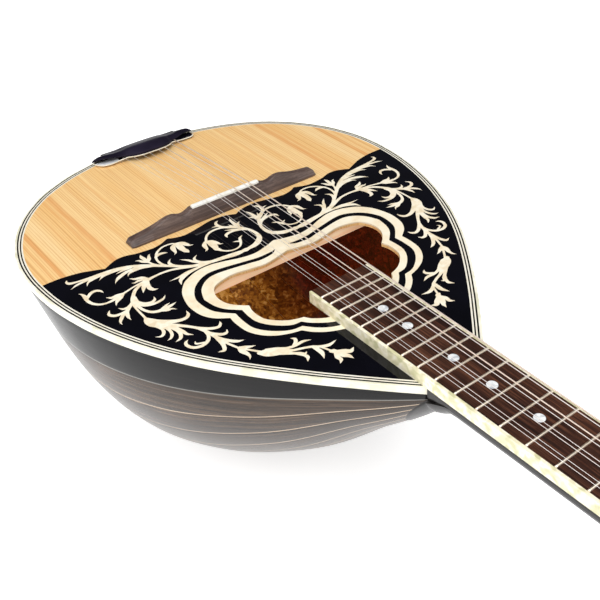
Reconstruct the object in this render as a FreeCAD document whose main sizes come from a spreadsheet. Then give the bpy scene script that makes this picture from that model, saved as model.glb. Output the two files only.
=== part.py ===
import FreeCAD, Part
import math
import os
import Sketcher

# Eight-string bouzouki: a long-necked lute with a rib-built bowl.
# Design frame: +X treble side, +Y from tail to head, +Z up, top face of the
# soundboard at z = 0 and the theoretical saddle line at y = 0.  Every piece is
# then shifted so that the origin sits in the head of the strap button.

V = FreeCAD.Vector
doc = FreeCAD.newDocument("bouzouki")

# ------------------------------------------------------------------ driving dimensions
DIMS = [
    ("scale_length", 670.0), ("fret_total", 27),
    ("board_top", 7.5), ("board_end", 131.0), ("board_half_end", 23.6), ("board_half_nut", 18.9),
    ("edge_binding", 2.0), ("nut_front", 670.0), ("nut_length", 5.0), ("nut_height", 9.9),
    ("top_thick", 3.0), ("inlay_depth", 1.0), ("binding_height", 4.6), ("body_end", 233.5),
    ("rim_drop", 6.1), ("rib_thick", 2.8), ("line_width", 0.8), ("line_gap", 0.03),
    ("first_rib", 9.0), ("rib_pitch", 10.8), ("rib_total", 15),
    ("lining_thick", 0.4), ("ring_drop", 9.5),
    ("bridge_front", 8.0), ("bridge_back", -4.0), ("bridge_lift", 0.03),
    ("saddle_front", 4.5), ("saddle_back", 0.5), ("saddle_half", 28.5), ("saddle_top", 12.5),
    ("saddle_foot", 8.0),
    ("head_tilt", 12.0), ("head_start", 675.2), ("head_thick", 13.0), ("veneer_thick", 1.6),
    ("post_first", 28.0), ("post_pitch", 24.0), ("post_offset", 20.0), ("post_radius", 3.0),
    ("post_up", 14.0),
    ("gear_radius", 6.5), ("gear_floor", 5.2), ("gear_thick", 3.2), ("gear_teeth", 15),
    ("worm_lead", 2.45), ("worm_centre", 8.6), ("worm_core", 1.9), ("worm_outer", 3.2),
    ("worm_length", 7.6),
    ("shaft_radius", 1.5), ("plate_thick", 1.2), ("gear_drop", 1.8), ("lug_offset", 5.5),
    ("run_gap", 0.04), ("button_start", 16.5), ("button_length", 15.0), ("button_wide", 13.0),
    ("button_thick", 7.0),
    ("cap_face", -130.3), ("cap_back", -127.55), ("pin_drop", 27.0), ("pin_base", -130.33),
    ("pin_neck", 6.0), ("pin_neck_radius", 4.0), ("pin_head", 4.0), ("pin_radius", 7.0),
    ("truss_width", 6.0), ("truss_depth", 8.0), ("truss_from", 242.0), ("truss_to", 662.0),
    ("cover_half", 45.5),
    ("origin_y", 138.33), ("origin_z", 27.0),
]
sheet = doc.addObject("Spreadsheet::Sheet", "Dims")
for row, (alias, value) in enumerate(DIMS, start=1):
    sheet.set("A%d" % row, alias)
    sheet.set("B%d" % row, str(value))
    sheet.setAlias("B%d" % row, alias)
doc.recompute()


def dim(alias):
    return float(sheet.get(alias))


BODY_END = dim("body_end")
INLAY_GAP = 0.012        # clearance on each side of an inlay joint
FIELD_GAP = 0.036        # spruce to pickguard
BINDING_GAP = 0.03       # soundboard edge to binding

# ------------------------------------------------------------------ plan outlines, (x, y)
# Edge of the soundboard and purfling: from the neck end down the -X side, round the
# tail and up the +X side.
TOP_EDGE = [
    (-19.722, 233.5), (-28.58, 224.433), (-35.035, 217.736), (-41.382, 211.042),
    (-55.32, 196.031), (-58.391, 192.669), (-61.395, 189.302), (-64.34, 185.947),
    (-70.147, 179.255), (-73.02, 175.906), (-78.669, 169.204), (-81.448, 165.85),
    (-84.189, 162.492), (-86.885, 159.136), (-89.541, 155.778), (-94.727, 149.066),
    (-97.27, 145.695), (-99.753, 142.312), (-103.331, 137.246), (-105.631, 133.869),
    (-107.868, 130.488), (-110.035, 127.109), (-112.136, 123.732), (-114.178, 120.356),
    (-116.164, 116.975), (-118.09, 113.59), (-119.947, 110.203), (-121.738, 106.815),
    (-123.464, 103.425), (-125.124, 100.024), (-127.465, 94.953), (-130.428, 88.23),
    (-131.865, 84.847), (-133.248, 81.451), (-135.199, 76.367), (-136.427, 72.978),
    (-137.599, 69.587), (-138.713, 66.198), (-139.771, 62.811), (-140.778, 59.418),
    (-141.727, 56.031), (-142.624, 52.653), (-143.48, 49.283), (-144.303, 45.897),
    (-145.076, 42.491), (-145.438, 40.787), (-146.111, 37.386), (-146.722, 33.982),
    (-147.27, 30.573), (-147.519, 28.868), (-147.965, 25.463), (-148.521, 20.369),
    (-148.824, 16.969), (-149.069, 13.575), (-149.264, 10.195), (-149.421, 6.812),
    (-149.529, 3.39), (-149.553, 1.664), (-149.525, -1.778), (-149.477, -3.494),
    (-149.317, -6.922), (-149.206, -8.635), (-148.928, -12.049), (-148.575, -15.482),
    (-148.124, -18.942), (-147.855, -20.672), (-147.236, -24.121), (-146.509, -27.573),
    (-146.104, -29.3), (-145.207, -32.752), (-144.716, -34.476), (-143.653, -37.92),
    (-143.08, -39.64), (-141.858, -43.071), (-140.529, -46.51), (-139.078, -49.96),
    (-138.305, -51.68), (-136.671, -55.115), (-135.805, -56.837), (-134.905, -58.561),
    (-133.966, -60.288), (-132.993, -62.006), (-130.952, -65.438), (-129.873, -67.162),
    (-128.749, -68.892), (-127.575, -70.625), (-126.355, -72.35), (-125.094, -74.066),
    (-123.788, -75.787), (-122.432, -77.511), (-121.021, -79.238), (-119.55, -80.967),
    (-118.029, -82.682), (-116.464, -84.389), (-114.844, -86.109), (-113.158, -87.837),
    (-111.394, -89.571), (-109.542, -91.306), (-107.618, -93.016), (-105.632, -94.716),
    (-103.563, -96.434), (-101.398, -98.16), (-99.138, -99.871), (-96.721, -101.59),
    (-94.223, -103.245), (-91.497, -104.921), (-88.636, -106.575), (-85.675, -108.201),
    (-82.744, -109.739), (-79.791, -111.226), (-76.951, -112.596), (-74.216, -113.85),
    (-71.529, -115.007), (-68.883, -116.077), (-66.26, -117.077), (-63.64, -118.023),
    (-61.003, -118.93), (-58.289, -119.804), (-55.515, -120.629), (-52.754, -121.396),
    (-50.048, -122.11), (-44.967, -123.386), (-42.624, -123.95), (-38.184, -124.93),
    (-36.064, -125.357), (-31.913, -126.123), (-29.84, -126.469), (-27.783, -126.78),
    (-23.807, -127.31), (-20.075, -127.751), (-16.632, -128.113), (-14.991, -128.261),
    (-11.76, -128.509), (-8.436, -128.704), (-0.028, -128.97), (6.71, -128.773),
    (10.074, -128.617), (13.341, -128.395), (16.593, -128.116), (21.887, -127.541),
    (25.729, -127.064), (29.781, -126.479), (31.864, -126.132), (36.021, -125.365),
    (40.315, -124.474), (42.575, -123.961), (44.939, -123.393), (50.013, -122.119),
    (52.704, -121.41), (55.448, -120.648), (58.203, -119.831), (60.929, -118.954),
    (63.584, -118.042), (66.193, -117.102), (68.808, -116.107), (71.448, -115.04),
    (74.132, -113.887), (76.879, -112.631), (79.732, -111.255), (82.684, -109.77),
    (85.675, -108.201), (88.636, -106.575), (91.59, -104.865), (94.273, -103.213),
    (96.83, -101.515), (99.2, -99.825), (101.476, -98.099), (103.624, -96.384),
    (105.632, -94.716), (107.618, -93.016), (109.619, -91.236), (111.463, -89.505),
    (113.158, -87.837), (114.844, -86.109), (116.464, -84.389), (118.029, -82.682),
    (119.55, -80.967), (121.021, -79.238), (122.432, -77.511), (123.788, -75.787),
    (125.094, -74.066), (126.355, -72.35), (127.575, -70.625), (128.749, -68.892),
    (129.873, -67.162), (130.952, -65.438), (132.993, -62.006), (133.966, -60.288),
    (134.905, -58.561), (135.805, -56.837), (136.671, -55.115), (138.305, -51.68),
    (139.078, -49.96), (139.82, -48.234), (141.208, -44.789), (142.482, -41.356),
    (143.653, -37.92), (144.716, -34.476), (145.669, -31.027), (146.104, -29.3),
    (146.886, -25.846), (147.236, -24.121), (147.855, -20.672), (148.124, -18.942),
    (148.575, -15.482), (148.762, -13.762), (149.076, -10.342), (149.317, -6.922),
    (149.477, -3.494), (149.552, -0.061), (149.553, 1.664), (149.484, 5.106),
    (149.264, 10.195), (149.069, 13.575), (148.824, 16.969), (148.521, 20.369),
    (148.164, 23.764), (147.75, 27.164), (147.27, 30.573), (147.004, 32.278),
    (146.425, 35.685), (146.111, 37.386), (145.438, 40.787), (145.076, 42.491),
    (144.303, 45.897), (143.48, 49.283), (142.624, 52.653), (141.727, 56.031),
    (140.778, 59.418), (139.771, 62.811), (138.713, 66.198), (137.599, 69.587),
    (136.427, 72.978), (135.199, 76.367), (133.913, 79.756), (132.565, 83.149),
    (130.428, 88.23), (127.465, 94.953), (125.923, 98.328), (124.304, 101.726),
    (123.464, 103.425), (121.738, 106.815), (119.947, 110.203), (118.09, 113.59),
    (115.178, 118.666), (113.164, 122.045), (111.093, 125.42), (108.96, 128.798),
    (106.758, 132.179), (104.489, 135.557), (102.155, 138.935), (99.753, 142.312),
    (98.521, 144.004), (96.004, 147.382), (90.853, 154.098), (88.218, 157.457),
    (85.541, 160.814), (82.824, 164.171), (80.063, 167.528), (74.446, 174.229),
    (71.587, 177.581), (62.873, 187.624), (59.902, 190.984), (56.862, 194.352),
    (42.938, 209.376), (39.798, 212.728), (33.427, 219.412), (26.949, 226.109),
    (19.722, 233.5),
]
# Outer edge of the binding, in the same order.
BINDING_EDGE = [
    (-22.562, 233.5), (-30.038, 225.845), (-36.503, 219.139), (-42.866, 212.428),
    (-56.81, 197.41), (-59.894, 194.034), (-62.913, 190.65), (-65.868, 187.284),
    (-71.677, 180.589), (-74.555, 177.234), (-80.219, 170.515), (-83.004, 167.153),
    (-85.754, 163.784), (-88.46, 160.416), (-91.126, 157.047), (-96.33, 150.312),
    (-98.878, 146.934), (-101.376, 143.532), (-104.981, 138.428), (-107.298, 135.028),
    (-109.549, 131.626), (-111.733, 128.221), (-113.85, 124.82), (-115.905, 121.423),
    (-117.904, 118.022), (-119.843, 114.613), (-121.717, 111.198), (-123.522, 107.784),
    (-125.262, 104.368), (-126.936, 100.941), (-129.306, 95.809), (-132.282, 89.057),
    (-133.724, 85.661), (-135.119, 82.24), (-137.089, 77.108), (-138.328, 73.69),
    (-139.51, 70.273), (-140.635, 66.852), (-141.703, 63.435), (-142.717, 60.019),
    (-143.676, 56.598), (-144.582, 53.19), (-145.444, 49.797), (-146.27, 46.398),
    (-147.05, 42.971), (-147.416, 41.246), (-148.098, 37.806), (-148.716, 34.368),
    (-149.27, 30.925), (-149.522, 29.199), (-149.974, 25.752), (-150.538, 20.606),
    (-150.844, 17.173), (-151.093, 13.743), (-151.29, 10.324), (-151.448, 6.931),
    (-151.557, 3.494), (-151.583, 1.753), (-151.556, -1.759), (-151.508, -3.501),
    (-151.347, -6.982), (-151.235, -8.72), (-150.954, -12.184), (-150.599, -15.648),
    (-150.145, -19.152), (-149.872, -20.919), (-149.243, -24.435), (-148.506, -27.946),
    (-147.654, -31.461), (-147.184, -33.219), (-146.16, -36.727), (-145.606, -38.478),
    (-144.417, -41.974), (-143.127, -45.456), (-141.721, -48.949), (-140.969, -50.702),
    (-140.181, -52.458), (-138.524, -55.947), (-137.648, -57.693), (-136.735, -59.443),
    (-135.783, -61.197), (-134.79, -62.955), (-132.721, -66.435), (-131.631, -68.18),
    (-130.493, -69.934), (-129.302, -71.696), (-128.054, -73.464), (-126.767, -75.218),
    (-125.446, -76.96), (-124.074, -78.708), (-122.643, -80.461), (-121.151, -82.219),
    (-119.591, -83.98), (-117.998, -85.721), (-116.37, -87.45), (-114.67, -89.196),
    (-112.886, -90.952), (-111.008, -92.716), (-108.938, -94.559), (-106.929, -96.277),
    (-104.829, -98.021), (-102.623, -99.778), (-100.323, -101.519), (-97.843, -103.281),
    (-95.303, -104.964), (-92.514, -106.678), (-89.613, -108.354), (-86.618, -109.998),
    (-83.688, -111.536), (-80.703, -113.039), (-77.833, -114.425), (-75.061, -115.695),
    (-72.331, -116.871), (-69.644, -117.959), (-66.982, -118.975), (-64.328, -119.932),
    (-61.663, -120.849), (-58.911, -121.736), (-56.093, -122.575), (-53.298, -123.352),
    (-50.566, -124.073), (-45.456, -125.356), (-43.098, -125.923), (-38.609, -126.915),
    (-36.464, -127.347), (-32.272, -128.122), (-30.174, -128.471), (-28.086, -128.788),
    (-24.064, -129.324), (-20.308, -129.767), (-16.834, -130.133), (-15.174, -130.283),
    (-11.906, -130.533), (-8.544, -130.731), (-6.825, -130.8), (-0.043, -131),
    (6.774, -130.802), (10.181, -130.644), (13.487, -130.42), (16.776, -130.138),
    (22.12, -129.558), (25.987, -129.078), (30.084, -128.486), (32.197, -128.134),
    (36.399, -127.359), (40.739, -126.459), (43.024, -125.941), (45.413, -125.367),
    (50.512, -124.087), (53.221, -123.373), (55.991, -122.604), (58.781, -121.777),
    (61.551, -120.887), (64.244, -119.962), (66.882, -119.012), (69.531, -118.004),
    (72.209, -116.922), (74.934, -115.752), (77.724, -114.476), (80.614, -113.083),
    (83.596, -111.584), (86.618, -109.998), (89.613, -108.354), (92.654, -106.594),
    (95.379, -104.915), (98.008, -103.168), (100.418, -101.449), (102.742, -99.686),
    (104.922, -97.945), (106.929, -96.277), (108.938, -94.559), (111.008, -92.716),
    (112.886, -90.952), (114.582, -89.284), (116.298, -87.526), (117.942, -85.781),
    (119.526, -84.053), (121.069, -82.314), (122.567, -80.552), (124.004, -78.795),
    (125.384, -77.041), (126.711, -75.293), (127.991, -73.552), (129.232, -71.797),
    (130.43, -70.029), (131.575, -68.268), (132.673, -66.514), (134.745, -63.032),
    (135.733, -61.288), (136.688, -59.53), (137.605, -57.776), (138.485, -56.026),
    (140.144, -52.539), (140.93, -50.791), (141.685, -49.035), (143.097, -45.534),
    (144.39, -42.049), (145.579, -38.56), (146.661, -35.06), (147.63, -31.552),
    (148.072, -29.795), (148.87, -26.279), (149.226, -24.523), (149.856, -21.016),
    (150.13, -19.253), (150.374, -17.486), (150.78, -13.981), (151.098, -10.517),
    (151.343, -7.053), (151.505, -3.576), (151.582, -0.092), (151.583, 1.663),
    (151.513, 5.161), (151.291, 10.294), (151.095, 13.699), (150.848, 17.123),
    (150.543, 20.558), (150.182, 23.985), (149.764, 27.419), (149.279, 30.866),
    (149.01, 32.591), (148.424, 36.035), (148.107, 37.754), (147.428, 41.19),
    (147.062, 42.913), (146.28, 46.355), (145.452, 49.768), (144.591, 53.158),
    (143.687, 56.559), (142.731, 59.973), (141.715, 63.395), (140.649, 66.81),
    (139.525, 70.229), (138.343, 73.649), (137.105, 77.066), (135.808, 80.483),
    (134.448, 83.907), (132.294, 89.029), (129.318, 95.781), (127.766, 99.178),
    (126.132, 102.608), (125.284, 104.325), (123.544, 107.743), (120.811, 112.865),
    (118.903, 116.28), (116.932, 119.689), (114.904, 123.09), (112.82, 126.487),
    (110.672, 129.888), (108.455, 133.293), (106.171, 136.695), (103.821, 140.095),
    (101.403, 143.495), (100.162, 145.199), (97.628, 148.601), (92.458, 155.341),
    (89.812, 158.713), (87.126, 162.083), (84.399, 165.451), (81.628, 168.82),
    (75.996, 175.54), (73.129, 178.901), (64.409, 188.951), (61.434, 192.317),
    (58.38, 195.7), (42.852, 212.442), (39.685, 215.801), (33.278, 222.494),
    (30.029, 225.854), (22.562, 233.5),
]
# Inner edge of the purfling: from the neck end down the +X side, round the tail and
# up the -X side.
FIELD_LIMIT = [
    (14.165, 233.5), (25.728, 221.671), (32.165, 214.993), (38.48, 208.333),
    (52.407, 193.333), (55.452, 190), (58.426, 186.667), (61.352, 183.333),
    (67.137, 176.667), (69.996, 173.333), (75.616, 166.667), (78.378, 163.333),
    (81.098, 160), (83.776, 156.667), (86.413, 153.333), (91.564, 146.667),
    (94.078, 143.333), (96.526, 140), (100.057, 135), (102.328, 131.667),
    (104.533, 128.333), (106.671, 125), (108.745, 121.667), (110.762, 118.333),
    (112.721, 115), (114.616, 111.667), (116.445, 108.333), (118.208, 105),
    (119.905, 101.667), (121.533, 98.333), (123.84, 93.333), (126.779, 86.667),
    (128.194, 83.333), (129.552, 80), (131.472, 75), (132.68, 71.667), (133.833, 68.333),
    (134.928, 65), (135.97, 61.667), (136.959, 58.333), (137.893, 55), (138.779, 51.667),
    (139.626, 48.333), (140.435, 45), (141.193, 41.667), (141.547, 40), (142.207, 36.667),
    (142.806, 33.333), (143.342, 30), (143.585, 28.333), (144.022, 25), (144.399, 21.667),
    (144.724, 18.333), (144.992, 15), (145.208, 11.667), (145.38, 8.333), (145.515, 5),
    (145.583, 1.667), (145.582, 0), (145.51, -3.333), (145.443, -5), (145.248, -8.333),
    (145.121, -10), (144.815, -13.333), (144.431, -16.667), (144.201, -18.333),
    (143.656, -21.667), (143.008, -25), (142.253, -28.333), (141.835, -30),
    (140.914, -33.333), (140.414, -35), (139.332, -38.333), (138.751, -40),
    (137.515, -43.333), (136.172, -46.667), (135.456, -48.333), (133.929, -51.667),
    (132.286, -55), (131.416, -56.667), (130.511, -58.333), (129.568, -60),
    (127.585, -63.333), (126.543, -65), (125.461, -66.667), (124.333, -68.333),
    (123.155, -70), (121.931, -71.667), (120.666, -73.333), (119.356, -75),
    (117.996, -76.667), (116.579, -78.333), (115.102, -80), (113.574, -81.668),
    (112.002, -83.338), (110.374, -85.007), (108.679, -86.675), (106.904, -88.34),
    (105.037, -90), (103.094, -91.663), (101.087, -93.331), (99, -94.996),
    (96.818, -96.649), (94.527, -98.281), (92.11, -99.884), (89.509, -101.484),
    (86.724, -103.095), (83.83, -104.685), (80.899, -106.224), (78.006, -107.679),
    (75.226, -109.021), (72.563, -110.24), (69.96, -111.36), (67.395, -112.397),
    (64.847, -113.367), (62.293, -114.288), (59.713, -115.175), (57.073, -116.025),
    (54.385, -116.823), (51.692, -117.571), (49.037, -118.271), (44.011, -119.533),
    (41.695, -120.09), (37.354, -121.047), (35.281, -121.465), (31.211, -122.216),
    (29.188, -122.553), (27.19, -122.855), (23.303, -123.372), (19.62, -123.807),
    (16.236, -124.162), (11.475, -124.549), (8.226, -124.739), (0, -125),
    (-6.584, -124.805), (-9.864, -124.652), (-13.056, -124.435), (-16.236, -124.162),
    (-21.431, -123.598), (-25.225, -123.126), (-29.188, -122.553), (-31.211, -122.216),
    (-35.281, -121.465), (-39.484, -120.592), (-41.695, -120.09), (-46.462, -118.924),
    (-51.692, -117.571), (-54.385, -116.823), (-57.073, -116.025), (-59.713, -115.175),
    (-62.293, -114.288), (-64.847, -113.367), (-67.395, -112.397), (-69.96, -111.36),
    (-72.563, -110.24), (-75.226, -109.021), (-78.006, -107.679), (-80.899, -106.224),
    (-83.83, -104.685), (-86.724, -103.095), (-89.509, -101.484), (-92.11, -99.884),
    (-94.527, -98.281), (-96.818, -96.649), (-99, -94.996), (-101.087, -93.331),
    (-103.094, -91.663), (-105.037, -90), (-106.904, -88.34), (-108.679, -86.675),
    (-110.374, -85.007), (-112.002, -83.338), (-113.574, -81.668), (-115.102, -80),
    (-116.579, -78.333), (-117.996, -76.667), (-119.356, -75), (-120.666, -73.333),
    (-121.931, -71.667), (-123.155, -70), (-124.333, -68.333), (-125.461, -66.667),
    (-126.543, -65), (-127.585, -63.333), (-129.568, -60), (-130.511, -58.333),
    (-131.416, -56.667), (-132.286, -55), (-133.929, -51.667), (-135.456, -48.333),
    (-136.172, -46.667), (-137.515, -43.333), (-138.751, -40), (-139.886, -36.667),
    (-140.914, -33.333), (-141.835, -30), (-142.253, -28.333), (-143.008, -25),
    (-143.345, -23.333), (-143.942, -20), (-144.201, -18.333), (-144.634, -15),
    (-144.815, -13.333), (-145.121, -10), (-145.355, -6.667), (-145.51, -3.333),
    (-145.582, 0), (-145.583, 1.667), (-145.515, 5), (-145.298, 10), (-145.107, 13.333),
    (-144.865, 16.667), (-144.569, 20), (-144.217, 23.333), (-143.811, 26.667),
    (-143.342, 30), (-143.082, 31.667), (-142.514, 35), (-141.547, 40), (-141.193, 41.667),
    (-140.435, 45), (-139.626, 48.333), (-138.779, 51.667), (-137.893, 55),
    (-136.959, 58.333), (-135.97, 61.667), (-134.928, 65), (-133.833, 68.333),
    (-132.68, 71.667), (-131.472, 75), (-130.207, 78.333), (-128.882, 81.667),
    (-126.779, 86.667), (-123.84, 93.333), (-122.317, 96.667), (-120.728, 100),
    (-118.208, 105), (-116.445, 108.333), (-114.616, 111.667), (-112.721, 115),
    (-110.762, 118.333), (-108.745, 121.667), (-106.671, 125), (-104.533, 128.333),
    (-102.328, 131.667), (-100.057, 135), (-97.72, 138.333), (-95.312, 141.667),
    (-91.564, 146.667), (-86.413, 153.333), (-83.776, 156.667), (-81.098, 160),
    (-78.378, 163.333), (-75.616, 166.667), (-69.996, 173.333), (-67.137, 176.667),
    (-61.352, 183.333), (-58.426, 186.667), (-55.452, 190), (-52.407, 193.333),
    (-38.48, 208.333), (-35.338, 211.665), (-28.961, 218.327), (-25.728, 221.671),
    (-14.165, 233.5),
]
# Tail-side edge of the pickguard, from the -X rim to the +X rim.
PICKGUARD_EDGE = [
    (-145.407, 7.463), (-142.207, 7.359), (-139.309, 7.306),
    (-138, 7.312), (-135.766, 7.364), (-133.876, 7.462), (-132.972, 7.538),
    (-131.07, 7.759), (-128.834, 8.094), (-126.311, 8.537), (-123.694, 9.07),
    (-121.171, 9.681), (-120.003, 10.011), (-118.901, 10.368), (-117.84, 10.757),
    (-116.814, 11.169), (-112.943, 12.9), (-110.185, 14.1), (-105, 16.413),
    (-100.473, 14.007), (-98.774, 13.16), (-97.995, 12.811), (-96.628, 12.244),
    (-95.434, 11.811), (-94.857, 11.643), (-94.271, 11.504), (-93.657, 11.394),
    (-92.999, 11.312), (-92.304, 11.258), (-91.594, 11.234), (-90.126, 11.274),
    (-89.368, 11.339), (-87.807, 11.558), (-87.003, 11.712), (-86.197, 11.914),
    (-85.395, 12.174), (-82.893, 13.131), (-81.988, 13.455), (-81.029, 13.754),
    (-80.003, 14.012), (-78.862, 14.241), (-76.252, 14.677), (-74.877, 14.874),
    (-72.22, 15.203), (-70.001, 15.412), (-68.399, 15.485), (-67.758, 15.477),
    (-66.654, 15.387), (-66.131, 15.311), (-64.372, 14.988), (-63.747, 14.842),
    (-62.496, 14.493), (-60.621, 13.85), (-59.37, 13.354), (-58.745, 13.074),
    (-55, 11.214), (-54.401, 11.544), (-52.694, 12.585), (-52.1, 12.923),
    (-51.466, 13.245), (-50.773, 13.544), (-50.004, 13.811), (-48.308, 14.33),
    (-47.399, 14.583), (-46.44, 14.812), (-45.427, 15.003), (-44.353, 15.143),
    (-43.212, 15.217), (-42, 15.212), (-40.676, 15.109), (-39.233, 14.915),
    (-37.703, 14.65), (-36.123, 14.337), (-28.652, 12.719), (-23.659, 11.446),
    (-22.451, 11.179), (-21.235, 10.962), (-19.999, 10.812), (-18.715, 10.731),
    (-17.383, 10.706), (-16.031, 10.728), (-14.688, 10.787), (-13.385, 10.874),
    (-11.012, 11.096), (-9.138, 11.332), (-8.401, 11.468), (-7.762, 11.619),
    (-7.191, 11.786), (-6.137, 12.167), (-4.38, 12.863), (-3.755, 13.141), (0, 15.013),
    (3.13, 13.438), (4.38, 12.863), (6.659, 11.969), (7.762, 11.619), (8.401, 11.468),
    (9.138, 11.332), (10.002, 11.212), (12.15, 10.981), (14.688, 10.787), (16.031, 10.728),
    (17.383, 10.706), (18.715, 10.731), (19.999, 10.812), (21.235, 10.962),
    (22.451, 11.179), (23.659, 11.446), (28.652, 12.719), (36.123, 14.337),
    (37.703, 14.65), (39.233, 14.915), (40.676, 15.109), (42, 15.212), (43.212, 15.217),
    (44.353, 15.143), (45.427, 15.003), (46.44, 14.812), (47.399, 14.583),
    (48.308, 14.33), (50.004, 13.811), (50.773, 13.544), (51.466, 13.245),
    (52.1, 12.923), (52.694, 12.585), (54.401, 11.544), (55, 11.214), (58.12, 12.777),
    (59.37, 13.354), (61.246, 14.078), (62.496, 14.493), (63.747, 14.842),
    (64.372, 14.988), (65.589, 15.218), (66.654, 15.387), (67.758, 15.477),
    (68.399, 15.485), (70.001, 15.412), (71.032, 15.324), (73.517, 15.051),
    (76.252, 14.677), (78.862, 14.241), (80.003, 14.012), (81.029, 13.754),
    (81.988, 13.455), (82.893, 13.131), (85.395, 12.174), (86.197, 11.914),
    (87.003, 11.712), (88.595, 11.434), (90.126, 11.274), (91.594, 11.234),
    (92.304, 11.258), (92.999, 11.312), (93.657, 11.394), (94.271, 11.504),
    (94.857, 11.643), (95.434, 11.811), (96.628, 12.244), (97.995, 12.811),
    (98.774, 13.16), (100.473, 14.007), (105, 16.413), (109.307, 14.488),
    (112.943, 12.9), (115.817, 11.598), (117.84, 10.757), (118.901, 10.368),
    (120.003, 10.011), (121.171, 9.681), (122.409, 9.367), (125.002, 8.793),
    (126.311, 8.537), (128.834, 8.094), (131.07, 7.759), (132.972, 7.538),
    (133.876, 7.462), (135.766, 7.364), (138, 7.312), (140.719, 7.324), (145.407, 7.463),
]
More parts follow.
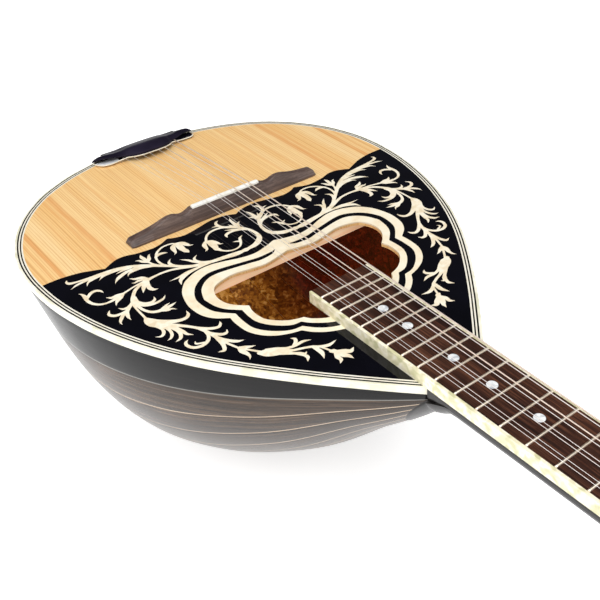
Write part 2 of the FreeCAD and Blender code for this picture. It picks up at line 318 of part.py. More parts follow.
# C-shaped band round the soundhole, closed at the head and open at the tail.
RING_BAND = [
    (53.203, 64.77), (51.729, 64.848), (50, 65), (47.91, 65.274), (45.469, 65.695),
    (42.793, 66.222), (32.09, 68.562), (28.271, 69.359), (23.311, 70.484),
    (21.182, 70.859), (20, 71), (18.716, 71.103), (17.383, 71.164), (14.688, 71.188),
    (11.011, 71.062), (9.136, 70.923), (8.398, 70.82), (7.188, 70.562), (5, 70),
    (5.591, 70.455), (7.188, 71.906), (7.759, 72.371), (8.398, 72.801), (9.136, 73.182),
    (10, 73.5), (11.011, 73.765), (12.148, 73.996), (13.384, 74.19), (14.688, 74.344),
    (16.03, 74.455), (17.383, 74.52), (18.716, 74.536), (20, 74.5), (21.182, 74.404),
    (22.266, 74.246), (23.311, 74.036), (26.797, 73.176), (28.271, 72.842), (40, 70.531),
    (42.793, 70.012), (45.469, 69.559), (47.91, 69.208), (50, 69), (51.742, 68.914),
    (53.25, 68.906), (54.57, 68.977), (55.75, 69.125), (56.836, 69.352), (57.875, 69.656),
    (58.914, 70.039), (60, 70.5), (61.121, 71.056), (62.227, 71.715), (63.309, 72.461),
    (64.356, 73.281), (65.359, 74.16), (66.307, 75.082), (67.191, 76.034), (68, 77),
    (68.743, 78.04), (69.431, 79.191), (70.064, 80.412), (70.638, 81.656), (71.15, 82.881),
    (71.984, 85.097), (72.533, 86.712), (72.678, 87.258), (72.75, 87.69), (72.763, 88.062),
    (72.291, 91.754), (71.981, 93.844), (71.555, 96.012), (71.295, 97.044), (71, 98),
    (70.348, 99.719), (69.594, 101.312), (69.157, 102.092), (68.668, 102.875),
    (68.119, 103.674), (67.5, 104.5), (66.792, 105.351), (65.996, 106.215),
    (65.131, 107.088), (60.5, 111.5), (60.922, 116.922), (61.009, 119.009),
    (60.926, 121.855), (60.781, 123.594), (60.661, 124.441), (60.496, 125.285),
    (60.279, 126.135), (60, 127), (59.657, 127.882), (59.258, 128.773),
    (58.808, 129.669), (58.312, 130.562), (57.211, 132.32), (56, 134),
    (55.339, 134.818), (54.617, 135.641), (53.062, 137.25), (52.265, 138.014),
    (50.716, 139.4), (49.331, 140.534), (48.074, 141.446), (46.868, 142.175),
    (46.262, 142.482), (45, 143), (44.336, 143.198), (43.66, 143.337),
    (42.974, 143.431), (39.5, 143.7), (37.496, 146.336), (36.557, 147.429), (36, 148),
    (34.699, 149.224), (33.219, 150.519), (31.629, 151.804), (30.815, 152.418),
    (27.624, 154.617), (25.962, 155.617), (25.055, 156.094), (24.073, 156.555),
    (23, 157), (21.823, 157.434), (19.212, 158.273), (17.812, 158.669),
    (14.914, 159.393), (12, 160), (10.548, 160.244), (9.07, 160.445), (6.062, 160.756),
    (0, 161.3), (-7.573, 160.612), (-10.548, 160.244), (-12, 160), (-13.45, 159.713),
    (-16.374, 159.043), (-19.212, 158.273), (-21.823, 157.434), (-23, 157),
    (-24.073, 156.555), (-25.055, 156.094), (-25.962, 155.617), (-26.812, 155.125),
    (-28.414, 154.094), (-30.815, 152.418), (-31.629, 151.804), (-33.219, 150.519),
    (-34.699, 149.224), (-36, 148), (-36.557, 147.429), (-37.496, 146.336),
    (-39.5, 143.7), (-42.974, 143.431), (-43.66, 143.337), (-44.336, 143.198),
    (-45, 143), (-46.262, 142.482), (-46.868, 142.175), (-48.074, 141.446),
    (-48.691, 141.015), (-50, 140), (-51.477, 138.734), (-53.062, 137.25),
    (-54.617, 135.641), (-55.339, 134.818), (-56, 134), (-57.211, 132.32),
    (-58.312, 130.562), (-58.808, 129.669), (-59.258, 128.773), (-59.657, 127.882),
    (-60, 127), (-60.279, 126.135), (-60.496, 125.285), (-60.661, 124.441),
    (-60.781, 123.594), (-60.926, 121.855), (-61, 120), (-60.98, 117.98),
    (-60.922, 116.922), (-60.5, 111.5), (-65.131, 107.088), (-65.996, 106.215),
    (-66.792, 105.351), (-67.5, 104.5), (-68.119, 103.674), (-68.668, 102.875),
    (-69.157, 102.092), (-69.594, 101.312), (-69.988, 100.525), (-70.682, 98.881),
    (-71, 98), (-71.295, 97.044), (-71.555, 96.012), (-71.784, 94.934), (-72.15, 92.773),
    (-72.763, 88.062), (-72.75, 87.69), (-72.678, 87.258), (-72.533, 86.712),
    (-71.984, 85.097), (-71.15, 82.881), (-70.638, 81.656), (-70.064, 80.412),
    (-69.431, 79.191), (-68.743, 78.04), (-68, 77), (-67.191, 76.034), (-66.307, 75.082),
    (-65.359, 74.16), (-64.356, 73.281), (-63.309, 72.461), (-62.227, 71.715),
    (-61.121, 71.056), (-60, 70.5), (-58.914, 70.039), (-57.875, 69.656),
    (-56.836, 69.352), (-55.75, 69.125), (-54.57, 68.977), (-53.25, 68.906),
    (-51.742, 68.914), (-50, 69), (-47.91, 69.208), (-45.469, 69.559), (-42.793, 70.012),
    (-40, 70.531), (-28.271, 72.842), (-26.797, 73.176), (-23.311, 74.036),
    (-22.266, 74.246), (-21.182, 74.404), (-20, 74.5), (-18.716, 74.536),
    (-17.383, 74.52), (-16.03, 74.455), (-14.688, 74.344), (-13.384, 74.19),
    (-12.148, 73.996), (-11.011, 73.765), (-10, 73.5), (-9.136, 73.182),
    (-8.398, 72.801), (-7.759, 72.371), (-7.188, 71.906), (-5.591, 70.455), (-5, 70),
    (-7.759, 70.698), (-9.136, 70.923), (-10, 71), (-12.148, 71.117), (-14.688, 71.188),
    (-17.383, 71.164), (-18.716, 71.103), (-20, 71), (-21.182, 70.859),
    (-22.266, 70.688), (-24.375, 70.25), (-28.271, 69.359), (-32.09, 68.562),
    (-42.793, 66.222), (-45.469, 65.695), (-47.91, 65.274), (-50, 65), (-51.729, 64.848),
    (-53.203, 64.77), (-54.482, 64.767), (-55.625, 64.844), (-56.689, 65.002),
    (-57.734, 65.246), (-58.818, 65.578), (-60, 66), (-61.277, 66.529),
    (-62.594, 67.168), (-63.926, 67.903), (-65.25, 68.719), (-66.543, 69.601),
    (-67.781, 70.535), (-68.941, 71.506), (-70, 72.5), (-70.976, 73.554),
    (-71.898, 74.699), (-72.763, 75.909), (-73.562, 77.156), (-74.292, 78.416),
    (-74.945, 79.66), (-75.517, 80.864), (-76, 82), (-76.381, 83.065), (-76.66, 84.082),
    (-76.851, 85.066), (-76.969, 86.031), (-77.028, 86.993), (-77.043, 87.965),
    (-77, 90), (-76.946, 91.098), (-76.848, 92.25), (-76.531, 94.625), (-76.074, 96.938),
    (-75.8, 98.012), (-75.5, 99), (-75.179, 99.887), (-74.836, 100.688),
    (-74.466, 101.426), (-74.062, 102.125), (-73.62, 102.809), (-72.595, 104.223),
    (-71.331, 105.827), (-70.586, 106.68), (-68.938, 108.438), (-65.5, 112),
    (-65.922, 116.854), (-66.009, 118.904), (-65.911, 123.691), (-65.844, 125),
    (-65.734, 126.309), (-65.566, 127.594), (-65.327, 128.832), (-65, 130),
    (-64.58, 131.109), (-64.078, 132.188), (-63.506, 133.234), (-62.875, 134.25),
    (-62.197, 135.234), (-61.484, 136.188), (-60, 138), (-59.21, 138.868),
    (-58.355, 139.718), (-57.456, 140.542), (-56.531, 141.331), (-54.691, 142.779),
    (-53, 144), (-51.531, 144.952), (-50.85, 145.338), (-49.533, 145.972),
    (-48.875, 146.236), (-47.5, 146.7), (-46.774, 146.891), (-46.035, 147.034),
    (-44.531, 147.219), (-41.5, 147.5), (-38.099, 151.709), (-36.711, 153.283),
    (-36, 154), (-35.281, 154.668), (-33.831, 155.896), (-33.094, 156.462),
    (-31.582, 157.52), (-30.801, 158.018), (-29.2, 158.955), (-27.624, 159.769),
    (-26.812, 160.144), (-25.055, 160.865), (-21.823, 161.992), (-19.212, 162.811),
    (-16.374, 163.611), (-13.45, 164.312), (-12, 164.6), (-10.548, 164.836),
    (-9.07, 165.027), (-6.062, 165.312), (0, 165.8), (7.573, 165.182), (10.548, 164.836),
    (12, 164.6), (13.45, 164.312), (14.914, 163.979), (17.812, 163.219),
    (21.823, 161.992), (24.073, 161.227), (25.962, 160.506), (27.624, 159.769),
    (28.414, 159.376), (30, 158.5), (31.582, 157.52), (33.094, 156.462),
    (34.559, 155.298), (36, 154), (36.711, 153.283), (37.41, 152.516), (38.781, 150.875),
    (41.5, 147.5), (45.287, 147.139), (46.774, 146.891), (47.5, 146.7),
    (48.875, 146.236), (50.188, 145.675), (50.85, 145.338), (52.244, 144.508), (53, 144),
    (54.691, 142.779), (56.531, 141.331), (57.456, 140.542), (58.355, 139.718),
    (59.21, 138.868), (60, 138), (61.484, 136.188), (62.197, 135.234), (62.875, 134.25),
    (63.506, 133.234), (64.078, 132.188), (64.58, 131.109), (65, 130),
    (65.327, 128.832), (65.566, 127.594), (65.734, 126.309), (65.844, 125),
    (65.911, 123.691), (66.009, 118.904), (65.98, 117.859), (65.844, 115.875),
    (65.5, 112), (69.782, 107.552), (71.331, 105.827), (72, 105), (73.133, 103.5),
    (74.062, 102.125), (74.466, 101.426), (74.836, 100.688), (75.179, 99.887),
    (75.5, 99), (75.8, 98.012), (76.074, 96.938), (76.319, 95.801), (76.708, 93.434),
    (76.946, 91.098), (77, 90), (77.043, 87.965), (77.028, 86.993), (76.969, 86.031),
    (76.851, 85.066), (76.66, 84.082), (76.381, 83.065), (76, 82), (75.517, 80.864),
    (74.945, 79.66), (74.292, 78.416), (73.562, 77.156), (72.763, 75.909),
    (71.898, 74.699), (70.976, 73.554), (70, 72.5), (68.941, 71.506), (67.781, 70.535),
    (66.543, 69.601), (65.25, 68.719), (63.926, 67.903), (62.594, 67.168),
    (61.277, 66.529), (60, 66), (58.818, 65.578), (57.734, 65.246), (56.689, 65.002),
    (55.625, 64.844), (54.482, 64.767),
]
# Inner edge of the soundhole rings; mirrored, it is the hole in the soundboard.
RING_INNER = [
    (43, 76), (41.546, 76.152), (39.961, 76.402), (38.286, 76.725), (31.509, 78.211),
    (24.812, 79.5), (23.618, 79.701), (22.43, 79.859), (21.229, 79.963), (20, 80),
    (18.75, 79.959), (17.5, 79.848), (16.25, 79.679), (15, 79.469), (6.25, 77.787),
    (0, 76.5), (-6.25, 77.787), (-15, 79.469), (-16.25, 79.679), (-17.5, 79.848),
    (-18.75, 79.959), (-20, 80), (-21.229, 79.963), (-22.43, 79.859), (-23.618, 79.701),
    (-24.812, 79.5), (-31.509, 78.211), (-38.286, 76.725), (-39.961, 76.402),
    (-41.546, 76.152), (-43, 76), (-44.323, 75.944), (-45.555, 75.957),
    (-46.712, 76.031), (-47.812, 76.156), (-48.874, 76.325), (-50.95, 76.755),
    (-53.075, 77.259), (-55.249, 77.847), (-56.312, 78.188), (-57.337, 78.567),
    (-58.305, 78.992), (-59.198, 79.468), (-60, 80), (-60.71, 80.606), (-61.345, 81.289),
    (-61.912, 82.03), (-62.419, 82.812), (-62.874, 83.618), (-63.284, 84.43), (-64, 86),
    (-64.306, 86.75), (-64.564, 87.5), (-64.778, 88.25), (-65.085, 89.75),
    (-65.186, 90.5), (-65.3, 92), (-65.312, 92.757), (-65.229, 94.294),
    (-65.138, 95.062), (-64.869, 96.57), (-64.5, 98), (-64.279, 98.676),
    (-63.753, 99.97), (-63.45, 100.594), (-62.77, 101.809), (-62, 103),
    (-61.568, 103.597), (-60.588, 104.79), (-59, 106.492), (-57.539, 107.947),
    (-57.09, 108.355), (-54.5, 110.5), (-55.547, 113.901), (-55.884, 115.289),
    (-56, 116), (-56.141, 117.465), (-56.176, 118.213), (-56.176, 119.728),
    (-56.082, 121.247), (-55.801, 123.512), (-55.531, 125.031), (-55.348, 125.787),
    (-55.121, 126.535), (-54.841, 127.274), (-54.5, 128), (-54.084, 128.722),
    (-53.598, 129.445), (-53.054, 130.165), (-51.856, 131.569), (-50, 133.5),
    (-48.773, 134.648), (-48.14, 135.189), (-46.86, 136.198), (-45.604, 137.096),
    (-44.417, 137.866), (-43.852, 138.193), (-42.75, 138.756), (-41.648, 139.241),
    (-40.5, 139.7), (-39.285, 140.124), (-35.5, 141.2), (-34.121, 143.56),
    (-33.432, 144.515), (-33, 145), (-32.495, 145.501), (-31.308, 146.551),
    (-29.309, 148.101), (-28, 149), (-26.389, 150.025), (-25.314, 150.592),
    (-24.672, 150.875), (-23, 151.5), (-20.695, 152.262), (-17.938, 153.094),
    (-14.961, 153.879), (-13.464, 154.217), (-12, 154.5), (-10.548, 154.721),
    (-9.07, 154.891), (-7.573, 155.021), (0, 155.5), (7.573, 155.021), (9.07, 154.891),
    (10.548, 154.721), (12, 154.5), (13.464, 154.217), (14.961, 153.879),
    (17.938, 153.094), (19.358, 152.676), (21.919, 151.865), (23.912, 151.174),
    (25.314, 150.592), (25.875, 150.312), (26.891, 149.719), (28.642, 148.57),
    (29.985, 147.601), (31.308, 146.551), (32.495, 145.501), (33, 145),
    (33.432, 144.515), (33.801, 144.036), (34.406, 143.087), (35.5, 141.2),
    (38.662, 140.314), (39.899, 139.921), (42.202, 139.005), (43.298, 138.488),
    (44.417, 137.866), (46.227, 136.662), (47.5, 135.706), (48.773, 134.648),
    (49.396, 134.084), (50.607, 132.888), (51.856, 131.569), (53.054, 130.165),
    (53.598, 129.445), (54.084, 128.722), (54.5, 128), (54.841, 127.274),
    (55.121, 126.535), (55.348, 125.787), (55.531, 125.031), (55.801, 123.512),
    (56.082, 121.247), (56.141, 120.488), (56.188, 118.969), (56.141, 117.465),
    (56, 116), (55.884, 115.289), (55.547, 113.901), (54.5, 110.5), (56.651, 108.735),
    (57.539, 107.947), (59.529, 105.944), (60.588, 104.79), (61.568, 103.597), (62, 103),
    (62.77, 101.809), (63.45, 100.594), (64.03, 99.332), (64.279, 98.676),
    (64.696, 97.298), (65.017, 95.823), (65.229, 94.294), (65.312, 92.757), (65.3, 92),
    (65.186, 90.5), (64.95, 89), (64.564, 87.5), (64.306, 86.75), (64, 86),
    (63.284, 84.43), (62.874, 83.618), (62.419, 82.812), (61.912, 82.03),
    (61.345, 81.289), (60.71, 80.606), (60, 80), (59.198, 79.468), (58.305, 78.992),
    (57.337, 78.567), (56.312, 78.188), (55.249, 77.847), (53.075, 77.259),
    (49.914, 76.527), (47.812, 76.156), (46.712, 76.031), (45.555, 75.957),
    (44.323, 75.944),
]
# Outer edge of the soundhole rings.
RING_OUTER = [
    (55, 57.344), (56.25, 57.424), (57.5, 57.559), (58.75, 57.75), (60, 58),
    (61.284, 58.333), (62.617, 58.754), (63.97, 59.244), (65.312, 59.781),
    (66.616, 60.346), (68.989, 61.476), (70.864, 62.479), (71.602, 62.93),
    (72.241, 63.368), (72.812, 63.812), (73.345, 64.28), (74.409, 65.356),
    (75.639, 66.718), (76.963, 68.317), (78.271, 70.097), (78.891, 71.039),
    (79.471, 72.009), (80, 73), (80.484, 74.036), (80.938, 75.133), (81.359, 76.272),
    (82.109, 78.61), (82.438, 79.773), (83, 82), (83.449, 84.023), (83.781, 85.938),
    (83.896, 86.897), (83.973, 87.883), (84.008, 88.911), (84, 90), (83.871, 92.418),
    (83.594, 95.031), (83.392, 96.345), (83.145, 97.629), (82.848, 98.856), (82.5, 100),
    (82.102, 101.067), (81.656, 102.086), (81.164, 103.062), (80.625, 104),
    (80.039, 104.907), (79.406, 105.789), (78.727, 106.651), (78, 107.5),
    (77.206, 108.322), (76.336, 109.105), (75.407, 109.86), (71.458, 112.76),
    (70.5, 113.5), (70.922, 117.306), (71.009, 119.02), (71, 120), (70.867, 123.582),
    (70.661, 126.243), (70.496, 127.559), (70.279, 128.822), (70, 130),
    (69.657, 131.109), (69.258, 132.188), (68.808, 133.234), (68.312, 134.25),
    (67.778, 135.234), (67.211, 136.188), (66, 138), (65.359, 138.858),
    (64.688, 139.683), (63.984, 140.476), (63.25, 141.237), (62.484, 141.97),
    (61.688, 142.673), (60, 144), (59.094, 144.624), (58.134, 145.221), (57.133, 145.79),
    (55.066, 146.843), (54.026, 147.326), (52, 148.2), (51.023, 148.578),
    (50.054, 148.909), (48.131, 149.469), (44.3, 150.5), (41.81, 153.938),
    (41.265, 154.625), (40.667, 155.312), (40, 156), (38.51, 157.398), (36.856, 158.812),
    (35.024, 160.195), (34.037, 160.86), (33, 161.5), (31.9, 162.121), (30.734, 162.73),
    (28.25, 163.906), (26.955, 164.466), (24.318, 165.516), (21.68, 166.458),
    (18.992, 167.31), (16.242, 168.065), (13.43, 168.717), (12, 169), (10.548, 169.244),
    (9.07, 169.445), (6.062, 169.756), (0, 170.3), (-7.573, 169.612), (-10.548, 169.244),
    (-12, 169), (-13.43, 168.717), (-16.242, 168.065), (-17.625, 167.7),
    (-20.344, 166.895), (-21.68, 166.458), (-24.318, 165.516), (-26.955, 164.466),
    (-29.514, 163.327), (-31.9, 162.121), (-33, 161.5), (-34.037, 160.86),
    (-35.024, 160.195), (-35.963, 159.511), (-37.705, 158.106), (-38.51, 157.398),
    (-40, 156), (-40.667, 155.312), (-41.265, 154.625), (-41.81, 153.938),
    (-44.3, 150.5), (-49.091, 149.202), (-51.023, 148.578), (-52, 148.2),
    (-54.026, 147.326), (-56.106, 146.331), (-58.134, 145.221), (-59.094, 144.624),
    (-60, 144), (-61.688, 142.673), (-62.484, 141.97), (-63.25, 141.237),
    (-63.984, 140.476), (-64.688, 139.683), (-65.359, 138.858), (-66, 138),
    (-67.211, 136.188), (-67.778, 135.234), (-68.312, 134.25), (-68.808, 133.234),
    (-69.258, 132.188), (-69.657, 131.109), (-70, 130), (-70.279, 128.822),
    (-70.496, 127.559), (-70.661, 126.243), (-70.781, 124.906), (-70.926, 122.301),
    (-71.009, 119.02), (-70.98, 118.129), (-70.844, 116.531), (-70.5, 113.5),
    (-71.458, 112.76), (-75.407, 109.86), (-76.336, 109.105), (-77.206, 108.322),
    (-78, 107.5), (-78.727, 106.651), (-79.406, 105.789), (-80.039, 104.907),
    (-80.625, 104), (-81.164, 103.062), (-81.656, 102.086), (-82.102, 101.067),
    (-82.5, 100), (-82.848, 98.856), (-83.145, 97.629), (-83.392, 96.345),
    (-83.594, 95.031), (-83.752, 93.713), (-83.953, 91.171), (-84.008, 88.911),
    (-83.973, 87.883), (-83.896, 86.897), (-83.781, 85.938), (-83.449, 84.023),
    (-82.734, 80.909), (-82.109, 78.61), (-81.359, 76.272), (-80.938, 75.133),
    (-80.484, 74.036), (-80, 73), (-79.471, 72.009), (-78.891, 71.039),
    (-78.271, 70.097), (-77.625, 69.188), (-76.297, 67.492), (-74.409, 65.356),
    (-73.345, 64.28), (-72.812, 63.812), (-72.241, 63.368), (-71.602, 62.93),
    (-70.864, 62.479), (-68.989, 61.476), (-66.616, 60.346), (-65.312, 59.781),
    (-63.97, 59.244), (-62.617, 58.754), (-61.284, 58.333), (-60, 58), (-58.75, 57.75),
    (-57.5, 57.559), (-56.25, 57.424), (-55, 57.344), (-53.75, 57.314), (-52.5, 57.332),
    (-51.25, 57.395), (-50, 57.5), (-48.75, 57.662), (-47.5, 57.891), (-46.25, 58.174),
    (-45, 58.5), (-42.5, 59.234), (-38.75, 60.401), (-32.5, 62.721), (-31.25, 63.137),
    (-30, 63.5), (-27.5, 64.149), (-25, 64.719), (-23.75, 64.949), (-22.5, 65.129),
    (-21.25, 65.249), (-20, 65.3), (-18.75, 65.274), (-17.5, 65.177), (-16.25, 65.019),
    (-15, 64.812), (-12.5, 64.292), (-8.75, 63.377), (-7.5, 63.013), (-5, 62.2),
    (0, 60.5), (6.25, 62.617), (8.75, 63.377), (12.5, 64.292), (15, 64.812),
    (16.25, 65.019), (17.5, 65.177), (18.75, 65.274), (20, 65.3), (21.25, 65.249),
    (22.5, 65.129), (23.75, 64.949), (25, 64.719), (27.5, 64.149), (30, 63.5),
    (31.25, 63.137), (32.5, 62.721), (38.75, 60.401), (43.75, 58.857), (46.25, 58.174),
    (47.5, 57.891), (48.75, 57.662), (50, 57.5), (51.25, 57.395), (52.5, 57.332),
    (53.75, 57.314),
]
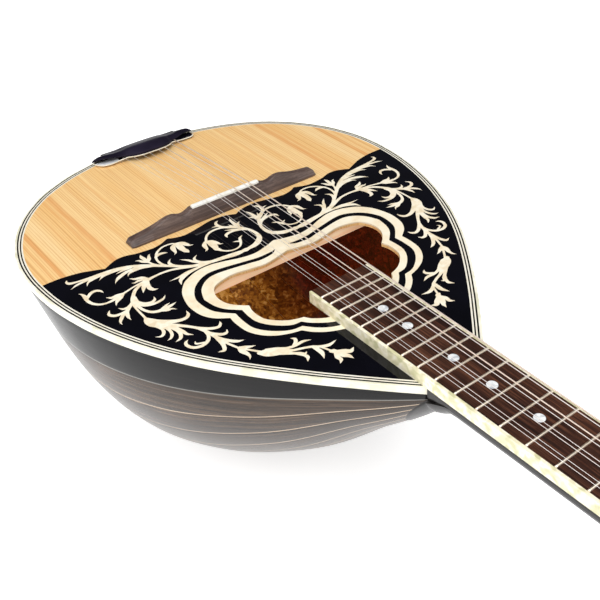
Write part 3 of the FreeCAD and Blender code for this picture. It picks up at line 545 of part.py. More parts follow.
# Vine inlay on the -X side.
VINE_BASS = [
    (-130.619, 12.264), (-131.132, 14.105), (-131.06, 14.621), (-130.625, 15.314),
    (-129.929, 15.917), (-128.619, 16.603), (-125.33, 17.481), (-117.508, 18.338),
    (-111.417, 18.718), (-103.745, 19.476), (-100.715, 19.999), (-97.831, 20.737),
    (-92.407, 22.721), (-89.898, 23.96), (-87.523, 25.354), (-83.965, 27.764),
    (-79.046, 31.687), (-79.923, 28.587), (-80.173, 28.541), (-82.307, 26.628),
    (-83.098, 25.647), (-83.541, 24.516), (-83.755, 23.101), (-84.163, 22.562),
    (-85.668, 21.32), (-85.605, 21.229), (-83.138, 21.796), (-82.647, 22.093),
    (-80.821, 24.618), (-81.264, 20.534), (-81.189, 19.942), (-80.736, 18.87),
    (-79.373, 17.137), (-79.157, 17.192), (-78.961, 19.316), (-78.239, 22.687),
    (-78.279, 24.568), (-76.846, 22.377), (-76.087, 21.518), (-73.804, 19.929),
    (-74.908, 22.882), (-75.316, 24.603), (-75.836, 25.707), (-76.656, 26.681),
    (-78.317, 28.177), (-77.611, 30.971), (-76.931, 32.477), (-75.626, 34.729),
    (-74.391, 35.881), (-74.561, 31.823), (-74.01, 28.319), (-73.443, 26.661),
    (-73.534, 26.153), (-73.398, 25.849), (-72.839, 25.424), (-70.908, 22.598),
    (-69.571, 21.187), (-68.065, 19.985), (-66.426, 18.976), (-64.781, 18.205),
    (-63.145, 17.71), (-61.535, 17.466), (-59.254, 17.411), (-56.362, 17.916),
    (-55.099, 18.472), (-53.596, 19.71), (-50.322, 20.597), (-48.755, 21.544),
    (-48.138, 22.27), (-47.398, 23.803), (-46.786, 26.171), (-46.777, 27.853),
    (-46.63, 28.081), (-44.538, 29.266), (-44.581, 29.368), (-47.25, 29.354),
    (-47.818, 29.159), (-48.753, 28.422), (-50.989, 25.29), (-50.956, 26.747),
    (-51.43, 29.974), (-50.834, 32.205), (-50.799, 33.187), (-51.69, 35.52),
    (-51.922, 35.7), (-52.496, 35.691), (-54.222, 33.969), (-54.604, 33.354),
    (-55.08, 31.838), (-55.828, 26.724), (-55.454, 23.457), (-55.912, 24.05),
    (-58.138, 29.74), (-58.737, 30.649), (-59.585, 31.248), (-61.358, 31.789),
    (-60.143, 30.533), (-59.864, 29.958), (-60.056, 27.934), (-59.964, 25.157),
    (-59.589, 23.342), (-59.132, 22.444), (-58.465, 21.699), (-57.718, 21.175),
    (-55.352, 20.152), (-56.299, 19.44), (-58.654, 18.86), (-61.392, 18.89),
    (-62.819, 19.135), (-64.221, 19.596), (-65.663, 20.335), (-68.426, 22.411),
    (-69.392, 23.449), (-67.846, 23.459), (-66.553, 23.709), (-65.369, 24.323),
    (-63.43, 26.79), (-66.239, 26.09), (-68.919, 25.926), (-70.219, 26.156),
    (-71.6, 26.677), (-72.656, 29.525), (-72.91, 31.08), (-72.952, 32.726),
    (-72.448, 36.072), (-71.293, 38.875), (-70.399, 39.763), (-70.195, 38.122),
    (-69.971, 37.518), (-69.322, 36.622), (-68.186, 35.647), (-65.791, 34.442),
    (-67.386, 36.464), (-68.124, 38.181), (-67.911, 39.863), (-67.54, 41.083),
    (-66.929, 42.302), (-65.868, 43.651), (-63.238, 46.397), (-61.379, 47.825),
    (-58.178, 49.934), (-53.925, 51.391), (-56.736, 47.555), (-58.548, 43.746),
    (-61.746, 39.063), (-58.495, 41.324), (-57.052, 42.654), (-56.46, 43.422),
    (-55.055, 45.992), (-54.426, 44.338), (-53.973, 43.703), (-52.664, 42.82),
    (-49.672, 41.848), (-51.996, 43.857), (-52.626, 44.701), (-52.866, 45.561),
    (-52.91, 46.537), (-52.731, 47.529), (-52.297, 48.586), (-51.593, 49.725),
    (-50.668, 50.776), (-49.425, 51.692), (-46.351, 53.417), (-43.53, 53.892),
    (-37.21, 54.442), (-29.773, 55.396), (-23.357, 56.608), (-21.807, 56.108),
    (-20.733, 56.036), (-18.855, 56.517), (-16.804, 56.079), (-12.831, 54.919),
    (-11.13, 54.093), (-9.458, 53.018), (-7.437, 51.34), (-6.62, 50.451),
    (-5.997, 49.479), (-5.493, 48.302), (-4.927, 45.433), (-5.05, 42.09),
    (-5.394, 40.442), (-6.101, 38.448), (-8.506, 36.226), (-9.699, 35.381),
    (-12.535, 34.269), (-14.727, 33.83), (-16.154, 33.736), (-17.995, 33.872),
    (-19.386, 34.338), (-20.572, 35.051), (-21.928, 37.33), (-22.111, 37.299),
    (-22.447, 34.858), (-22.353, 34.176), (-21.602, 32.954), (-21.066, 32.514),
    (-19.805, 31.885), (-18.401, 31.527), (-16.857, 31.423), (-14.777, 31.609),
    (-17.257, 29.606), (-18.788, 28.042), (-14.447, 29.734), (-12.384, 30.71),
    (-10.082, 32.255), (-10.059, 31.518), (-10.572, 30.909), (-11.192, 30.711),
    (-14.243, 28.349), (-17.09, 25.602), (-19.432, 24.639), (-21.23, 24.164),
    (-23.03, 23.94), (-24.886, 23.991), (-26.759, 24.292), (-28.454, 24.824),
    (-29.951, 25.614), (-31.343, 26.666), (-32.571, 27.866), (-33.517, 29.171),
    (-34.794, 31.602), (-32.84, 32.405), (-32.168, 32.961), (-31.163, 34.423),
    (-30.08, 37.39), (-29.862, 38.686), (-29.912, 40.159), (-29.802, 40.376),
    (-28.12, 41.362), (-28.181, 41.487), (-29.919, 41.425), (-30.886, 41.05),
    (-32.199, 39.522), (-32.787, 41.884), (-33.327, 43.28), (-33.873, 44.169),
    (-33.56, 44.652), (-33.171, 47.075), (-32.824, 48.095), (-32.14, 49.162),
    (-31.254, 50.159), (-30.223, 50.952), (-28.926, 51.569), (-27.43, 52.01),
    (-25.982, 52.194), (-24.572, 52.077), (-23.149, 51.705), (-21.933, 51.177),
    (-21.047, 50.527), (-19.374, 48.264), (-18.899, 47.048), (-22.443, 44.16),
    (-20.246, 44.553), (-19.228, 44.9), (-18.288, 45.514), (-17.191, 43.431),
    (-16.295, 42.41), (-15.706, 42.041), (-14.455, 41.627), (-12.541, 41.26),
    (-15.105, 43.589), (-16.351, 46.468), (-17.581, 48.589), (-19.154, 50.64),
    (-20.085, 51.605), (-21.265, 52.421), (-22.701, 53.027), (-24.33, 53.455),
    (-26.016, 53.606), (-27.724, 53.405), (-29.428, 52.927), (-30.975, 52.249),
    (-32.3, 51.324), (-34.811, 48.527), (-35.828, 46.797), (-36.905, 45.649),
    (-37.43, 44.385), (-37.484, 43.633), (-37.216, 41.534), (-37.292, 37.184),
    (-36.934, 33.711), (-37.948, 35.541), (-39.51, 39.976), (-40.034, 40.873),
    (-40.88, 41.573), (-43.195, 42.089), (-43.288, 41.986), (-41.887, 40.827),
    (-41.584, 40.335), (-41.669, 38.625), (-41.512, 36.316), (-41.195, 34.815),
    (-40.853, 34.061), (-39.815, 32.876), (-37.317, 31.226), (-36.728, 31.18),
    (-34.985, 28.248), (-33.83, 26.736), (-32.466, 25.387), (-30.91, 24.157),
    (-29.147, 23.177), (-26.131, 22.314), (-24.012, 22.081), (-21.937, 22.109),
    (-19.254, 22.522), (-19.646, 21.463), (-20.873, 20.603), (-23.833, 19.251),
    (-20.917, 19.246), (-20.116, 19.464), (-20.088, 18.224), (-19.732, 16.832),
    (-19.06, 15.669), (-18.178, 14.793), (-17.635, 14.493), (-16.525, 14.286),
    (-14.985, 14.252), (-14.852, 14.382), (-16.857, 15.762), (-17.624, 17.537),
    (-17.712, 18.381), (-17.535, 19.974), (-17.187, 21.182), (-16.616, 22.354),
    (-15.476, 23.949), (-12.232, 25.92), (-12.6, 23.141), (-10.186, 27.238),
    (-9.588, 22.939), (-8.933, 19.969), (-8.48, 18.888), (-6.915, 16.531),
    (-7.288, 20.279), (-7.159, 23.779), (-6.915, 25.921), (-6.199, 25.564),
    (-3.642, 24.81), (-5.562, 27.215), (-7.266, 31.127), (-6.064, 32.872),
    (-4.756, 35.25), (-3.648, 37.91), (-2.609, 41.683), (-2.198, 45.489),
    (-2.286, 48.159), (-2.559, 49.905), (-3.11, 51.613), (-3.989, 53.204),
    (-5.074, 54.589), (-7.607, 56.855), (-9.107, 57.788), (-10.739, 58.523),
    (-12.522, 58.987), (-16.478, 59.28), (-18.112, 59.131), (-20.193, 59.892),
    (-21.267, 59.964), (-23.329, 59.418), (-26.108, 59.971), (-28.514, 60.001),
    (-31.339, 59.73), (-37.789, 58.158), (-47.985, 56.332), (-52.429, 56.123),
    (-57.139, 56.276), (-62.825, 56.977), (-64.994, 57.513), (-66.796, 58.152),
    (-70.601, 59.887), (-72.942, 61.404), (-75.59, 64.958), (-75.002, 60.851),
    (-74.524, 59.665), (-74.074, 59.068), (-72.056, 57.249), (-74.917, 57.101),
    (-79.844, 56.34), (-73.722, 55.727), (-71.49, 55.344), (-66.933, 54.171),
    (-65.616, 53.993), (-62.81, 53.929), (-56.159, 54.226), (-59.706, 52.695),
    (-70.041, 47.756), (-72.258, 46.953), (-74.532, 46.428), (-76.838, 46.106),
    (-80.073, 45.913), (-83.027, 46.088), (-85.763, 46.476), (-89.336, 47.387),
    (-90.512, 50.25), (-91.248, 52.759), (-91.458, 54.218), (-91.317, 55.511),
    (-90.941, 56.844), (-88.94, 58.938), (-91.583, 58.867), (-92.29, 58.658),
    (-92.959, 58.246), (-93.49, 57.684), (-94.184, 56.373), (-94.542, 54.177),
    (-94.178, 52.161), (-98.798, 56.759), (-97.862, 53.036), (-97.034, 51.121),
    (-95.638, 48.907), (-97.641, 49.732), (-99.006, 50.527), (-100.862, 51.938),
    (-103.101, 54.337), (-104.557, 56.651), (-104.276, 56.898), (-104.159, 57.468),
    (-104.95, 60.926), (-104.976, 62.323), (-104.201, 64.332), (-103.372, 65.517),
    (-102.497, 66.338), (-101.352, 66.988), (-100.16, 67.415), (-99.305, 67.536),
    (-98.493, 67.38), (-97.373, 66.865), (-96.827, 66.384), (-95.637, 64.419),
    (-95.513, 64.482), (-95.541, 66.881), (-95.698, 67.527), (-96.483, 68.643),
    (-97.644, 69.432), (-98.779, 69.821), (-96.453, 70.004), (-94.352, 69.885),
    (-91.666, 69.14), (-89.096, 67.529), (-89.032, 67.62), (-90.454, 69.722),
    (-91.442, 70.659), (-92.64, 71.316), (-93.995, 71.76), (-95.528, 72.011),
    (-98.312, 72.105), (-100.351, 71.889), (-102.258, 71.33), (-104.08, 70.462),
    (-105.733, 69.274), (-106.989, 67.84), (-106.645, 70.857), (-106.148, 72.558),
    (-105.443, 74.161), (-104.598, 75.541), (-103.692, 76.561), (-102.704, 77.282),
    (-101.592, 77.796), (-100.376, 78.109), (-98.706, 78.17), (-95.251, 76.705),
    (-93.964, 76.393), (-90.954, 76.246), (-94.106, 78.21), (-87.43, 78.406),
    (-90.321, 79.902), (-91.836, 80.49), (-94.47, 81.1), (-92.656, 82.034),
    (-91.937, 82.928), (-90.93, 84.89), (-91.006, 84.971), (-92.638, 83.554),
    (-93.337, 83.168), (-95.397, 83.264), (-96.055, 83.099), (-97.282, 82.479),
    (-99.477, 81.011), (-100.956, 80.696), (-102.573, 80.08), (-103.995, 79.256),
    (-105.273, 78.162), (-106.379, 76.766), (-107.319, 75.091), (-108.076, 73.238),
    (-108.62, 71.283), (-108.958, 69.187), (-109.111, 66.758), (-109.24, 66.741),
    (-109.633, 74.731), (-109.567, 79.925), (-109.433, 80.746), (-105.278, 86.386),
    (-103.007, 88.703), (-100.519, 90.853), (-97.966, 92.746), (-96.295, 93.758),
    (-94.75, 94.413), (-93.196, 94.783), (-91.806, 94.881), (-90.816, 94.726),
    (-90.076, 94.29), (-89.078, 93.294), (-88.501, 92.473), (-87.346, 89.924),
    (-87.215, 89.973), (-87.02, 92.835), (-87.098, 93.586), (-87.663, 94.942),
    (-88.611, 96.046), (-89.948, 96.888), (-90.741, 97.161), (-92.496, 97.401),
    (-94.446, 97.302), (-96.482, 96.872), (-100.651, 95.124), (-95.529, 100.9),
    (-90.932, 107.006), (-88.775, 109.569), (-85.004, 112.986), (-82.982, 114.261),
    (-81.756, 114.794), (-80.844, 114.999), (-80.219, 114.861), (-78.489, 113.562),
    (-77.231, 111.736), (-77.086, 113.737), (-77.438, 114.814), (-78.145, 115.78),
    (-79.223, 116.693), (-79.94, 117.032), (-81.574, 117.183), (-84.047, 116.443),
    (-85.686, 115.526), (-87.61, 114.003), (-86.838, 117.133), (-85.775, 118.745),
    (-83.77, 121.095), (-82.006, 122.488), (-80.867, 122.82), (-80.036, 122.823),
    (-78.012, 121.112), (-77.911, 121.207), (-78.635, 123.508), (-78.985, 124.077),
    (-79.517, 124.543), (-80.151, 124.823), (-81.509, 124.969), (-82.216, 124.865),
    (-83.611, 124.321), (-85.643, 122.547), (-85.654, 123.14), (-84.013, 127.01),
    (-82.551, 129.238), (-80.565, 131.723), (-78.913, 133.445), (-77.568, 134.532),
    (-75.273, 136.052), (-78.072, 135.94), (-79.51, 135.577), (-80.783, 134.883),
    (-81.916, 133.96), (-84.238, 131.257), (-83.8, 133.252), (-81.859, 139.023),
    (-81.085, 139.231), (-77.621, 141.117), (-75.508, 142.908), (-73.143, 144.384),
    (-75.591, 144.374), (-78.888, 143.405), (-77.399, 145.552), (-73.519, 150.409),
    (-71.729, 150.767), (-70.972, 150.547), (-70.343, 150.704), (-66.148, 152.912),
    (-64.449, 154.024), (-61.461, 156.421), (-59.984, 157.194), (-57.195, 157.986),
    (-54.203, 155.844), (-53.235, 154.13), (-54.102, 152.039), (-53.964, 151.987),
    (-52.059, 152.904), (-51.607, 153.329), (-51.299, 153.941), (-51.226, 154.604),
    (-51.526, 155.803), (-51.821, 156.35), (-53.207, 157.975), (-50.932, 157.862),
    (-49.858, 157.996), (-48.878, 158.317), (-47.239, 159.273), (-45.078, 160.955),
    (-49.366, 160.072), (-50.964, 159.999), (-55.022, 160.257), (-57.075, 160.084),
    (-60.583, 159.226), (-57.944, 161.288), (-53.163, 163.085), (-49.166, 164.876),
    (-47.501, 165.82), (-45.691, 167.39), (-43.637, 168.653), (-41.869, 169.458),
    (-40.214, 169.977), (-38.852, 170.182), (-33.957, 170.16), (-37.709, 171.842),
    (-39.608, 172.301), (-40.504, 172.313), (-42.1, 172.002), (-43.566, 171.473),
    (-41.991, 175.313), (-41.15, 175.485), (-40.319, 176.056), (-39.806, 176.926),
    (-39.605, 177.681), (-35.978, 179.619), (-34.758, 180.644), (-33.708, 181.903),
    (-33.351, 181.977), (-30.587, 181.664), (-32.487, 183.973), (-33.208, 184.432),
    (-34.161, 184.645), (-35.142, 184.486), (-35.953, 184.096), (-37.277, 183.129),
    (-36.61, 184.481), (-36.252, 185.966), (-36.797, 189.319), (-38.841, 186.374),
    (-40.453, 184.96), (-41.382, 183.67), (-41.769, 182.732), (-41.709, 185.047),
    (-41.996, 185.844), (-42.516, 186.462), (-43.117, 186.87), (-45.605, 187.859),
    (-44.349, 185.622), (-44.202, 184.973), (-44.677, 183.728), (-44.737, 182.182),
    (-44.217, 180.773), (-42.811, 178.468), (-43.006, 178.023), (-43.984, 176.967),
    (-44.176, 176.474), (-44.135, 175.947), (-43.572, 175.252), (-45.682, 169.976),
    (-46.384, 169.369), (-46.111, 171.703), (-46.151, 173.17), (-46.582, 174.758),
    (-47.001, 175.548), (-48.126, 176.967), (-50.042, 178.941), (-49.219, 174.046),
    (-49.509, 166.799), (-51.86, 165.596), (-54.845, 164.321), (-61.229, 162.178),
    (-57.938, 164.62), (-56.69, 165.745), (-55.281, 167.767), (-53.883, 167.313),
    (-53.819, 167.436), (-54.683, 168.867), (-55.645, 169.264), (-55.143, 170.267),
    (-55.029, 170.989), (-55.144, 171.775), (-55.513, 172.502), (-56.057, 173.097),
    (-58.593, 174.889), (-58.688, 174.787), (-57.471, 171.566), (-57.514, 170.48),
    (-58.447, 168.355), (-60.646, 165.298), (-67.752, 159.939), (-70.13, 158.964),
    (-73.317, 157.045), (-74.577, 155.964), (-75.464, 154.785), (-76.512, 152.43),
    (-76.907, 151.935), (-77.053, 151.305), (-76.911, 150.674), (-76.51, 150.167),
    (-75.988, 149.901), (-80.265, 144.16), (-80.034, 147.228), (-80.364, 149.629),
    (-80.793, 150.648), (-81.46, 151.487), (-83.058, 152.609), (-82.248, 150.516),
    (-82.222, 149.363), (-82.439, 148.041), (-83.943, 144.423), (-84.093, 143.615),
    (-83.96, 142.136), (-83.151, 139.979), (-86.146, 131.619), (-87.313, 134.926),
    (-88.21, 136.356), (-88.83, 136.941), (-89.622, 137.34), (-90.513, 137.383),
    (-91.275, 137.117), (-93.654, 135.424), (-90.528, 135.597), (-89.823, 134.484),
    (-89.118, 132.614), (-88.81, 131.268), (-88.433, 127.945), (-88.254, 123.042),
    (-88.836, 119.871), (-89.92, 121.85), (-91.105, 123.309), (-91.826, 123.927),
    (-93.546, 124.915), (-95.503, 125.581), (-97.492, 125.846), (-98.473, 125.787),
    (-100.41, 125.328), (-102.164, 124.516), (-102.926, 123.987), (-104.148, 122.597),
    (-105.211, 120.243), (-105.453, 118.76), (-105.411, 118.03), (-105.037, 116.711),
    (-104.339, 115.644), (-103.837, 115.242), (-102.706, 114.857), (-101.069, 114.616),
    (-101.025, 114.748), (-102.737, 116.47), (-103.27, 118.283), (-103.216, 119.101),
    (-102.243, 121.345), (-101.472, 122.215), (-100.352, 122.877), (-98.915, 123.377),
    (-97.506, 123.554), (-96.165, 123.351), (-98.341, 122.482), (-99.798, 121.566),
    (-100.108, 121.059), (-100.148, 120.446), (-99.937, 119.952), (-98.627, 118.584),
    (-98.493, 118.648), (-98.925, 120.529), (-97.755, 121.221), (-94.116, 122.613),
    (-93.173, 122.072), (-92.166, 121.166), (-91.312, 120.001), (-90.662, 118.679),
    (-90.317, 117.212), (-90.11, 114.276), (-91.55, 110.361), (-92.435, 108.704),
    (-94.109, 106.261), (-96.001, 103.946), (-99.522, 100.434), (-98.144, 106.134),
    (-98.051, 108.641), (-97.807, 109.592), (-95.985, 112.773), (-96.048, 112.906),
    (-98.731, 111.146), (-99.823, 109.918), (-100.154, 109.149), (-100.396, 107.401),
    (-101.317, 109.362), (-102.446, 110.89), (-103.158, 111.485), (-103.985, 111.88),
    (-104.842, 112.048), (-108.042, 111.941), (-105.269, 110.608), (-104.436, 109.909),
    (-103.106, 107.569), (-102.711, 106.161), (-102.615, 104.707), (-102.763, 103.073),
    (-103.134, 101.334), (-103.919, 99.364), (-103.956, 100.851), (-104.231, 102.729),
    (-104.762, 104.385), (-105.606, 105.795), (-106.668, 106.886), (-107.794, 107.631),
    (-108.393, 107.847), (-109.529, 107.879), (-111.047, 107.565), (-109.229, 106.837),
    (-108.602, 106.366), (-107.513, 105.163), (-106.873, 104.158), (-106.242, 102.267),
    (-105.992, 100.7), (-106.008, 99.116), (-106.779, 96.536), (-107.112, 98.469),
    (-107.648, 99.937), (-108.441, 101.142), (-109.527, 102.113), (-110.854, 102.689),
    (-111.598, 102.736), (-112.308, 102.541), (-112.915, 102.159), (-114.887, 100.217),
    (-114.797, 100.111), (-112.336, 101.043), (-111.599, 101.058), (-110.36, 100.178),
    (-109.792, 99.431), (-109.138, 97.917), (-108.911, 96.696), (-109.01, 95.449),
    (-110.18, 92.306), (-111.824, 90.209), (-112.679, 88.606), (-113.246, 86.09),
    (-113.248, 84.591), (-112.969, 83.15), (-111.223, 79.916), (-110.843, 67.116),
    (-110.494, 63.927), (-114.22, 67.212), (-115.08, 68.183), (-115.651, 69.289),
    (-116.553, 71.916), (-117.318, 73.485), (-118.017, 76.556), (-118.678, 74.219),
    (-118.95, 72.232), (-118.671, 69.807), (-119.783, 70.684), (-123.561, 74.482),
    (-123.892, 75.066), (-124.34, 77.243), (-124.859, 74.946), (-124.561, 73.113),
    (-123.857, 71.807), (-122.572, 70.116), (-120.488, 68.135), (-122.531, 67.891),
    (-124.146, 67.393), (-124.87, 66.983), (-126.065, 65.855), (-126.895, 64.416),
    (-127.105, 63.605), (-127.111, 62.742), (-126.84, 61.932), (-126.367, 61.252),
    (-124.016, 59.082), (-123.889, 59.158), (-125.029, 62.015), (-125.084, 62.86),
    (-124.238, 64.368), (-123.527, 65.018), (-122.628, 65.437), (-121.368, 65.745),
    (-119.324, 65.897), (-116.228, 65.421), (-115.717, 64.987), (-117.07, 64.397),
    (-117.576, 63.91), (-118.148, 62.718), (-118.67, 60.846), (-118.485, 60.722),
    (-116.731, 62.467), (-116.129, 62.801), (-114.634, 62.963), (-113.675, 62.816),
    (-111.501, 61.723), (-109.602, 60.156), (-109.067, 58.772), (-108.014, 56.877),
    (-103.746, 51.432), (-102.445, 50.148), (-100.994, 49.031), (-97.569, 47.158),
    (-101.847, 47.903), (-108.495, 49.86), (-110.147, 51.79), (-111.106, 52.663),
    (-115.657, 55.063), (-116.964, 56.052), (-118.384, 57.657), (-117.915, 55.455),
    (-116.823, 53.283), (-116.027, 52.323), (-119.272, 52.412), (-121.089, 52.277),
    (-123.679, 51.756), (-125.342, 51.114), (-126.861, 50.119), (-128.219, 48.801),
    (-129.371, 47.279), (-130.249, 45.618), (-130.843, 43.792), (-131.193, 41.947),
    (-131.302, 40.091), (-130.529, 34.339), (-130.552, 33.027), (-131.185, 30.874),
    (-131.056, 30.823), (-129.7, 32.109), (-129.087, 32.967), (-128.374, 34.51),
    (-128.006, 36.352), (-126.098, 34.7), (-125.321, 34.23), (-123.737, 33.722),
    (-121.525, 33.764), (-120.214, 34.257), (-118.757, 35.631), (-118.169, 36.692),
    (-117.943, 37.854), (-118.129, 40.053), (-118.268, 40.058), (-119.385, 37.802),
    (-120.914, 36.323), (-121.547, 36.047), (-123.309, 36.057), (-124.281, 36.371),
    (-125.378, 37.071), (-128.131, 39.363), (-128.707, 39.613), (-128.875, 41.7),
    (-128.656, 43.297), (-128.237, 44.835), (-127.601, 46.205), (-126.705, 47.537),
    (-125.637, 48.685), (-124.487, 49.509), (-123.157, 50.082), (-121.672, 50.432),
    (-120.146, 50.534), (-116.239, 49.807), (-117.004, 49.518), (-117.696, 49.041),
    (-118.207, 48.449), (-119.549, 45.89), (-119.423, 45.753), (-117.009, 47.07),
    (-116.206, 47.278), (-113.518, 47.01), (-112.066, 47.119), (-108.798, 48.068),
    (-98.134, 45.747), (-92.316, 44.88), (-95.101, 43.939), (-96.876, 44.121),
    (-97.955, 43.87), (-99.618, 42.344), (-97.638, 42.77), (-95.246, 41.831),
    (-93.661, 41.941), (-92.091, 42.42), (-92.482, 42.052), (-95.22, 41.18),
    (-95.954, 40.753), (-96.959, 39.625), (-98.111, 37.266), (-97.918, 36.98),
    (-94.847, 38.848), (-91.457, 39.723), (-90.666, 40.155), (-90.015, 40.737),
    (-89.184, 41.988), (-88.217, 44.088), (-88.241, 44.375), (-80.064, 44.027),
    (-74.21, 44.558), (-71.744, 45.047), (-66.526, 46.753), (-73.873, 39.934),
    (-79.335, 35.156), (-83.937, 33.152), (-86.356, 32.327), (-88.494, 31.965),
    (-90.557, 31.871), (-94.257, 32.043), (-95.655, 32.461), (-96.343, 32.915),
    (-97.657, 34.313), (-97, 32.45), (-96.339, 31.536), (-94.434, 30.209),
    (-96.853, 30.628), (-104.15, 33.444), (-105.656, 34.301), (-108.011, 36.058),
    (-106.424, 33.497), (-104.461, 31.045), (-102.205, 29.611), (-100.061, 28.692),
    (-97.563, 27.92), (-94.893, 27.513), (-89.538, 27.543), (-90.42, 27.002),
    (-91.07, 27.234), (-96.61, 26.791), (-102.859, 26.702), (-99.53, 25.441),
    (-96.838, 25.003), (-102.326, 24.2), (-107.966, 23.996), (-109.731, 24.186),
    (-111.251, 24.654), (-114.411, 26.258), (-111.994, 23.495), (-110.946, 22.738),
    (-113.709, 22.797), (-117.931, 23.408), (-120.138, 23.963), (-121.178, 24.588),
    (-121.912, 25.286), (-123.386, 27.157), (-122.338, 24.309), (-121.417, 22.986),
    (-120.585, 22.238), (-119.407, 21.567), (-125.913, 21.982), (-128.709, 22.378),
    (-133.223, 23.554), (-130.06, 21.414), (-128.2, 20.586), (-125.114, 19.952),
    (-122.377, 19.676), (-129.255, 18.673), (-130.652, 18.23), (-131.814, 17.424),
    (-132.24, 16.886), (-132.709, 15.726), (-132.736, 14.579), (-132.555, 14.023),
    (-131.869, 13.187),
]
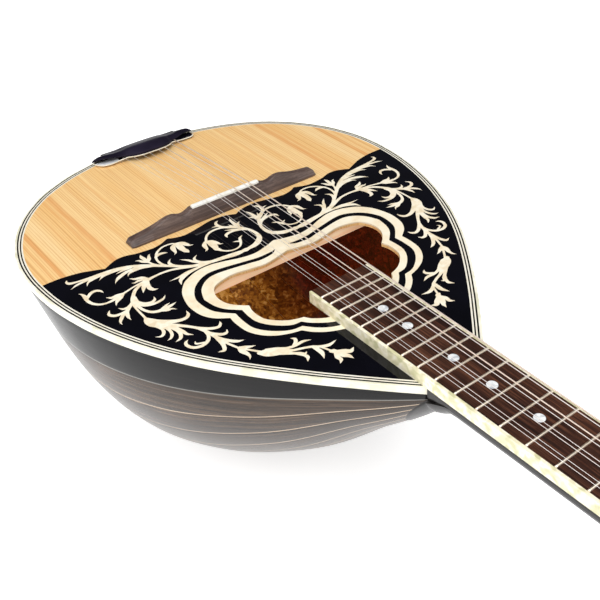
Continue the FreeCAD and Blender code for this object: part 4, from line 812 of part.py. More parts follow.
# Vine inlay on the +X side.
VINE_TREBLE = [
    (132.238, 13.557), (132.555, 14.023), (132.772, 15.156), (132.536, 16.31),
    (131.814, 17.424), (131.271, 17.882), (129.981, 18.484), (122.383, 19.73),
    (125.114, 19.952), (127.188, 20.306), (129.171, 20.959), (133.223, 23.554),
    (128.709, 22.378), (125.913, 21.982), (119.384, 21.615), (120.585, 22.238),
    (121.417, 22.986), (122.338, 24.309), (123.386, 27.157), (121.556, 24.908),
    (120.459, 24.111), (119.334, 23.719), (116.004, 23.074), (110.947, 22.685),
    (111.994, 23.495), (114.411, 26.258), (111.251, 24.654), (109.731, 24.186),
    (107.966, 23.996), (104.777, 24.032), (100.97, 24.35), (96.838, 25.003),
    (98.615, 25.208), (102.835, 26.747), (97.578, 26.738), (91.07, 27.234),
    (90.42, 27.002), (89.547, 27.596), (93.512, 27.476), (96.245, 27.656),
    (100.061, 28.692), (102.205, 29.611), (103.846, 30.542), (104.947, 31.553),
    (106.424, 33.497), (108.011, 36.058), (104.646, 33.704), (97.962, 30.984),
    (95.751, 30.343), (94.441, 30.156), (96.339, 31.536), (97, 32.45), (97.657, 34.313),
    (96.343, 32.915), (95.655, 32.461), (94.753, 32.15), (93.104, 31.92),
    (88.494, 31.965), (86.356, 32.327), (83.937, 33.152), (79.335, 35.156),
    (73.873, 39.934), (66.491, 46.713), (70.517, 45.379), (72.976, 44.777),
    (75.437, 44.381), (78.957, 44.061), (88.241, 44.375), (88.217, 44.088),
    (89.538, 41.366), (90.666, 40.155), (91.457, 39.723), (94.847, 38.848),
    (95.731, 38.42), (97.82, 36.994), (98.119, 37.168), (96.959, 39.625),
    (95.954, 40.753), (95.22, 41.18), (92.482, 42.052), (92.091, 42.42),
    (94.465, 41.806), (95.246, 41.831), (97.342, 42.736), (97.981, 42.745),
    (99.618, 42.344), (98.368, 43.612), (97.444, 44.061), (95.101, 43.939),
    (92.319, 44.779), (92.353, 44.919), (98.134, 45.747), (108.798, 48.068),
    (111.428, 47.262), (112.765, 47.023), (116.206, 47.278), (117.009, 47.07),
    (119.423, 45.753), (119.549, 45.89), (118.207, 48.449), (117.696, 49.041),
    (116.255, 49.858), (119.368, 50.462), (120.909, 50.522), (122.429, 50.285),
    (123.846, 49.823), (125.075, 49.137), (126.185, 48.145), (127.181, 46.883),
    (127.952, 45.53), (128.472, 44.085), (128.91, 40.971), (128.707, 39.613),
    (128.131, 39.363), (125.378, 37.071), (124.281, 36.371), (123.309, 36.057),
    (122.355, 35.964), (121.235, 36.147), (120.578, 36.572), (119.385, 37.802),
    (118.268, 40.058), (118.129, 40.053), (117.943, 37.854), (118.169, 36.692),
    (118.757, 35.631), (119.644, 34.662), (120.855, 33.954), (122.224, 33.659),
    (123.737, 33.722), (125.321, 34.23), (126.098, 34.7), (127.952, 36.352),
    (128.589, 33.96), (129.375, 32.508), (131.056, 30.823), (131.185, 30.874),
    (130.512, 33.437), (131.302, 40.091), (131.046, 42.863), (130.58, 44.716),
    (129.847, 46.471), (128.826, 48.059), (127.562, 49.493), (126.123, 50.664),
    (124.522, 51.474), (122.822, 51.975), (119.272, 52.412), (116.027, 52.323),
    (116.823, 53.283), (118.055, 55.896), (118.384, 57.657), (116.964, 56.052),
    (115.657, 55.063), (111.68, 53.043), (110.6, 52.242), (108.495, 49.86),
    (103.857, 48.409), (99.876, 47.473), (97.563, 47.212), (100.994, 49.031),
    (102.445, 50.148), (103.746, 51.432), (108.014, 56.877), (109.067, 58.772),
    (109.602, 60.156), (111.501, 61.723), (113.675, 62.816), (115.494, 62.931),
    (116.396, 62.697), (118.409, 60.746), (118.63, 60.777), (117.923, 63.323),
    (117.07, 64.397), (115.713, 64.933), (116.228, 65.421), (118.61, 65.83),
    (119.991, 65.898), (122.628, 65.437), (123.527, 65.018), (124.238, 64.368),
    (124.8, 63.54), (125.123, 62.529), (123.882, 59.21), (124.016, 59.082),
    (126.367, 61.252), (126.84, 61.932), (127.111, 62.742), (127.105, 63.605),
    (126.895, 64.416), (126.065, 65.855), (124.87, 66.983), (124.146, 67.393),
    (122.531, 67.891), (120.489, 68.189), (122.012, 69.499), (123.071, 70.724),
    (124.374, 72.689), (124.856, 74.456), (124.798, 75.425), (124.34, 77.243),
    (123.892, 75.066), (123.561, 74.482), (119.281, 70.248), (118.618, 69.818),
    (118.95, 72.232), (118.678, 74.219), (117.966, 76.548), (117.438, 73.829),
    (116.553, 71.916), (115.651, 69.289), (115.08, 68.183), (114.22, 67.212),
    (110.532, 63.889), (110.843, 67.116), (111.223, 79.916), (112.69, 82.457),
    (113.154, 83.879), (113.279, 85.317), (113.14, 86.902), (112.679, 88.606),
    (112.294, 89.446), (110.18, 92.306), (109.213, 94.739), (108.911, 96.083),
    (108.992, 97.316), (109.333, 98.483), (110.05, 99.816), (110.698, 100.498),
    (111.599, 101.058), (112.336, 101.043), (114.797, 100.111), (114.887, 100.217),
    (112.915, 102.159), (112.308, 102.541), (111.598, 102.736), (110.854, 102.689),
    (109.527, 102.113), (108.008, 100.568), (107.348, 99.235), (106.779, 96.536),
    (106.008, 99.116), (105.992, 100.7), (106.242, 102.267), (106.873, 104.158),
    (107.513, 105.163), (108.602, 106.366), (109.229, 106.837), (111.047, 107.565),
    (108.986, 107.915), (108.393, 107.847), (107.226, 107.299), (106.122, 106.383),
    (105.143, 105.123), (104.231, 102.729), (103.866, 99.36), (102.923, 102.208),
    (102.659, 103.91), (102.632, 105.459), (102.868, 106.858), (103.406, 108.258),
    (104.102, 109.456), (104.787, 110.272), (108.042, 111.941), (104.842, 112.048),
    (103.985, 111.88), (103.158, 111.485), (102.446, 110.89), (101.317, 109.362),
    (100.447, 107.387), (100.154, 109.149), (99.823, 109.918), (98.731, 111.146),
    (96.151, 112.907), (95.985, 112.773), (97.546, 110.154), (97.973, 109.09),
    (98.144, 106.134), (99.522, 100.434), (96.001, 103.946), (94.109, 106.261),
    (92.435, 108.704), (91.55, 110.361), (90.11, 114.276), (90.317, 117.212),
    (90.662, 118.679), (91.312, 120.001), (92.166, 121.166), (93.173, 122.072),
    (94.116, 122.613), (97.755, 121.221), (98.925, 120.529), (98.481, 118.699),
    (98.627, 118.584), (99.937, 119.952), (100.148, 120.446), (100.108, 121.059),
    (99.798, 121.566), (98.874, 122.234), (96.151, 123.299), (96.819, 123.498),
    (98.186, 123.512), (99.651, 123.16), (100.976, 122.549), (101.872, 121.834),
    (102.577, 120.777), (103.278, 118.692), (103.207, 117.871), (102.737, 116.47),
    (101.016, 114.672), (103.268, 114.99), (103.837, 115.242), (104.731, 116.148),
    (105.268, 117.343), (105.453, 118.76), (104.95, 121.017), (104.148, 122.597),
    (102.926, 123.987), (102.164, 124.516), (100.41, 125.328), (98.473, 125.787),
    (97.492, 125.846), (95.503, 125.581), (93.546, 124.915), (91.826, 123.927),
    (91.105, 123.309), (89.92, 121.85), (88.836, 119.871), (88.254, 123.042),
    (88.597, 129.686), (88.949, 131.968), (89.57, 133.906), (90.528, 135.597),
    (93.654, 135.424), (91.275, 137.117), (90.513, 137.383), (89.622, 137.34),
    (88.83, 136.941), (88.21, 136.356), (87.313, 134.926), (86.146, 131.619),
    (83.151, 139.979), (83.96, 142.136), (84.093, 143.615), (83.675, 145.193),
    (82.439, 148.041), (82.222, 149.363), (82.248, 150.516), (83.058, 152.609),
    (81.099, 151.103), (80.364, 149.629), (80.034, 147.228), (80.265, 144.16),
    (75.988, 149.901), (76.51, 150.167), (76.911, 150.674), (77.053, 151.305),
    (76.907, 151.935), (76.512, 152.43), (75.464, 154.785), (74.577, 155.964),
    (73.317, 157.045), (71.799, 158.051), (69.249, 159.369), (67.752, 159.939),
    (60.646, 165.298), (58.097, 168.971), (57.625, 170.064), (57.471, 171.566),
    (58.688, 174.787), (58.593, 174.889), (56.057, 173.097), (55.513, 172.502),
    (55.144, 171.775), (55.029, 170.989), (55.143, 170.267), (55.645, 169.264),
    (54.683, 168.867), (53.819, 167.436), (53.883, 167.313), (55.281, 167.767),
    (56.69, 165.745), (61.198, 162.134), (54.845, 164.321), (51.86, 165.596),
    (49.509, 166.799), (49.219, 172.959), (49.269, 174.687), (49.994, 178.959),
    (47.53, 176.279), (46.582, 174.758), (46.307, 173.953), (46.095, 172.418),
    (46.435, 169.385), (45.682, 169.976), (43.572, 175.252), (44.135, 175.947),
    (44.176, 176.474), (43.984, 176.967), (42.811, 178.468), (44.217, 180.773),
    (44.737, 182.182), (44.787, 182.999), (44.206, 185.215), (45.605, 187.859),
    (43.117, 186.87), (42.516, 186.462), (41.996, 185.844), (41.709, 185.047),
    (41.822, 182.731), (40.948, 184.372), (38.841, 186.374), (36.797, 189.319),
    (36.261, 186.667), (36.363, 185.22), (37.231, 183.101), (35.953, 184.096),
    (35.142, 184.486), (34.161, 184.645), (33.208, 184.432), (32.487, 183.973),
    (30.601, 181.766), (30.613, 181.618), (33.351, 181.977), (33.708, 181.903),
    (35.322, 180.12), (36.661, 179.197), (39.605, 177.681), (39.806, 176.926),
    (40.319, 176.056), (40.723, 175.709), (41.991, 175.313), (43.566, 171.473),
    (42.1, 172.002), (40.504, 172.313), (39.608, 172.301), (37.709, 171.842),
    (33.957, 170.16), (38.852, 170.182), (40.214, 169.977), (41.869, 169.458),
    (43.637, 168.653), (45.691, 167.39), (47.501, 165.82), (49.166, 164.876),
    (53.163, 163.085), (57.944, 161.288), (60.596, 159.278), (56.085, 160.21),
    (50.148, 160.003), (48.56, 160.194), (45.078, 160.955), (48.014, 158.76),
    (49.858, 157.996), (50.932, 157.862), (53.213, 157.922), (52.18, 156.863),
    (51.526, 155.803), (51.226, 154.604), (51.299, 153.941), (51.607, 153.329),
    (52.059, 152.904), (53.964, 151.987), (54.102, 152.039), (53.235, 154.13),
    (54.203, 155.844), (57.195, 157.986), (59.984, 157.194), (61.461, 156.421),
    (64.449, 154.024), (66.148, 152.912), (70.343, 150.704), (70.972, 150.547),
    (71.729, 150.767), (73.519, 150.409), (74.698, 149.052), (78.844, 143.374),
    (77.543, 143.924), (75.591, 144.374), (73.143, 144.384), (75.508, 142.908),
    (78.114, 140.813), (81.473, 139.084), (81.859, 139.023), (83.8, 133.252),
    (84.186, 131.245), (82.452, 133.416), (81.363, 134.449), (80.171, 135.257),
    (78.797, 135.812), (75.273, 136.052), (78.055, 134.182), (80.565, 131.723),
    (82.551, 129.238), (84.013, 127.01), (85.654, 123.14), (85.643, 122.547),
    (84.273, 123.873), (82.92, 124.649), (81.509, 124.969), (80.151, 124.823),
    (79.517, 124.543), (78.985, 124.077), (78.635, 123.508), (77.911, 121.207),
    (78.012, 121.112), (79.716, 122.653), (80.282, 122.858), (82.006, 122.488),
    (83.77, 121.095), (85.775, 118.745), (86.838, 117.133), (87.61, 114.003),
    (85.686, 115.526), (84.047, 116.443), (82.391, 117.036), (80.752, 117.201),
    (79.94, 117.032), (78.631, 116.258), (77.438, 114.814), (77.086, 113.737),
    (77.231, 111.736), (78.251, 113.306), (79.856, 114.653), (80.54, 114.975),
    (81.241, 114.938), (82.345, 114.565), (84.314, 113.474), (85.744, 112.403),
    (88.775, 109.569), (90.932, 107.006), (94.262, 102.498), (96.833, 99.338),
    (100.612, 95.087), (98.564, 96.095), (96.482, 96.872), (94.446, 97.302),
    (92.496, 97.401), (90.741, 97.161), (89.948, 96.888), (88.611, 96.046),
    (88.087, 95.518), (87.322, 94.307), (87.098, 93.586), (87.041, 92.103),
    (87.215, 89.973), (87.346, 89.924), (88.501, 92.473), (89.078, 93.294),
    (90.076, 94.29), (90.816, 94.726), (91.806, 94.881), (93.196, 94.783),
    (94.75, 94.413), (96.295, 93.758), (97.966, 92.746), (100.519, 90.853),
    (103.007, 88.703), (105.278, 86.386), (109.433, 80.746), (109.567, 79.925),
    (109.594, 72.023), (109.416, 68.366), (109.111, 66.758), (108.958, 69.187),
    (108.62, 71.283), (108.076, 73.238), (107.319, 75.091), (106.379, 76.766),
    (105.273, 78.162), (103.995, 79.256), (102.573, 80.08), (100.956, 80.696),
    (99.477, 81.011), (97.282, 82.479), (96.055, 83.099), (94.795, 83.293),
    (93.63, 83.138), (93.006, 83.31), (91.006, 84.971), (90.93, 84.89),
    (91.937, 82.928), (92.656, 82.034), (94.47, 81.1), (91.836, 80.49),
    (90.321, 79.902), (87.451, 78.349), (94.104, 78.156), (90.929, 76.303),
    (93.35, 76.322), (94.6, 76.518), (98.706, 78.17), (100.376, 78.109),
    (101.592, 77.796), (102.704, 77.282), (103.692, 76.561), (104.598, 75.541),
    (105.443, 74.161), (106.148, 72.558), (106.645, 70.857), (106.989, 67.84),
    (105.733, 69.274), (104.94, 69.91), (103.18, 70.934), (101.327, 71.652),
    (99.332, 72.035), (97.318, 72.116), (94.741, 71.908), (93.296, 71.563),
    (92.026, 71.017), (90.906, 70.222), (89.042, 67.559), (92.158, 69.341),
    (94.352, 69.885), (96.453, 70.004), (98.779, 69.821), (97.644, 69.432),
    (96.483, 68.643), (95.698, 67.527), (95.541, 66.881), (95.513, 64.482),
    (95.637, 64.419), (96.827, 66.384), (97.373, 66.865), (98.493, 67.38),
    (99.305, 67.536), (100.16, 67.415), (101.352, 66.988), (102.497, 66.338),
    (103.372, 65.517), (104.201, 64.332), (104.81, 62.976), (105.022, 61.665),
    (104.153, 57.165), (104.557, 56.651), (103.101, 54.337), (101.99, 53.054),
    (100.265, 51.436), (97.641, 49.732), (95.62, 48.957), (96.712, 50.526),
    (97.602, 52.357), (98.845, 56.738), (94.178, 52.161), (94.542, 54.177),
    (94.383, 55.659), (93.89, 57.055), (92.959, 58.246), (92.29, 58.658),
    (91.583, 58.867), (88.933, 58.877), (90.713, 57.189), (91.044, 56.554),
    (91.445, 54.64), (91.363, 53.318), (90.512, 50.25), (89.336, 47.387),
    (85.763, 46.476), (83.027, 46.088), (80.073, 45.913), (76.838, 46.106),
    (74.532, 46.428), (72.258, 46.953), (70.041, 47.756), (56.159, 54.226),
    (62.81, 53.929), (65.616, 53.993), (66.933, 54.171), (71.49, 55.344),
    (73.722, 55.727), (79.844, 56.34), (73.677, 57.213), (72.052, 57.303),
    (73.522, 58.504), (74.524, 59.665), (75.002, 60.851), (75.59, 64.958),
    (72.942, 61.404), (71.842, 60.616), (69.163, 59.159), (66.796, 58.152),
    (63.966, 57.227), (61.551, 56.76), (57.139, 56.276), (54.007, 56.126),
    (47.985, 56.332), (37.789, 58.158), (32.371, 59.535), (30.35, 59.864),
    (27.666, 60.016), (25.397, 59.904), (23.329, 59.418), (21.267, 59.964),
    (20.193, 59.892), (18.112, 59.131), (15.769, 59.276), (13.399, 59.116),
    (11.623, 58.794), (9.903, 58.182), (8.34, 57.343), (6.913, 56.33), (4.513, 53.922),
    (3.514, 52.432), (2.793, 50.766), (2.394, 49.035), (2.193, 46.397), (2.326, 43.599),
    (3.048, 39.793), (3.995, 36.992), (5.602, 33.641), (7.266, 31.127), (5.803, 27.627),
    (3.656, 24.761), (6.949, 25.88), (7.283, 21.281), (7.235, 19.266), (6.915, 16.531),
    (8.728, 19.422), (9.241, 21.068), (10.133, 27.241), (12.646, 23.164),
    (12.263, 25.964), (15.476, 23.949), (16.935, 21.769), (17.635, 19.392),
    (17.692, 17.96), (17.512, 17.114), (16.857, 15.762), (14.894, 14.504),
    (14.875, 14.319), (17.067, 14.338), (17.635, 14.493), (18.645, 15.197),
    (19.427, 16.216), (19.96, 17.508), (20.081, 19.423), (20.917, 19.246),
    (23.833, 19.251), (20.873, 20.603), (19.646, 21.463), (19.236, 22.472),
    (22.972, 22.06), (25.07, 22.165), (27.176, 22.53), (29.147, 23.177),
    (30.91, 24.157), (32.466, 25.387), (33.83, 26.736), (34.985, 28.248),
    (36.728, 31.18), (37.317, 31.226), (39.815, 32.876), (40.853, 34.061),
    (41.195, 34.815), (41.512, 36.316), (41.669, 38.625), (41.584, 40.335),
    (41.887, 40.827), (43.288, 41.986), (43.195, 42.089), (41.36, 41.754),
    (40.417, 41.273), (39.51, 39.976), (37.948, 35.541), (36.934, 33.711),
    (37.292, 37.184), (37.216, 41.534), (37.484, 43.633), (37.43, 44.385),
    (36.905, 45.649), (35.828, 46.797), (34.811, 48.527), (32.3, 51.324),
    (30.975, 52.249), (29.428, 52.927), (27.724, 53.405), (26.016, 53.606),
    (24.33, 53.455), (22.701, 53.027), (21.265, 52.421), (20.085, 51.605),
    (19.154, 50.64), (17.581, 48.589), (16.351, 46.468), (15.309, 43.95),
    (14.834, 43.241), (12.532, 41.321), (12.594, 41.229), (15.083, 41.794),
    (16.295, 42.41), (16.792, 42.89), (18.288, 45.514), (19.228, 44.9),
    (20.246, 44.553), (22.458, 44.208), (18.899, 47.048), (19.374, 48.264),
    (21.047, 50.527), (21.933, 51.177), (23.149, 51.705), (24.572, 52.077),
    (25.982, 52.194), (27.43, 52.01), (28.926, 51.569), (30.223, 50.952),
    (31.254, 50.159), (32.14, 49.162), (32.824, 48.095), (33.171, 47.075),
    (33.56, 44.652), (33.873, 44.169), (33.327, 43.28), (32.102, 39.501),
    (31.308, 40.665), (30.399, 41.306), (28.181, 41.487), (28.12, 41.362),
    (29.6, 40.569), (29.912, 40.159), (29.862, 38.686), (30.08, 37.39),
    (30.805, 35.216), (31.61, 33.655), (32.168, 32.961), (33.552, 32.023),
    (34.794, 31.602), (33.517, 29.171), (32.571, 27.866), (31.343, 26.666),
    (29.951, 25.614), (28.454, 24.824), (26.759, 24.292), (24.886, 23.991),
    (23.03, 23.94), (21.23, 24.164), (19.432, 24.639), (17.09, 25.602),
    (14.243, 28.349), (10.823, 30.897), (10.572, 30.909), (10.059, 31.518),
    (10.034, 32.232), (13.101, 30.336), (18.837, 28.054), (17.257, 29.606),
    (14.777, 31.609), (16.857, 31.423), (18.401, 31.527), (19.805, 31.885),
    (21.066, 32.514), (22.057, 33.507), (22.353, 34.176), (22.407, 35.487),
    (22.111, 37.299), (21.928, 37.33), (20.572, 35.051), (19.386, 34.338),
    (17.448, 33.794), (14.727, 33.83), (12.535, 34.269), (9.699, 35.381),
    (8.506, 36.226), (6.101, 38.448), (5.194, 41.262), (4.952, 42.937), (5.006, 46.201),
    (5.729, 48.916), (6.289, 49.986), (7.003, 50.899), (10, 53.396), (12.261, 54.677),
    (14.149, 55.359), (18.855, 56.517), (20.733, 56.036), (21.807, 56.108),
    (23.357, 56.608), (26.581, 55.903), (37.21, 54.442), (43.53, 53.892),
    (46.351, 53.417), (49.425, 51.692), (50.668, 50.776), (51.593, 49.725),
    (52.297, 48.586), (52.731, 47.529), (52.91, 46.537), (52.866, 45.561),
    (52.626, 44.701), (51.996, 43.857), (49.672, 41.848), (52.664, 42.82),
    (53.973, 43.703), (54.741, 45.033), (55.055, 45.992), (56.46, 43.422),
    (57.052, 42.654), (58.495, 41.324), (61.699, 39.041), (58.548, 43.746),
    (56.736, 47.555), (53.925, 51.391), (58.178, 49.934), (63.238, 46.397),
    (65.868, 43.651), (66.929, 42.302), (67.54, 41.083), (67.911, 39.863),
    (68.124, 38.181), (67.959, 37.573), (67.12, 36.095), (65.791, 34.442),
    (68.186, 35.647), (69.322, 36.622), (69.971, 37.518), (70.195, 38.122),
    (70.31, 39.719), (71.293, 38.875), (72.197, 36.862), (72.639, 35.259),
    (72.958, 31.891), (72.809, 30.294), (72.453, 28.772), (71.6, 26.677),
    (69.759, 26.034), (68.919, 25.926), (65.77, 26.182), (63.43, 26.79),
    (64.888, 24.78), (65.936, 23.961), (67.846, 23.459), (69.392, 23.449),
    (67.111, 21.303), (64.221, 19.596), (62.819, 19.135), (61.392, 18.89),
    (58.654, 18.86), (56.299, 19.44), (55.352, 20.152), (57.718, 21.175),
    (58.465, 21.699), (59.132, 22.444), (59.589, 23.342), (59.964, 25.157),
    (60.056, 27.934), (59.864, 29.958), (59.959, 30.243), (61.358, 31.789),
    (59.148, 31.001), (58.737, 30.649), (58.138, 29.74), (55.912, 24.05),
    (55.412, 23.49), (55.821, 26.065), (55.786, 27.409), (55.37, 30.42),
    (54.762, 32.947), (54.434, 33.676), (52.496, 35.691), (51.922, 35.7),
    (51.69, 35.52), (50.902, 33.588), (50.768, 32.719), (51.386, 30.399),
    (51.39, 29.494), (51.029, 27.537), (51.042, 25.299), (49.879, 26.984),
    (48.331, 28.831), (47.818, 29.159), (46.691, 29.425), (44.538, 29.266),
    (46.353, 28.311), (46.777, 27.853), (46.724, 26.703), (47.197, 24.495),
    (47.696, 23.049), (48.755, 21.544), (49.518, 20.978), (51.12, 20.344),
    (53.596, 19.71), (54.558, 18.852), (55.708, 18.157), (57.048, 17.725),
    (60.004, 17.394), (62.333, 17.562), (63.965, 17.922), (65.598, 18.559),
    (67.254, 19.454), (68.843, 20.564), (70.256, 21.864), (71.521, 23.374),
    (72.839, 25.424), (73.398, 25.849), (73.534, 26.153), (73.443, 26.661),
    (74.01, 28.319), (74.377, 30.041), (74.567, 33.691), (74.309, 35.825),
    (75.626, 34.729), (76.931, 32.477), (77.611, 30.971), (78.317, 28.177),
    (76.656, 26.681), (75.836, 25.707), (75.316, 24.603), (74.908, 22.882),
    (73.804, 19.929), (75.653, 21.166), (76.494, 21.923), (78.279, 24.568),
    (78.239, 22.687), (78.961, 19.316), (79.157, 17.192), (79.373, 17.137),
    (80.736, 18.87), (81.189, 19.942), (81.249, 21.091), (80.821, 24.618),
    (82.647, 22.093), (83.64, 21.612), (85.668, 21.32), (84.163, 22.562),
    (83.755, 23.101), (83.541, 24.516), (83.098, 25.647), (82.307, 26.628),
    (80.173, 28.541), (79.923, 28.587), (78.996, 31.666), (83.965, 27.764),
    (87.523, 25.354), (89.898, 23.96), (92.407, 22.721), (97.831, 20.737),
    (100.715, 19.999), (103.745, 19.476), (111.417, 18.718), (117.508, 18.338),
    (124.196, 17.653), (126.332, 17.289), (129.152, 16.361), (130.2, 15.725),
    (130.8, 15.081), (131.136, 14.403), (130.619, 12.264), (130.717, 12.213),
]
# Top layers of the neck block and the tail block.
NECK_BLOCK = [
    (33.276, 206.57), (23.752, 216.525), (7.358, 233.3), (-7.358, 233.3),
    (-22.14, 218.188), (-28.554, 211.535), (-34.831, 204.915), (-39.401, 200),
    (39.401, 200),
]
TAIL_BLOCK = [
    (6.404, -119.808), (9.571, -119.661), (12.675, -119.45), (15.761, -119.185),
    (19.06, -118.838), (22.687, -118.41), (26.474, -117.906), (28.404, -117.615),
    (32.333, -116.934), (36.338, -116.152), (40.557, -115.221), (47.784, -113.43),
    (53.062, -112), (-53.062, -112), (-50.386, -112.745), (-45.244, -114.075),
    (-40.557, -115.221), (-38.408, -115.709), (-34.322, -116.557), (-30.358, -117.289),
    (-28.404, -117.615), (-24.566, -118.17), (-19.06, -118.838), (-15.761, -119.185),
    (-12.675, -119.45), (-9.571, -119.661), (-6.404, -119.808), (0, -119.997),
]

# ------------------------------------------------------------------ placing and keeping pieces
SHIFT = V(0, dim("origin_y"), dim("origin_z"))
TILT = FreeCAD.Rotation(V(1, 0, 0), -dim("head_tilt"))
HEAD_BASE = V(0, dim("head_start"), 0)
HEAD_LOCAL = FreeCAD.Placement(HEAD_BASE, TILT)


def placed(x=0.0, y=0.0, z=0.0):
    return FreeCAD.Placement(V(x, y, z), FreeCAD.Rotation())


def body_place(y=0.0, z=0.0):
    return FreeCAD.Placement(SHIFT + V(0, y, z), FreeCAD.Rotation())


# On the head: x across, y along the head from its root, z up from its tilted top face.
HEAD = FreeCAD.Placement(SHIFT + HEAD_BASE, TILT)
parts = []


def keep(obj, label, place=None):
    obj.Label = label
    obj.Placement = place or body_place()
    parts.append(obj)


def feature(label, shape, place=None):
    obj = doc.addObject("Part::Feature", label)
    obj.Shape = shape
    keep(obj, label, place)


# ------------------------------------------------------------------ outline helpers
MITRE_LIMIT = 5.0


def mirror(points):
    return [(-x, y) for x, y in points]


def both_sides(half):
    """Half outline followed by its mirror image; points on x = 0 are not repeated."""
    return half + [(-x, y) for x, y in reversed(half) if x]


def half_circle(steps):
    angles = [math.radians(180.0 * i / steps) for i in range(steps + 1)]
    return [(math.cos(a), math.sin(a)) for a in angles]


def offset(points, distance, closed=True):
    """Outline moved outward by distance, mitred; very sharp outer corners are blunted."""
    following = points[1:] + points[:1]
    area = sum(a[0] * b[1] - b[0] * a[1] for a, b in zip(points, following))
    turn = 1 if area > 0 else -1
    normals = []
    for a, b in zip(points, following):
        run, rise = b[0] - a[0], b[1] - a[1]
        length = math.hypot(run, rise)
        normals.append((turn * rise / length, -turn * run / length))
    moved = []
    for i, (x, y) in enumerate(points):
        before, after = normals[i - 1], normals[i]
        if not closed and i == 0:
            before = after
        if not closed and i == len(points) - 1:
            after = before
        sum_x, sum_y = before[0] + after[0], before[1] + after[1]
        size = math.hypot(sum_x, sum_y)
        mid_x, mid_y = sum_x / size, sum_y / size
        lean = size / 2.0
        cross = before[0] * after[1] - before[1] * after[0]
        if turn * cross * distance > 0 and lean < 1.0 / MITRE_LIMIT:
            side_x = (before[0] - lean * mid_x) / (1 + lean)
            side_y = (before[1] - lean * mid_y) / (1 + lean)
            for way in (1, -1):
                moved.append((x + distance * (mid_x + way * side_x),
                              y + distance * (mid_y + way * side_y)))
        else:
            moved.append((x + distance * mid_x / lean, y + distance * mid_y / lean))
    return moved


def body_run(points, distance):
    """Offset of an edge that is open at the neck, its ends slid to the body end."""
    run = offset(points, distance, closed=False)
    for end, near in ((0, 1), (-1, -2)):
        x0, y0 = run[near]
        x1, y1 = run[end]
        run[end] = (x0 + (x1 - x0) * (BODY_END - y0) / (y1 - y0), BODY_END)
    return run


# ------------------------------------------------------------------ solid helpers
def polygon(points):
    return Part.makePolygon(points + [points[0]])


def plate(outlines, z0, z1):
    wires = [polygon([V(x, y, z0) for x, y in points]) for points in outlines]
    face = Part.makeFace(wires, "Part::FaceMakerBullseye")
    return face.extrude(V(0, 0, z1 - z0))


def box(x0, x1, y0, y1, z0, z1):
    return Part.makeBox(x1 - x0, y1 - y0, z1 - z0, V(x0, y0, z0))


def rod_x(radius, length, x, y, z):
    return Part.makeCylinder(radius, length, V(x, y, z), V(1, 0, 0))


def rod_y(radius, length, x, y, z):
    return Part.makeCylinder(radius, length, V(x, y, z), V(0, 1, 0))


def rod_z(radius, length, x, y, z):
    return Part.makeCylinder(radius, length, V(x, y, z))


def pchip(table, x):
    """Shape-keeping cubic through a table of (x, value)."""
    xs, ys = zip(*table)
    n = len(xs)
    steps = [xs[i + 1] - xs[i] for i in range(n - 1)]
    rises = [(ys[i + 1] - ys[i]) / steps[i] for i in range(n - 1)]
    slopes = [rises[0]]
    for i in range(1, n - 1):
        if rises[i - 1] * rises[i] <= 0:
            slopes.append(0.0)
        else:
            w1 = 2 * steps[i] + steps[i - 1]
            w2 = steps[i] + 2 * steps[i - 1]
            slopes.append((w1 + w2) / (w1 / rises[i - 1] + w2 / rises[i]))
    slopes.append(rises[-1])
    x = min(max(x, xs[0]), xs[-1])
    i = 0
    while i < n - 2 and x > xs[i + 1]:
        i += 1
    u = (x - xs[i]) / steps[i]
    return ((1 + 2 * u) * (1 - u) ** 2 * ys[i] + u * (1 - u) ** 2 * steps[i] * slopes[i]
            + u * u * (3 - 2 * u) * ys[i + 1] + u * u * (u - 1) * steps[i] * slopes[i + 1])


# ------------------------------------------------------------------ PartDesign helpers
def new_body(label):
    body = doc.addObject("PartDesign::Body", label)
    doc.recompute()
    return body


def new_sketch(body, name, role="XY_Plane", lift=None):
    sketch = body.newObject("Sketcher::SketchObject", name)
    plane = [f for f in body.Origin.OriginFeatures if f.Role == role][0]
    sketch.AttachmentSupport = (plane, [""])
    sketch.MapMode = "FlatFace"
    if lift is not None:
        sketch.AttachmentOffset = placed(z=lift)
    return sketch


def add_loop(sketch, points):
    corners = [V(x, y, 0) for x, y in points]
    count = len(corners)
    for i in range(count):
        sketch.addGeometry(Part.LineSegment(corners[i], corners[(i + 1) % count]), False)
    for i in range(count):
        sketch.addConstraint(Sketcher.Constraint("Coincident", i, 2, (i + 1) % count, 1))


def sketch_poly(body, name, role, points):
    sketch = new_sketch(body, name, role)
    add_loop(sketch, points)
    return sketch


def sketch_rect(body, name, role, x0, x1, y0, y1, exprs=(), lift=None):
    """Rectangle whose sides are dimensioned from the sketch origin."""
    sketch = new_sketch(body, name, role, lift)
    add_loop(sketch, [(x0, y0), (x1, y0), (x1, y1), (x0, y1)])
    for kind, edge in (("Horizontal", 0), ("Horizontal", 2), ("Vertical", 1), ("Vertical", 3)):
        sketch.addConstraint(Sketcher.Constraint(kind, edge))
    sides = (("DistanceX", 0, 1, x0), ("DistanceX", 1, 1, x1),
             ("DistanceY", 0, 1, y0), ("DistanceY", 2, 2, y1))
    ids = [sketch.addConstraint(Sketcher.Constraint(kind, -1, 1, edge, end, value))
           for kind, edge, end, value in sides]
    for i, expr in zip(ids, exprs):
        sketch.setExpression("Constraints[%d]" % i, expr)
    return sketch


def sketch_holes(body, name, holes):
    """Circles given as (x, y, radius)."""
    sketch = new_sketch(body, name)
    for x, y, radius in holes:
        sketch.addGeometry(Part.Circle(V(x, y, 0), V(0, 0, 1), radius), False)
    return sketch


def pad(body, name, sketch, length_expr, midplane=False):
    padding = body.newObject("PartDesign::Pad", name)
    padding.Profile = sketch
    padding.Midplane = midplane
    padding.setExpression("Length", length_expr)
    doc.recompute()


